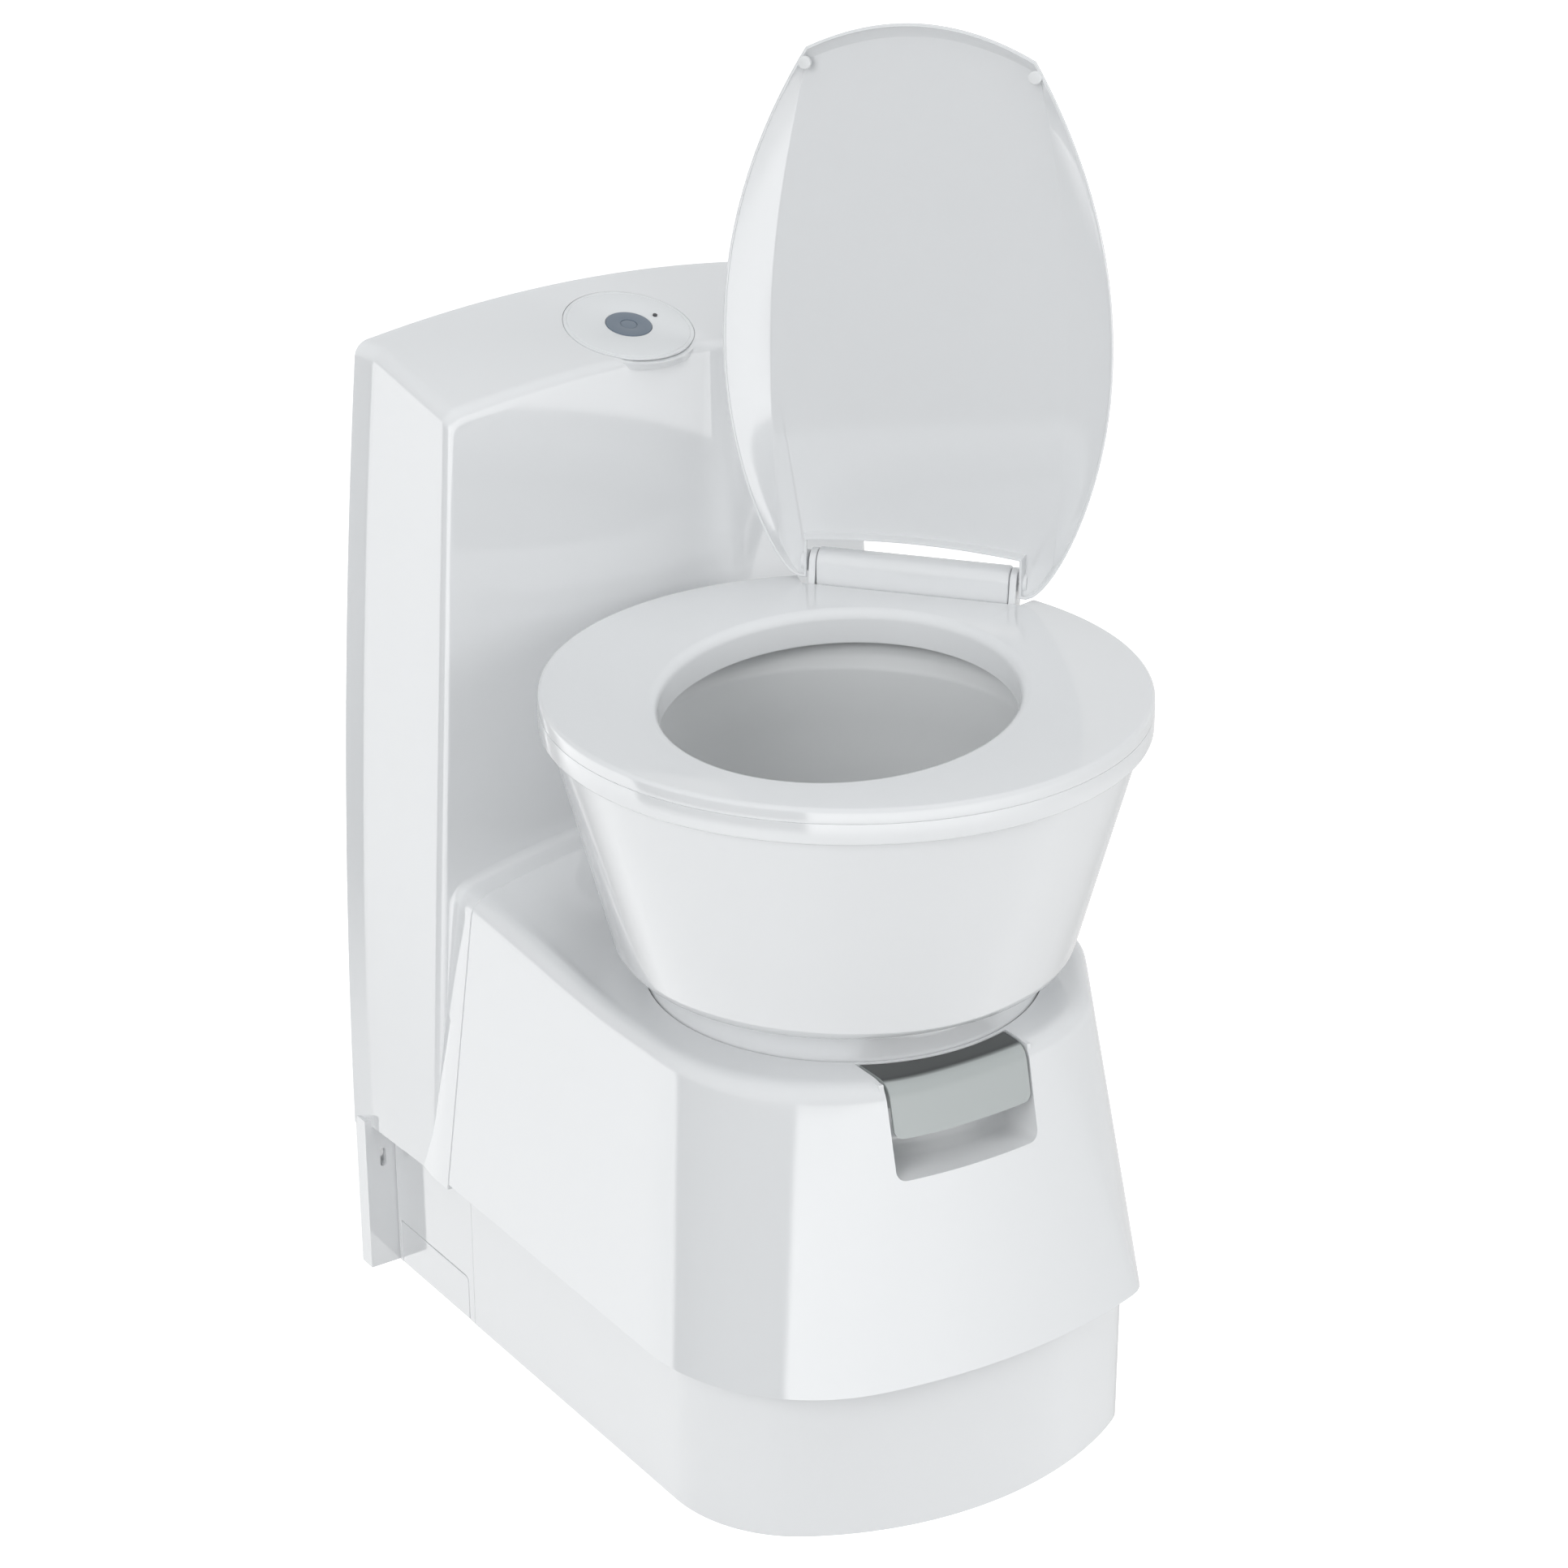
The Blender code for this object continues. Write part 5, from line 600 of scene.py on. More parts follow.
def lid_rings():
    """The lid's edge outline and its field outline, point for point: up the left side, over the bowed top,
    down the right side, along the foot, and round the notch, as (x, height) pairs."""
    shoulder = LID_HEIGHT - LID_TOP_RISE
    up = np.linspace(0, 1, 70) ** ROW_POWER
    side = lid_half(up)
    beyond = (up - LID_WIDEST_SHARE) / (1 - LID_WIDEST_SHARE)
    narrow = np.where(beyond > 0, *FIELD_TAPERS) * beyond ** 2
    field_z = up * (shoulder - FIELD_MARGIN)
    field = np.minimum(LID_FIELD_HALF * (1 - narrow), lid_half(field_z / shoulder) - FLANK_LEAST)
    leg = NOTCH_HALF + NOTCH_FRAME
    field = np.where(field_z < NOTCH_TOP + NOTCH_FADE, np.maximum(field, leg + FLANK_STEP), field)
    top = np.linspace(-1, 1, 42)[1:-1]
    edge_top = np.stack([top * LID_TOP_HALF, LID_HEIGHT - LID_TOP_RISE * top ** 2], axis=1)
    field_top = np.stack([top * field[-1], LID_HEIGHT - FIELD_MARGIN - LID_TOP_RISE * top ** 2], axis=1)
    rise = np.linspace(0, 1, 14)
    arch = np.linspace(1, -1, 40)[1:-1]
    notch_side = np.stack([np.full(14, NOTCH_HALF), rise * NOTCH_TOP], axis=1)
    notch_top = np.stack([arch * NOTCH_HALF, NOTCH_TOP + NOTCH_ARCH * (1 - arch ** 2)], axis=1)
    inner_side = np.stack([np.full(14, leg), rise * (NOTCH_TOP + NOTCH_FRAME)], axis=1)
    inner_top = np.stack([arch * leg, NOTCH_TOP + NOTCH_FRAME + NOTCH_ARCH * (1 - arch ** 2)], axis=1)
    mirror = np.array([-1.0, 1.0])
    edge_left = np.stack([-side, up * shoulder], axis=1)
    field_left = np.stack([-field, field_z], axis=1)
    edge = np.concatenate([edge_left, edge_top, edge_left[::-1] * mirror, notch_side, notch_top,
                           (notch_side * mirror)[::-1]])
    inside = np.concatenate([field_left, field_top, field_left[::-1] * mirror, inner_side, inner_top,
                             (inner_side * mirror)[::-1]])
    return edge, inside


def lid_grid():
    """Rows from the field over the flank to the lip, round it and back over the domed outside."""
    edge, field = lid_rings()
    low = eased(field[:, 1] / FIELD_RISE)
    dish = LIP_INSET + (LID_DISH - LIP_INSET) * low
    rows = []

    def row(inset, depth, share=0.0):
        line = offset_ring(edge, inset)
        line = line + (field - line) * share
        rows.append(np.stack([line[:, 0], LID_PLANE + depth, LID_LOW_Z + line[:, 1]], axis=1))

    flat = np.zeros(len(edge))
    for dish_share, height, flank_share in FLANK_ROWS:
        row(LIP_INSET, dish * dish_share + height, flank_share)
    for inset, depth in LIP_ROUND:
        row(inset, flat + depth)
    for share in (0.25, 0.5, 0.75, 1.0):
        row(BACK_INSET, BACK_LOW + (dish + LID_SKIN - BACK_LOW) * math.sin(share * math.pi / 2), share)
    return np.stack(rows)


lug_outline = round_outline((HINGE_BACK, HINGE_Z), LUG_RADIUS)
lug_slabs = [(across_bowl(rounded_slab(lug_outline, side_low, side_high, SLAB_EDGE)), STACK)
             for side_low, side_high in ((-LUG_OUTER_X, -NOTCH_HALF), (NOTCH_HALF, LUG_OUTER_X))]
surface("lid_panel", [(on_bowl(lid_grid()), STACK)] + lug_slabs, "lid", *WHITE, ["lid"], LID_SHARP_DEG)

# Lid stops: two round soft plugs pressed into the lid's top corners, which rest on the seat when the lid
# is closed.
BUMPER_X = 0.0775
BUMPER_UP = 0.362
BUMPER_RADIUS = 0.0045
BUMPER_HEIGHT = 0.0027
BUMPER_ROUND = 0.0012
BUMPER_FOOT_SHARE = 0.7
BUMPER_TOP_RADII = (0.002, 0.0001)
BUMPER_SINK = 0.0001

soft_white = plastic("soft_stop", (0.80, 0.81, 0.815), 0.38, ripple=0.00001, grain=0.000004)


def bumper_grid(x):
    """A low dome, r = R cos t and h = H sin t above a straight side, turned about the lid's normal."""
    bend = np.linspace(0, math.pi / 2, 8)
    radius = np.concatenate([[BUMPER_RADIUS * BUMPER_FOOT_SHARE], [BUMPER_RADIUS],
                             BUMPER_RADIUS - BUMPER_ROUND * (1 - np.cos(bend)), BUMPER_TOP_RADII])
    height = np.concatenate([[0.0], [0.0], BUMPER_ROUND + BUMPER_ROUND * np.sin(bend), [BUMPER_HEIGHT] * 2])
    angle = np.linspace(0, 2 * math.pi, 32, endpoint=False)[None, :]
    return np.stack([x + radius[:, None] * np.cos(angle),
                     LID_PLANE - BUMPER_SINK - height[:, None] * np.ones_like(angle),
                     LID_LOW_Z + BUMPER_UP + radius[:, None] * np.sin(angle)], axis=-1)


for word, direction in (("left", -1), ("right", 1)):
    surface(f"lid_stop_{word}", [(on_bowl(bumper_grid(direction * BUMPER_X)), STACK)], "lid",
            soft_white, "bumper_rubber", [f"lid_bumper_{word}"])

# Console: the tall rear housing is one large moulding, open at the back. Its top slopes forward and is
# slightly crowned, its front edges are rounded, its sides flare into a flange at the wall, and an
# arch-shaped collar reaches forward to the hood. Two slotted feet run down to the floor.
WALL_Y = 0.2255
CONSOLE_FRONT_Y = 0.1222
CONSOLE_LOW_Z = 0.1178
CONSOLE_HIGH_Z = 0.722
CONSOLE_SLOPE = 0.265
CONSOLE_CROWN = 0.5
BACK_HALF = 0.2086
BACK_NARROWING = 0.085
BACK_NARROWING_FROM_Z = 0.1
FRONT_HALF = 0.1975
FRONT_NARROWING = 0.0565
CONSOLE_CORNER = 0.012
CONSOLE_EDGE = 0.006
FLANGE_DEPTH = 0.015
FLANGE_FLARE = 0.007
FLANGE_SOFTNESS = 0.12
COLLAR_WALL = 0.009
FOOT_WIDTH = 0.0242
SLOT_WIDTH = 0.005
SLOT_LENGTH = 0.016
SLOT_Z = 0.0905
SEAM_Y = 0.100
SEAM_GAP = 0.0003
SEAM_CROWN_Z = 0.3597
SEAM_CROWN = 0.78
SEAM_LOW_Z = 0.1221
SEAM_LOW_HALF = 0.2005
SEAM_HIGH_HALF = 0.1724
DECK_EDGE_ROUND = 0.012
SIDE_STEPS = 40
CORNER_STEPS = 10
CROWN_STEPS = 48
CONSOLE_SHOULDER_X = 0.19
BACK_EDGE = 0.0008
CONSOLE_DEPTHS = (0.2225, 0.2190, 0.2160, 0.2135, 0.2120, 0.2105, 0.2090, 0.2070, 0.2045, 0.2010, 0.190,
                  0.175, 0.160, 0.145, 0.135, 0.1300)
FRONT_SHARES = (0.012, 0.03, 1.0)
INNER_DEPTH = 0.165
COLLAR_DEPTHS = (0.104, 0.110)
COLLAR_END_Y = 0.145
COLLAR_END_WALL = 0.0035
FILLET_SINK = 0.0001
FOOT_INSET = 0.0009
FOOT_FORWARD = 0.0005
SLOT_FROM_EDGE = 2.1
SHELL_SHARP_DEG = 34.0
SEAT_BELOW_DISC = (-0.0065, -0.0020)
DISC_RECESS = (-0.0018, 0.0200)
UNIT_OPENING = (-0.0200, 0.0200)
UNIT_OPENING_RADIUS = 0.0272
DISC_GROOVE = 0.0004
DISC_Y = 0.161
DISC_RADIUS = 0.0455


def console_half(y, z):
    """Half the console's width. The sides lean in upwards, spread from front to back in a straight line,
    and swing out into the flange through the soft ramp (u + sqrt(u^2 + w^2)) / 2."""
    front = FRONT_HALF - FRONT_NARROWING * (z - CONSOLE_LOW_Z)
    back = BACK_HALF - BACK_NARROWING * np.maximum(0.0, z - BACK_NARROWING_FROM_Z) ** 2 - FLANGE_FLARE
    share = np.clip((y - CONSOLE_FRONT_Y) / (WALL_Y - FLANGE_DEPTH - CONSOLE_FRONT_Y), 0.0, 1.0)
    ramp = (y - WALL_Y + FLANGE_DEPTH) / FLANGE_DEPTH
    flare = FLANGE_FLARE * (ramp + np.sqrt(ramp ** 2 + FLANGE_SOFTNESS ** 2)) / 2
    return front + (back - front) * share + flare


def console_top(x, y):
    return CONSOLE_HIGH_Z - CONSOLE_SLOPE * (WALL_Y - y) - CONSOLE_CROWN * x * x


def mirrored_arch(left):
    """An arch of (x, z) points from its left half, whose last point lies on the centre line."""
    return np.concatenate([left, (left * np.array([-1.0, 1.0]))[-2::-1]])


def console_ring(y, inset):
    """The console's outline at a depth: up the left side, round the corner, over the crown and down again.
    The corner's arc ends in the direction of the crown."""
    half = console_half(y, console_top(CONSOLE_SHOULDER_X, y)) - inset
    lean = math.atan(2 * CONSOLE_CROWN * (half - CONSOLE_CORNER))
    end_x = half - CONSOLE_CORNER + CONSOLE_CORNER * math.sin(lean)
    centre_z = console_top(end_x, y) - inset - CONSOLE_CORNER * math.cos(lean)
    z = np.linspace(CONSOLE_LOW_Z, centre_z, SIDE_STEPS + 1)[:-1]
    side = np.stack([-(console_half(y, z) - inset), z], axis=1)
    centre_x = -(console_half(y, centre_z) - inset - CONSOLE_CORNER)
    turn = np.linspace(math.pi, math.pi / 2 + lean, CORNER_STEPS + 1)
    corner = np.stack([centre_x + CONSOLE_CORNER * np.cos(turn),
                       centre_z + CONSOLE_CORNER * np.sin(turn)], axis=1)
    x = np.linspace(corner[-1, 0], 0.0, CROWN_STEPS // 2 + 1)[1:]
    crown = np.stack([x, console_top(x, y) - inset], axis=1)
    return mirrored_arch(np.concatenate([side, corner, crown]))


def seam_crown(x):
    return SEAM_CROWN_Z - SEAM_CROWN * x * x


def seam_half(z):
    """Half the width of hood and collar where they meet, a straight line over the height."""
    high = seam_crown(SEAM_HIGH_HALF)
    return SEAM_LOW_HALF + (SEAM_HIGH_HALF - SEAM_LOW_HALF) * (z - SEAM_LOW_Z) / (high - SEAM_LOW_Z)


def quadratic(a, b, c, t):
    """The curve (1-t)^2 a + 2t(1-t) b + t^2 c that leaves a towards b and reaches c from b."""
    t = np.asarray(t)[..., None]
    return (1 - t) ** 2 * a + 2 * t * (1 - t) * b + t * t * c


def seam_ring(inset, low=CONSOLE_LOW_Z):
    """The arch where hood and collar meet, point for point with the console's outline."""
    height = seam_crown(SEAM_HIGH_HALF)
    inner = SEAM_HIGH_HALF - DECK_EDGE_ROUND
    z = np.linspace(low, height - DECK_EDGE_ROUND, SIDE_STEPS + 1)[:-1]
    side = np.stack([-(seam_half(z) - inset), z], axis=1)
    share = np.linspace(0, 1, CORNER_STEPS + 1)
    bend = quadratic(np.array([-seam_half(height - DECK_EDGE_ROUND), height - DECK_EDGE_ROUND]),
                     np.array([-SEAM_HIGH_HALF, height]), np.array([-inner, seam_crown(inner)]), share)
    bend = bend + np.stack([np.full(len(share), inset), -inset * share], axis=1)
    x = np.linspace(bend[-1, 0], 0.0, CROWN_STEPS // 2 + 1)[1:]
    crown = np.stack([x, seam_crown(x) - inset], axis=1)
    return mirrored_arch(np.concatenate([side, bend, crown]))


def at_depth(ring, y):
    """An outline of (x, z) points stood upright at one or more depths."""
    return np.stack([ring[:, 0], np.broadcast_to(np.asarray(y, float), (len(ring),)), ring[:, 1]], axis=1)


def console_skin():
    """Grid whose rows are cross-sections of the wall, from the left foot over the top to the right foot."""
    hole = seam_ring(COLLAR_WALL)
    rings = [at_depth(console_ring(WALL_Y, WALL), WALL_Y),
             at_depth(console_ring(WALL_Y, BACK_EDGE), WALL_Y),
             at_depth(console_ring(WALL_Y, 0.0), WALL_Y - BACK_EDGE)]
    for y in CONSOLE_DEPTHS:
        rings.append(at_depth(console_ring(y, 0.0), y))
    for turn in np.linspace(0, math.pi / 2, 9):
        y = CONSOLE_FRONT_Y + CONSOLE_EDGE * (1 - math.sin(turn))
        rings.append(at_depth(console_ring(y, CONSOLE_EDGE * (1 - math.cos(turn))), y))
    edge = rings[-1]
    front_hole = at_depth(hole, CONSOLE_FRONT_Y)
    for share in FRONT_SHARES:
        rings.append(edge + (front_hole - edge) * share)
    rings.append(at_depth(hole, CONSOLE_FRONT_Y + WALL))
    for y in (CONSOLE_FRONT_Y + WALL, INNER_DEPTH, WALL_Y - FLANGE_DEPTH):
        rings.append(at_depth(console_ring(y, WALL), y))
    return np.stack(rings, axis=1)


def collar_skin():
    """Grid of the collar: its rim at the seam, its outside, a fillet into the console's front where there
    is room for one, and its inside. Behind the fillet it sinks into the console's walls."""
    ring = seam_ring(0.0)
    along = np.gradient(ring, axis=0)
    outwards = np.stack([-along[:, 1], along[:, 0]], axis=1) / np.linalg.norm(along, axis=1, keepdims=True)
    room = console_half(CONSOLE_FRONT_Y, ring[:, 1]) - CONSOLE_EDGE - np.abs(ring[:, 0])
    room = np.where(np.abs(ring[:, 0]) < SEAM_HIGH_HALF - DECK_EDGE_ROUND, CONSOLE_EDGE, room)
    fillet = np.clip(room, 0.0, CONSOLE_EDGE)[:, None]
    start = SEAM_Y + SEAM_GAP
    rings = [at_depth(seam_ring(COLLAR_WALL), start), at_depth(seam_ring(BACK_EDGE), start)]
    for y in (start + BACK_EDGE, *COLLAR_DEPTHS):
        rings.append(at_depth(ring, y))
    for turn in np.linspace(0, math.pi / 2, 7):
        spread = ring + outwards * fillet * (1 - math.cos(turn))
        rings.append(at_depth(spread, CONSOLE_FRONT_Y - fillet[:, 0] * (1 - math.sin(turn)) + FILLET_SINK))
    for wall in (COLLAR_END_WALL, COLLAR_WALL):
        rings.append(at_depth(seam_ring(wall), COLLAR_END_Y))
    return np.stack(rings, axis=1)


def foot_skin(side):
    """Grid of a flange foot with its slot: rows run from the outer edge to the slot and through it."""
    outer = float(console_half(WALL_Y, CONSOLE_LOW_Z)) - FOOT_INSET
    middle = np.array([outer - FOOT_WIDTH + SLOT_FROM_EDGE * SLOT_WIDTH, SLOT_Z])
    low = np.array([outer - FOOT_WIDTH, 0.0]) - middle
    high = np.array([outer, CONSOLE_LOW_Z + 2 * WALL]) - middle
    corners = [math.atan2(z, x) for x in (low[0], high[0]) for z in (low[1], high[1])]
    angle = np.unique(np.concatenate([np.linspace(-math.pi, math.pi, 72, endpoint=False), corners]))
    ray = np.stack([np.cos(angle), np.sin(angle)], axis=1)
    reach = np.minimum(np.where(ray[:, 0] > 0, high[0], -low[0]) / np.maximum(np.abs(ray[:, 0]), TINY),
                       np.where(ray[:, 1] > 0, high[1], -low[1]) / np.maximum(np.abs(ray[:, 1]), TINY))
    half = SLOT_WIDTH / 2
    straight = SLOT_LENGTH / 2 - half
    flat = half / np.maximum(np.abs(ray[:, 0]), TINY)
    centre = straight * np.abs(ray[:, 1])
    capped = centre + np.sqrt(np.maximum(centre ** 2 - straight ** 2 + half ** 2, 0.0))
    slot = np.where(flat * np.abs(ray[:, 1]) < straight, flat, capped)
    rows = []
    front, back = WALL_Y - FLANGE_DEPTH + FOOT_FORWARD, WALL_Y - SEAM_GAP
    for distance, y in ((reach, front), (slot, front), (slot, back), (reach, back)):
        place = middle + ray * distance[:, None]
        rows.append(np.stack([side * place[:, 0], np.full(len(place), y), place[:, 1]], axis=1))
    return np.stack(rows)


def on_console_top(points):
    """Points drawn as (x, along, up) from the disc's centre, tilted with the console's top."""
    x, along, up = np.moveaxis(np.asarray(points, float), -1, 0)
    lean = math.atan(CONSOLE_SLOPE)
    return np.stack([x, DISC_Y + along * math.cos(lean) - up * math.sin(lean),
                     console_top(0.0, DISC_Y) + along * math.sin(lean) + up * math.cos(lean)], axis=-1)


def modified(base):
    """The mesh that an object's modifiers give; the object itself is removed."""
    scene_now = bpy.context.evaluated_depsgraph_get()
    result = bpy.data.meshes.new_from_object(base.evaluated_get(scene_now))
    bpy.data.objects.remove(base)
    return result


def carved(mesh, steps):
    """The mesh after exact unions and cuts with other closed meshes, one after another."""
    base = placed("carved", mesh)
    others = []
    for operation, other in steps:
        tool = placed("tool", other)
        others.append(tool)
        change = base.modifiers.new("step", "BOOLEAN")
        change.operation = operation
        change.solver = "EXACT"
        change.object = tool
    result = modified(base)
    for item in others:
        bpy.data.objects.remove(item)
    return result


def puck(radius, low, high, steps=96):
    """A flat round solid on the console's top."""
    ring = round_outline((0.0, 0.0), radius, steps)
    rows = np.stack([level(ring, up) for up in (low, high)])
    return closed_mesh("puck", [(on_console_top(rows), STACK)])


console_mesh = carved(closed_mesh("console", [(console_skin(), STACK)]),
                      [("UNION", puck(DISC_RADIUS + WALL, *SEAT_BELOW_DISC)),
                       ("DIFFERENCE", puck(DISC_RADIUS + DISC_GROOVE, *DISC_RECESS)),
                       ("DIFFERENCE", puck(UNIT_OPENING_RADIUS, *UNIT_OPENING))])
finished("console_shell", [console_mesh, closed_mesh("collar", [(collar_skin(), STACK)])]
         + [closed_mesh("foot", [(foot_skin(side), RING)]) for side in (-1, 1)],
         "base", *WHITE, ["rear_console"], sharp_deg=SHELL_SHARP_DEG)

# Hood: the front housing is one thin moulding with a rounded deck edge. A collar round the bowl's opening
# steps down to the bearing, and a pocket in front of it leaves room for fingers behind the valve lever.
HOOD_LOW_Z = 0.1221
DECK_Z = 0.321
DRAFT_Y = -0.15
DECK_RISE_RADIUS = 0.158
RING_RADIUS = 0.1345
POCKET_REAR_RADIUS = 0.1368
POCKET_LEFT_X = -0.073
POCKET_RIGHT_X = 0.0360
POCKET_FLOOR_Z = 0.2565
POCKET_CORNER = 0.007
POCKET_FILLET = 0.011
BEARING_TOP_Z = 0.2987
TONGUE_TOP_Z = 0.2944
TONGUE_LOW_Z = 0.2890
TONGUE_LEFT_X = -0.068
TONGUE_RIGHT_X = 0.030
DECK_PLAN = (0.1664, 0.024, -0.258, 0.140, 0.397, 0.2208)
HOOD_PLAN = (0.200, 0.002, -0.3023, 0.1306, 0.4138, 0.2568)
PLINTH_PLAN = (0.1808, 0.0099, -0.2869, 0.1005, 0.2538, 0.2475)
CORNER_WAY = np.array([0.8268, -0.5625])
CORNER_BLEND = 0.0025
HOOD_REAR_Y = SEAM_Y - 0.0006
DECK_SHARES = np.concatenate([[0.0, 0.02], np.linspace(0.12, 1.0, 10)])
WALL_SHARES = (0.04, 0.2, 0.4, 0.6, 0.8, 0.97, 1.0)
SIDE_COLUMNS = 26
FRONT_COLUMNS = 44
BLOCK_PAST_FRONT = 0.001
POCKET_BACK_Z = 0.290
POCKET_OVER = 0.02
POCKET_FRONT_Y = -0.33
RING_TOP_DROP = 0.0015
RING_PLAY = 0.0003
TONGUE_PLAY = 0.0005
TONGUE_SLOT_REACH = (0.1398, 0.1076)


def u_outline(plan, inset=0.0, rear=SEAM_Y):
    """U-shaped plan of the body from rear left round the front to rear right: straight drafted sides, round
    corners and a bowed front. The corner circle touches the side line and the front circle. The right
    corner is flattened: what lies further than the plan's reach r along CORNER_WAY is moved back by
    (d + sqrt(d^2 + blend^2)) / 2, with d = place . way - r."""
    half, draft, apex, corner, bulge, reach = plan
    half, apex, corner, bulge = half - inset, apex + inset, corner - inset, bulge - inset
    shift = corner * math.hypot(1, draft) - (half - draft * DRAFT_Y)
    centre_y = apex + bulge
    a = 1 + draft * draft
    b = -2 * (shift * draft + centre_y)
    c = shift * shift + centre_y * centre_y - (bulge - corner) ** 2
    y = (-b - math.sqrt(max(b * b - 4 * a * c, 0))) / (2 * a)
    x = shift - draft * y
    side = math.atan2(-draft, -1) % (2 * math.pi)
    front = math.atan2(y - centre_y, x) % (2 * math.pi)
    turn = np.linspace(side, front, SIDE_COLUMNS + 1)
    bend = np.stack([x + corner * np.cos(turn), y + corner * np.sin(turn)], axis=1)
    end = np.array([-(half + draft * (rear - DRAFT_Y)), rear])
    straight = end + (bend[0] - end) * np.linspace(0, 1, SIDE_COLUMNS + 1)[:-1, None]
    turn = np.linspace(front, 1.5 * math.pi, FRONT_COLUMNS // 2 + 1)[1:]
    bow = np.stack([bulge * np.cos(turn), centre_y + bulge * np.sin(turn)], axis=1)
    outline = mirrored_arch(np.concatenate([straight, bend, bow]))
    over = outline @ CORNER_WAY - (reach - inset)
    return outline - (over + np.hypot(over, CORNER_BLEND))[:, None] / 2 * CORNER_WAY


def deck_height(x, y):
    """The deck is flat round the bowl. Behind it the height eases up to the seam's crown by s^2 (2 - s)."""
    start = SWIVEL_Y + np.sqrt(np.maximum(0.0, DECK_RISE_RADIUS ** 2 - x * x))
    share = np.clip((y - start) / (SEAM_Y - start), 0.0, 1.0)
    return DECK_Z + (seam_crown(x) - DECK_Z) * share * share * (2 - share)


def hood_sheet():
    """The hood's outer skin as an open sheet: from the bowl's opening over the deck and down the wall. The
    columns behind the bowl end at the seam."""
    inner = u_outline(DECK_PLAN, DECK_EDGE_ROUND, HOOD_REAR_Y)
    edge = u_outline(DECK_PLAN, 0.0, HOOD_REAR_Y)
    foot = u_outline(HOOD_PLAN, 0.0, HOOD_REAR_Y)
    back_x = np.linspace(inner[-1, 0], inner[0, 0], 42)[1:-1]
    whole = np.concatenate([inner, np.stack([back_x, np.full(len(back_x), HOOD_REAR_Y)], axis=1)])
    angle = np.arctan2(whole[:, 1] - SWIVEL_Y, whole[:, 0])
    ring = np.stack([RING_RADIUS * np.cos(angle), SWIVEL_Y + RING_RADIUS * np.sin(angle)], axis=1)
    deck = []
    for share in DECK_SHARES:
        place = ring + (whole - ring) * share
        deck.append(np.column_stack([place, deck_height(place[:, 0], place[:, 1])]))
    corner = np.column_stack([edge, deck_height(edge[:, 0], edge[:, 1])])
    bottom = level(foot, HOOD_LOW_Z)
    slope = (bottom - corner) / np.linalg.norm(bottom - corner, axis=1, keepdims=True)
    down = corner + slope * DECK_EDGE_ROUND
    walls = [quadratic(deck[-1][:len(edge)], corner, down, t) for t in np.linspace(0, 1, 11)[1:]]
    walls += [down + (bottom - down) * share for share in WALL_SHARES]
    columns = len(whole)
    full = len(edge)
    places = np.concatenate(deck + walls)
    starts = [i * columns for i in range(len(deck))]
    starts += [len(deck) * columns + i * full for i in range(len(walls))]
    faces = []
    for row, (low, high) in enumerate(zip(starts, starts[1:])):
        closed = row < len(deck) - 1
        for i in range(columns if closed else full - 1):
            after = (i + 1) % columns
            faces.append((low + i, high + i, high + after, low + after))
    return places, faces


def walled(name, places, faces, thickness, up_face):
    """An open sheet given a wall on its inner side; the face at up_face shows which way is out."""
    mesh = bpy.data.meshes.new(name)
    mesh.from_pydata(places.tolist(), [], faces)
    work = bmesh.new()
    work.from_mesh(mesh)
    bmesh.ops.recalc_face_normals(work, faces=work.faces)
    work.faces.ensure_lookup_table()
    if work.faces[up_face].normal.z < 0:
        bmesh.ops.reverse_faces(work, faces=work.faces)
    work.to_mesh(mesh)
    work.free()
    base = placed(name, mesh)
    skin = base.modifiers.new("wall", "SOLIDIFY")
    skin.thickness = thickness
    skin.offset = -1
    skin.use_even_offset = True
    return modified(base)


def front_y(x, z):
    """The hood's front surface at a width and a height."""
    deck, foot = u_outline(DECK_PLAN), u_outline(HOOD_PLAN)
    within = slice(SIDE_COLUMNS + 2, -SIDE_COLUMNS - 2)
    front_of = [np.interp(x, plan[within, 0], plan[within, 1]) for plan in (deck, foot)]
    return front_of[0] + (front_of[1] - front_of[0]) * (DECK_Z - z) / (DECK_Z - HOOD_LOW_Z)


def arc_y(x, radius):
    return SWIVEL_Y - np.sqrt(radius ** 2 - x ** 2)


def pocket_block():
    """Grid of the pocket's walls before they are hollowed; it ends inside the hood's wall."""
    x = np.linspace(POCKET_LEFT_X - WALL, POCKET_RIGHT_X + WALL, 30)
    rear = arc_y(x, (RING_RADIUS + POCKET_REAR_RADIUS) / 2)
    low = np.full(len(x), POCKET_FLOOR_Z - WALL)
    high = np.full(len(x), DECK_Z - BLOCK_PAST_FRONT)
    foot, edge = [front_y(x, z) + BLOCK_PAST_FRONT for z in (POCKET_FLOOR_Z - WALL, DECK_Z)]
    corners = [(rear, low), (foot, low), (edge, high), (rear, high)]
    return np.stack([np.stack([x, y, z], axis=1) for y, z in corners], axis=1)


def rounded_low_edge(left, right, low, corner, columns):
    """Widths and heights of a level lower edge whose two ends rise on quarter circles."""
    near = corner * (1 - np.cos(np.linspace(0, math.pi / 2, 9)))
    x = np.concatenate([left + near, np.linspace(left + corner, right - corner, columns)[1:-1],
                        (right - near)[::-1]])
    inside = np.minimum(np.minimum(x - left, right - x), corner)
    return x, low + corner - np.sqrt(corner ** 2 - (corner - inside) ** 2)


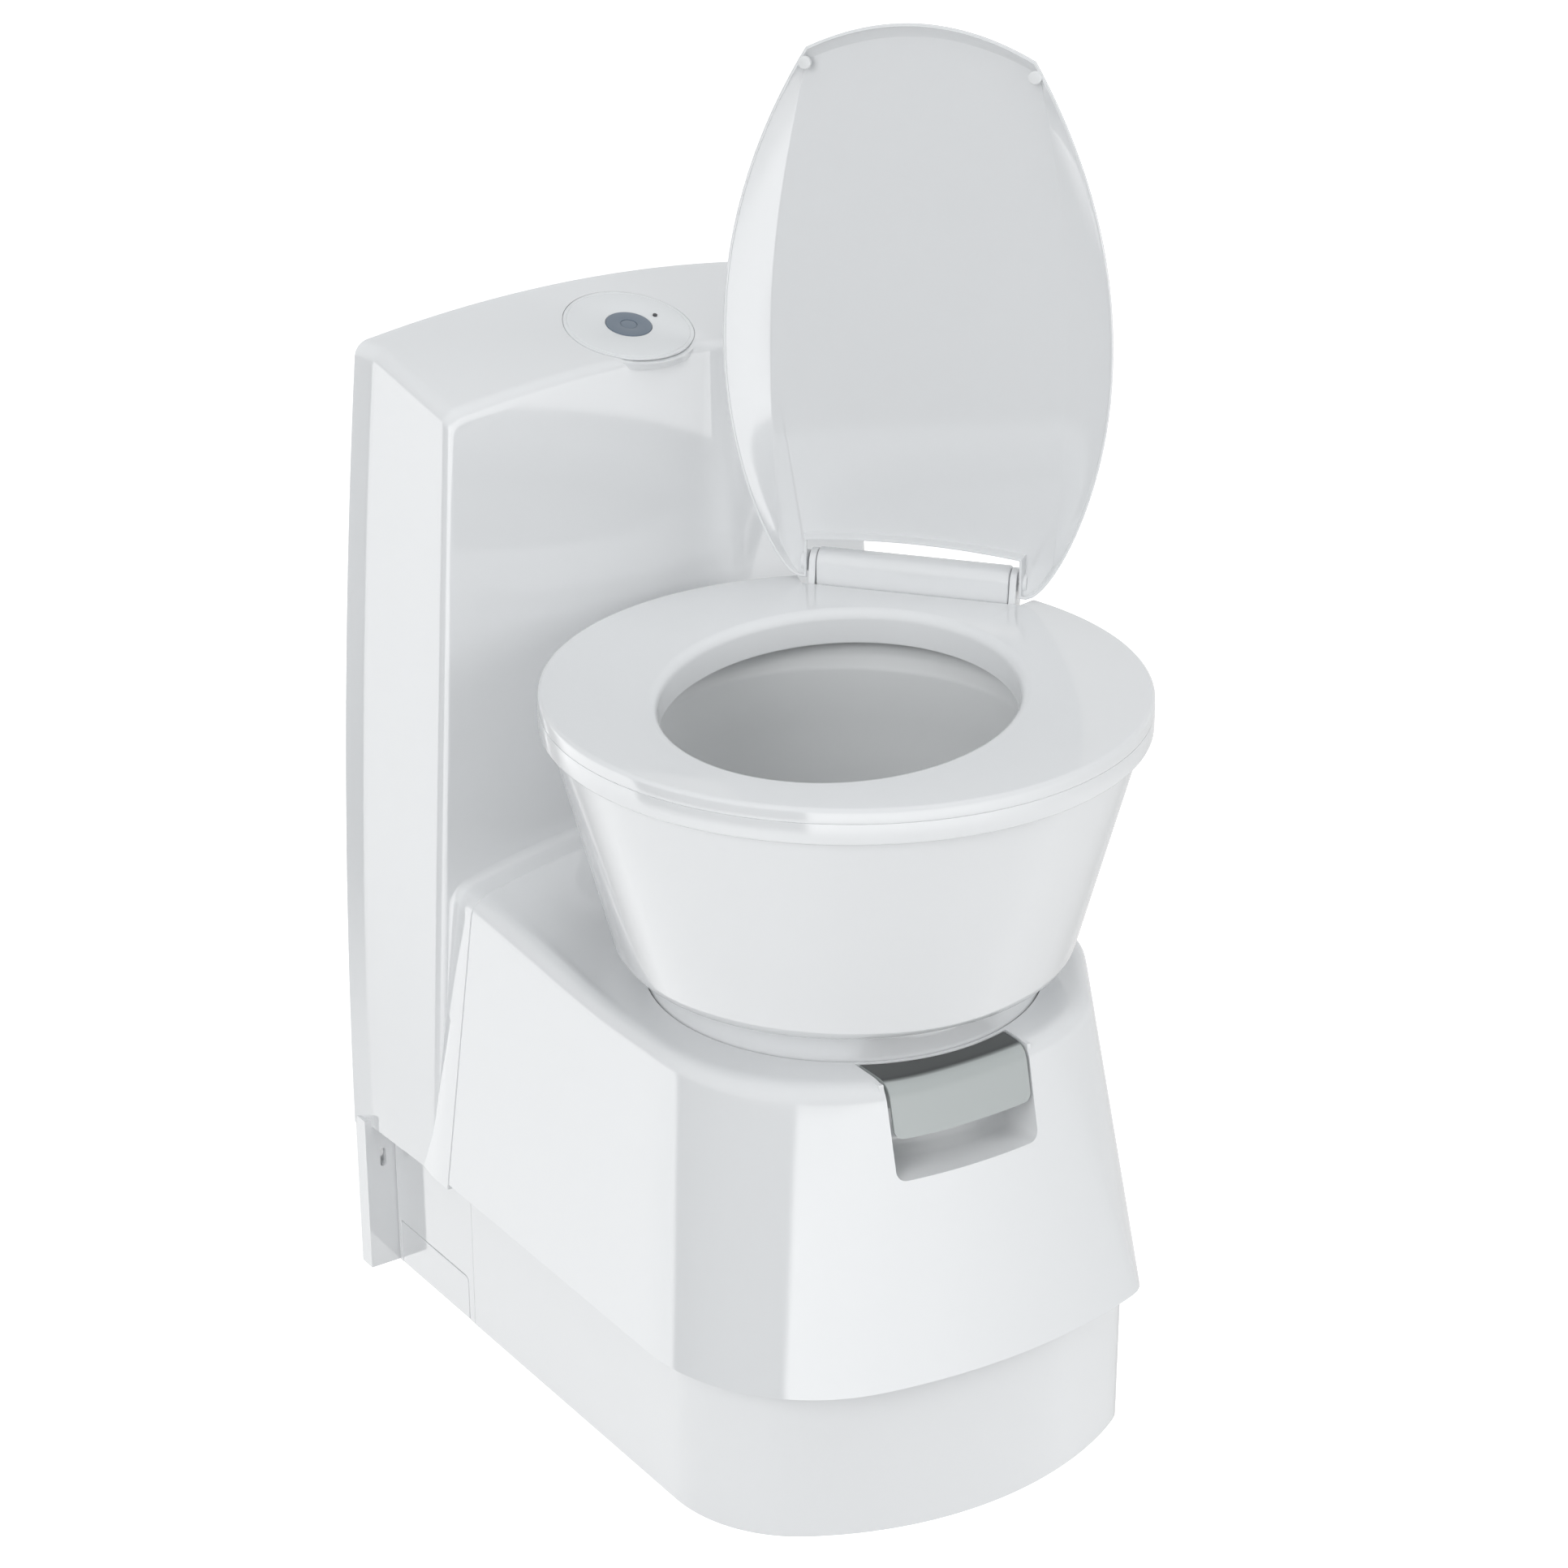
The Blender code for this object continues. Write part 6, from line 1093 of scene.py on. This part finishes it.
def pocket_hollow():
    """Grid of the space in the pocket: a floor with rounded side corners that sweeps up into the back."""
    x, floor = rounded_low_edge(POCKET_LEFT_X, POCKET_RIGHT_X, POCKET_FLOOR_Z, POCKET_CORNER, 24)
    rear = arc_y(x, POCKET_REAR_RADIUS)
    over, front = np.full(len(x), DECK_Z + POCKET_OVER), np.full(len(x), POCKET_FRONT_Y)
    rows = [(rear, over), (rear, np.full(len(x), POCKET_BACK_Z))]
    for turn in np.linspace(0, math.pi / 2, 9):
        rows.append((rear - POCKET_FILLET * (1 - math.cos(turn)),
                     floor + POCKET_FILLET * (1 - math.sin(turn))))
    rows += [(front, floor), (front, over)]
    return np.stack([np.stack([x, y, z], axis=1) for y, z in rows], axis=1)


def brick(low, high):
    """A closed box between two corners, for cutting."""
    (left, front, bottom), (right, back, top) = low, high
    rows = np.array([[(left, front, z), (right, front, z), (right, back, z), (left, back, z)]
                     for z in (bottom, top)])
    return closed_mesh("brick", [(rows, STACK)])


ring_inner = RING_RADIUS + RING_PLAY
ring_low, ring_high = BEARING_TOP_Z + RING_PLAY, DECK_Z - RING_TOP_DROP
collar_ring = np.array([(POCKET_REAR_RADIUS, ring_high), (POCKET_REAR_RADIUS, ring_low),
                        (ring_inner, ring_low), (ring_inner, ring_high)])
ring_grid = turn_profile(collar_ring) + np.array([0.0, SWIVEL_Y, 0.0])
hood_mesh = carved(walled("hood", *hood_sheet(), WALL, 0), [
    ("UNION", closed_mesh("ring", [(ring_grid, RING)])),
    ("UNION", closed_mesh("block", [(pocket_block(), STACK)])),
    ("DIFFERENCE", closed_mesh("hollow", [(pocket_hollow(), STACK)])),
    ("DIFFERENCE", brick((TONGUE_LEFT_X - TONGUE_PLAY, SWIVEL_Y - TONGUE_SLOT_REACH[0],
                          TONGUE_LOW_Z - TONGUE_PLAY),
                         (TONGUE_RIGHT_X + TONGUE_PLAY, SWIVEL_Y - TONGUE_SLOT_REACH[1], BEARING_TOP_Z)))])
finished("hood_shell", [hood_mesh], "base", *WHITE, ["front_hood"], sharp_deg=SHELL_SHARP_DEG)

# Plinth: a set-back skirt under the hood, made in three stretches with thin seams. Its top edge steps in
# behind the hood. Low in each rear stretch a knock-out cover fills the opening for pipes.
PLINTH_TOP_Z = 0.1335
COVER_HIGH = 0.035
COVER_FRONT_Y = 0.108
COVER_REAR_Y = 0.205
STRETCH_REAR_Y = 0.2102
RIM_INSET = 0.0045
SKIRT_HEIGHTS = (0.0, 0.03, 0.06, 0.09, 0.12, PLINTH_TOP_Z)
STRETCH_EDGE = 0.0004
COVER_GAP = 0.0007
COVER_FOOT = 0.0003
OPENING_ROUNDS = (0, 0.004, 0.001, 0)
COVER_ROUNDS = (0, 0.0036, 0.0006, 0)


def plinth_skin():
    """Grid of the front stretch: each column runs up the outside, steps in to the flange and goes down
    inside."""
    out = u_outline(PLINTH_PLAN, 0.0, HOOD_REAR_Y)
    within = u_outline(PLINTH_PLAN, WALL, HOOD_REAR_Y)
    share = (PLINTH_TOP_Z - HOOD_LOW_Z) / (DECK_Z - HOOD_LOW_Z)
    low, high = [u_outline(plan, RIM_INSET, HOOD_REAR_Y) for plan in (HOOD_PLAN, DECK_PLAN)]
    rim = low + (high - low) * share
    top = PLINTH_TOP_Z + WALL
    rows = [(out, z) for z in SKIRT_HEIGHTS]
    rows += [(rim, PLINTH_TOP_Z), (rim, top), (within, top), (within, 0.0)]
    return np.stack([level(line, z) for line, z in rows], axis=1)


def stretch_skin(side, outline):
    """Grid of a rear piece of the skirt: its (y, z) outline on the outside and the inside of the wall."""
    half = PLINTH_PLAN[0] + PLINTH_PLAN[1] * (outline[:, 0] - DRAFT_Y)
    rows = []
    for depth, draw in ((0.0, STRETCH_EDGE), (STRETCH_EDGE, 0.0), (WALL, 0.0)):
        line = offset_ring(outline, draw)
        rows.append(np.stack([side * (half - depth), line[:, 0], line[:, 1]], axis=1))
    return np.stack(rows)


def arch(front, rear, low, high, rounds):
    """A flat-topped arch of (y, z) points with rounded upper corners."""
    return bend_corners([(front, low), (front, high), (rear, high), (rear, low)], rounds)


surface("plinth_skirt", [(plinth_skin(), STACK)], "base", *WHITE, ["front_plinth"])
opening = arch(COVER_FRONT_Y - COVER_GAP, COVER_REAR_Y + COVER_GAP, 0.0, COVER_HIGH + COVER_GAP,
               OPENING_ROUNDS)
stretch = np.concatenate([[(SEAM_Y, 0.0)], opening,
                          [(STRETCH_REAR_Y, 0.0), (STRETCH_REAR_Y, PLINTH_TOP_Z + WALL),
                           (SEAM_Y, PLINTH_TOP_Z + WALL)]])
cover = arch(COVER_FRONT_Y, COVER_REAR_Y, COVER_FOOT, COVER_HIGH, COVER_ROUNDS)
for word, side in (("left", -1), ("right", 1)):
    for shown, outline, hidden in (("skirt_rear", stretch, "plinth_side"),
                                   ("knock_out", cover, "side_cover")):
        surface(f"{shown}_{word}", [(stretch_skin(side, outline), STACK)], "base", *WHITE,
                [f"{hidden}_{word}"])

# Controls: a round white fascia is let into the console's top with a thin dark groove round it. In its
# middle sits the slate-blue flush button with a small engraved ring, and beside it a tiny dark lamp.
DISC_STEPS = 120
CONTROL_SHARP_DEG = 40.0
DISC_PROFILE = [(0.0340, -0.0009), (0.0453, -0.0009), (0.0453, 0.0003), (0.0431, 0.0005), (0.0429, 0.0002),
                (0.0425, 0.0002), (0.0423, 0.0006), (0.0163, 0.0006), (0.0163, -0.0009), (0.0300, -0.0009)]
DISC_ROUNDS = [0, 0.0002, 0.0003, 0.0002, 0.0001, 0.0001, 0.0003, 0.0002, 0.0001, 0]
BUTTON_PROFILE = [(0.0001, 0.0006), (0.0055, 0.0006), (0.0055, 0.0003), (0.0060, 0.0003), (0.0060, 0.0009),
                  (0.0160, 0.0011), (0.0160, -0.0080), (0.0001, -0.0080)]
BUTTON_ROUNDS = [0, 0.0001, 0.0001, 0.0001, 0.0002, 0.0006, 0.0003, 0]


def crowned(profile):
    """Grid of a turned profile on the console's top, dropped by the console's own crown, c x^2."""
    grid = turn_profile(profile, DISC_STEPS)
    grid[..., 2] -= CONSOLE_CROWN * grid[..., 0] ** 2
    return on_console_top(grid)


disc_profile = bend_corners(DISC_PROFILE, DISC_ROUNDS, steps=3)
disc_white = plastic("disc_white", (0.80, 0.815, 0.825), 0.14)
surface("control_fascia", [(crowned(disc_profile), RING)], "base", disc_white, "white_shell",
        ["control_disc"], sharp_deg=CONTROL_SHARP_DEG)

button_profile = bend_corners(BUTTON_PROFILE, BUTTON_ROUNDS, steps=4)
slate = plastic("slate_button", (0.160, 0.200, 0.250), 0.30, grain=0.000004)
button_grid = on_console_top(turn_profile(button_profile, 96))
surface("flush_push", [(np.swapaxes(button_grid, 0, 1), STACK)], "button", slate, "button_plastic",
        ["flush_button"], sharp_deg=CONTROL_SHARP_DEG)

# Valve lever: a hollow grey grip that continues the hood's shape across the pocket: a top plate, a rounded
# front edge and a front plate with round lower corners. Behind it hang a web and the toothed tongue.
LEVER_SIDE_GAP = 0.0025
LEVER_LEFT_X = POCKET_LEFT_X + LEVER_SIDE_GAP
LEVER_RIGHT_X = POCKET_RIGHT_X - LEVER_SIDE_GAP
LEVER_DROP = 0.0004
LEVER_FRONT_SHARES = (0.15, 0.4, 0.7, 1.0)
RACK_TEETH = range(-2, 13)
TONGUE_BEHIND_GRIP = 0.0015
WEB_GAP = 0.0003
WEB_TOP_DROP = 0.0015
LEVER_LOW_Z = 0.284
LEVER_REAR_RADIUS = 0.1375
LEVER_ROUND = 0.0105
LEVER_CORNER = 0.006
LEVER_WALL = 0.003
TOOTH_PITCH = 0.0055
TOOTH_HEIGHT = 0.0030
TOOTH_PLAY = 0.0005
TOOTH_FLANK = math.radians(20)
DRIVE_Y = -0.030
LEVER_TRAVEL = 0.055
STRIP_RIGHT_X = -0.057
TONGUE_REAR_Y = -0.157

lever_grey = plastic("lever_grey", (0.455, 0.485, 0.480), 0.30, ripple=0.000015, grain=0.000005)

# The grip's top is painted darker as painted shade, for the shadow the bowl casts on it: faces that look up
# take the painted shade tone, and it fades in between two upward shares of the face's direction.
LEVER_TOP_PAINTED_SHADE = (0.07, 0.075, 0.075, 1.0)
LEVER_TOP_SHADE_FADE = (0.90, 0.985)
grip_tree = lever_grey.node_tree
grip_shader = grip_tree.nodes["Principled BSDF"]
grip_colour = grip_shader.inputs["Base Color"].links[0].from_socket
grip_way = node(grip_tree, "NewGeometry")
grip_parts = node(grip_tree, "SeparateXYZ")
grip_shade_share = node(grip_tree, "MapRange", {"From Min": LEVER_TOP_SHADE_FADE[0], "From Max": LEVER_TOP_SHADE_FADE[1]})
# Painted shade: this mix puts the dark tone on faces that look up, for the bowl's shadow on the grip's top.
grip_shade_mix = node(grip_tree, "Mix", data_type="RGBA")
lower_tone, painted_shade_tone = [socket for socket in grip_shade_mix.inputs if socket.type == "RGBA"]
tone_with_painted_shade = [socket for socket in grip_shade_mix.outputs if socket.type == "RGBA"][0]
painted_shade_tone.default_value = LEVER_TOP_PAINTED_SHADE
wire(grip_tree,
     (grip_way.outputs["Normal"], grip_parts.inputs[0]),
     (grip_parts.outputs["Z"], grip_shade_share.inputs["Value"]),
     (grip_shade_share.outputs["Result"], grip_shade_mix.inputs[0]),
     (grip_colour, lower_tone),
     (tone_with_painted_shade, grip_shader.inputs["Base Color"]))


def lever_sheet():
    """The grip's outer skin as an open sheet; near its sides the lower edge rises on a quarter circle."""
    x, low = rounded_low_edge(LEVER_LEFT_X, LEVER_RIGHT_X, LEVER_LOW_Z, LEVER_CORNER, 30)
    rear = np.stack([x, arc_y(x, LEVER_REAR_RADIUS), np.full(len(x), DECK_Z - LEVER_DROP)], axis=1)
    edge = np.stack([x, front_y(x, DECK_Z), np.full(len(x), DECK_Z - LEVER_DROP)], axis=1)
    foot = np.stack([x, front_y(x, low), low], axis=1)
    slope = (foot - edge) / np.linalg.norm(foot - edge, axis=1, keepdims=True)
    start = edge + np.array([0.0, LEVER_ROUND, 0.0])
    end = edge + slope * LEVER_ROUND
    rows = [rear, rear + (start - rear) * 0.5]
    rows += [quadratic(start, edge, end, t) for t in np.linspace(0, 1, 11)]
    rows += [end + (foot - end) * share for share in LEVER_FRONT_SHARES]
    grid = np.stack(rows)
    return grid.reshape(-1, 3), grid_faces(grid.shape[0], grid.shape[1], False, False).tolist()


def rack_edge():
    """The rack's toothed edge from low to high Y: tooth tips at pitch distance with sloping flanks."""
    root = TONGUE_LEFT_X + TOOTH_HEIGHT / 2 + TOOTH_PLAY / 2
    tip = TONGUE_LEFT_X - TOOTH_HEIGHT / 2 + TOOTH_PLAY / 2
    half = TOOTH_PITCH / 4 - TOOTH_PLAY / 2
    slope = TOOTH_HEIGHT / 2 * math.tan(TOOTH_FLANK)
    points = []
    for tooth in RACK_TEETH:
        y = DRIVE_Y + tooth * TOOTH_PITCH
        points += [(root, y - half - slope), (tip, y - half + slope),
                   (tip, y + half - slope), (root, y + half + slope)]
    return np.array(points)


def arc_points(x, radius):
    """Plan points on a circle round the swivel's axis, in front of it."""
    return np.stack([x, arc_y(x, radius)], axis=1)


def upright(outline, low, high):
    """Sheets for a plan outline carried from one height to another."""
    return [(np.stack([level(outline, z) for z in (low, high)]), STACK)]


rear_end = DRIVE_Y + LEVER_TRAVEL + 3 * TOOTH_PITCH
rack = rack_edge()
plate_x = np.linspace(rack[0, 0], TONGUE_RIGHT_X, 24)
tongue = np.concatenate([arc_points(plate_x, LEVER_REAR_RADIUS + TONGUE_BEHIND_GRIP),
                         [(TONGUE_RIGHT_X, TONGUE_REAR_Y), (STRIP_RIGHT_X, TONGUE_REAR_Y),
                          (STRIP_RIGHT_X, rear_end), (rack[0, 0], rear_end)], rack[::-1]])
web_x = np.linspace(LEVER_LEFT_X + LEVER_WALL, TONGUE_RIGHT_X, 24)
web = np.concatenate([arc_points(web_x, LEVER_REAR_RADIUS + WEB_GAP),
                      arc_points(web_x, LEVER_REAR_RADIUS + LEVER_WALL)[::-1]])
finished("lever_grip", [walled("grip", *lever_sheet(), LEVER_WALL, 0),
                        closed_mesh("tongue", upright(tongue, TONGUE_LOW_Z, TONGUE_TOP_Z)),
                        closed_mesh("web", upright(web, TONGUE_LOW_Z + WEB_GAP, DECK_Z - WEB_TOP_DROP))],
         "lever", lever_grey, "lever_plastic", ["valve_lever"], sharp_deg=SHELL_SHARP_DEG)

# Inner pieces: what the covers hide keeps the CAD's own shape and gets its real finish: white and grey
# injection-moulded parts, the blue-grey waste tank, rubber seals, turned steel pins and the steel blade.
BRUSH_SCALE = 900.0
BRUSH_DETAIL = 3.0
BRUSH_DEPTH = 0.000006
STEEL_SPREAD = 0.25
RUBBER_LOOK = {"roughness": 0.62, "ripple": 0.00001, "speck": 0.05, "grain": 0.000012}


def rubber(name, colour):
    """Soft rubber: matt, with a fine grain and a faintly dusty colour."""
    return plastic(name, colour, **RUBBER_LOOK)


def steel(name, colour, roughness, brushed):
    """Steel with a fine grain drawn out along one direction, and uneven gloss."""
    made = bpy.data.materials.new(name)
    made.use_nodes = True
    tree = made.node_tree
    shader = tree.nodes["Principled BSDF"]
    shader.inputs["Metallic"].default_value = 1.0
    shader.inputs["Base Color"].default_value = (*colour, 1.0)
    place = node(tree, "TexCoord")
    draw_out = node(tree, "Mapping", {"Scale": brushed})
    lines = node(tree, "TexNoise", {"Scale": BRUSH_SCALE, "Detail": BRUSH_DETAIL})
    gloss = node(tree, "MapRange", {"To Min": roughness * (1 - STEEL_SPREAD),
                                    "To Max": roughness * (1 + STEEL_SPREAD)})
    raised = node(tree, "Bump", {"Distance": BRUSH_DEPTH})
    wire(tree,
         (place.outputs["Object"], draw_out.inputs["Vector"]),
         (draw_out.outputs["Vector"], lines.inputs["Vector"]),
         (lines.outputs["Fac"], gloss.inputs["Value"]),
         (gloss.outputs["Result"], shader.inputs["Roughness"]),
         (lines.outputs["Fac"], raised.inputs["Height"]),
         (raised.outputs["Normal"], shader.inputs["Normal"]))
    return made


def dress(finish, *names):
    """Give CAD nodes a finish in every material slot they have."""
    for name in names:
        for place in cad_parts[name].material_slots:
            place.material = finish


inner_white = plastic("inner_white", (0.66, 0.67, 0.68), 0.42, grain=0.000006)
dress(inner_white, "swivel_bearing", "lever_guide", "flush_valve", "drive_pinion", "valve_opener",
      "valve_housing")

# The tray keeps the solid's shape but for its front right corner, which follows the flattened plinth.
TRAY_PLAY = 0.0008
work = bmesh.new()
work.from_mesh(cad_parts["floor_tray"].data)
bmesh.ops.remove_doubles(work, verts=work.verts, dist=WELD)
reach_point = (*(CORNER_WAY * (PLINTH_PLAN[5] - WALL - TRAY_PLAY)), 0.0)
parted = bmesh.ops.bisect_plane(work, geom=work.verts[:] + work.edges[:] + work.faces[:],
                                plane_co=reach_point, plane_no=(*CORNER_WAY, 0.0), clear_outer=True)
cut_edges = [part for part in parted["geom_cut"] if isinstance(part, bmesh.types.BMEdge)]
bmesh.ops.edgeloop_fill(work, edges=cut_edges)
tray = bpy.data.meshes.new("tray_plate")
work.to_mesh(tray)
work.free()
finished("tray_plate", [tray], "base", inner_white, "inner_plastic", ["floor_tray"])
dark_moulding = plastic("dark_moulding", (0.045, 0.047, 0.052), 0.38, grain=0.000008)
wheel_black = rubber("wheel_black", (0.035, 0.035, 0.037))
pin_steel = steel("pin_steel", (0.62, 0.62, 0.63), 0.22, (1.0, 14.0, 14.0))
dress(plastic("tank_grey", (0.30, 0.33, 0.36), 0.45, ripple=0.00003, grain=0.000010), "cassette_tank")
dress(dark_moulding, "status_lamp", "control_unit", "pull_handle", "pour_spout", "spout_cap",
      "vent_button")
dress(rubber("seal_black", (0.030, 0.030, 0.032)), "mouth_seal")
dress(wheel_black, "wheel_left", "wheel_right")
dress(rubber("hose_grey", (0.28, 0.29, 0.30)), "flush_hose")
dress(pin_steel, "hinge_pin", "wheel_axle_left", "wheel_axle_right", "pinion_clip", "inlet_pipe")
dress(steel("blade_steel", (0.60, 0.61, 0.62), 0.28, (14.0, 1.0, 14.0)), "valve_blade")
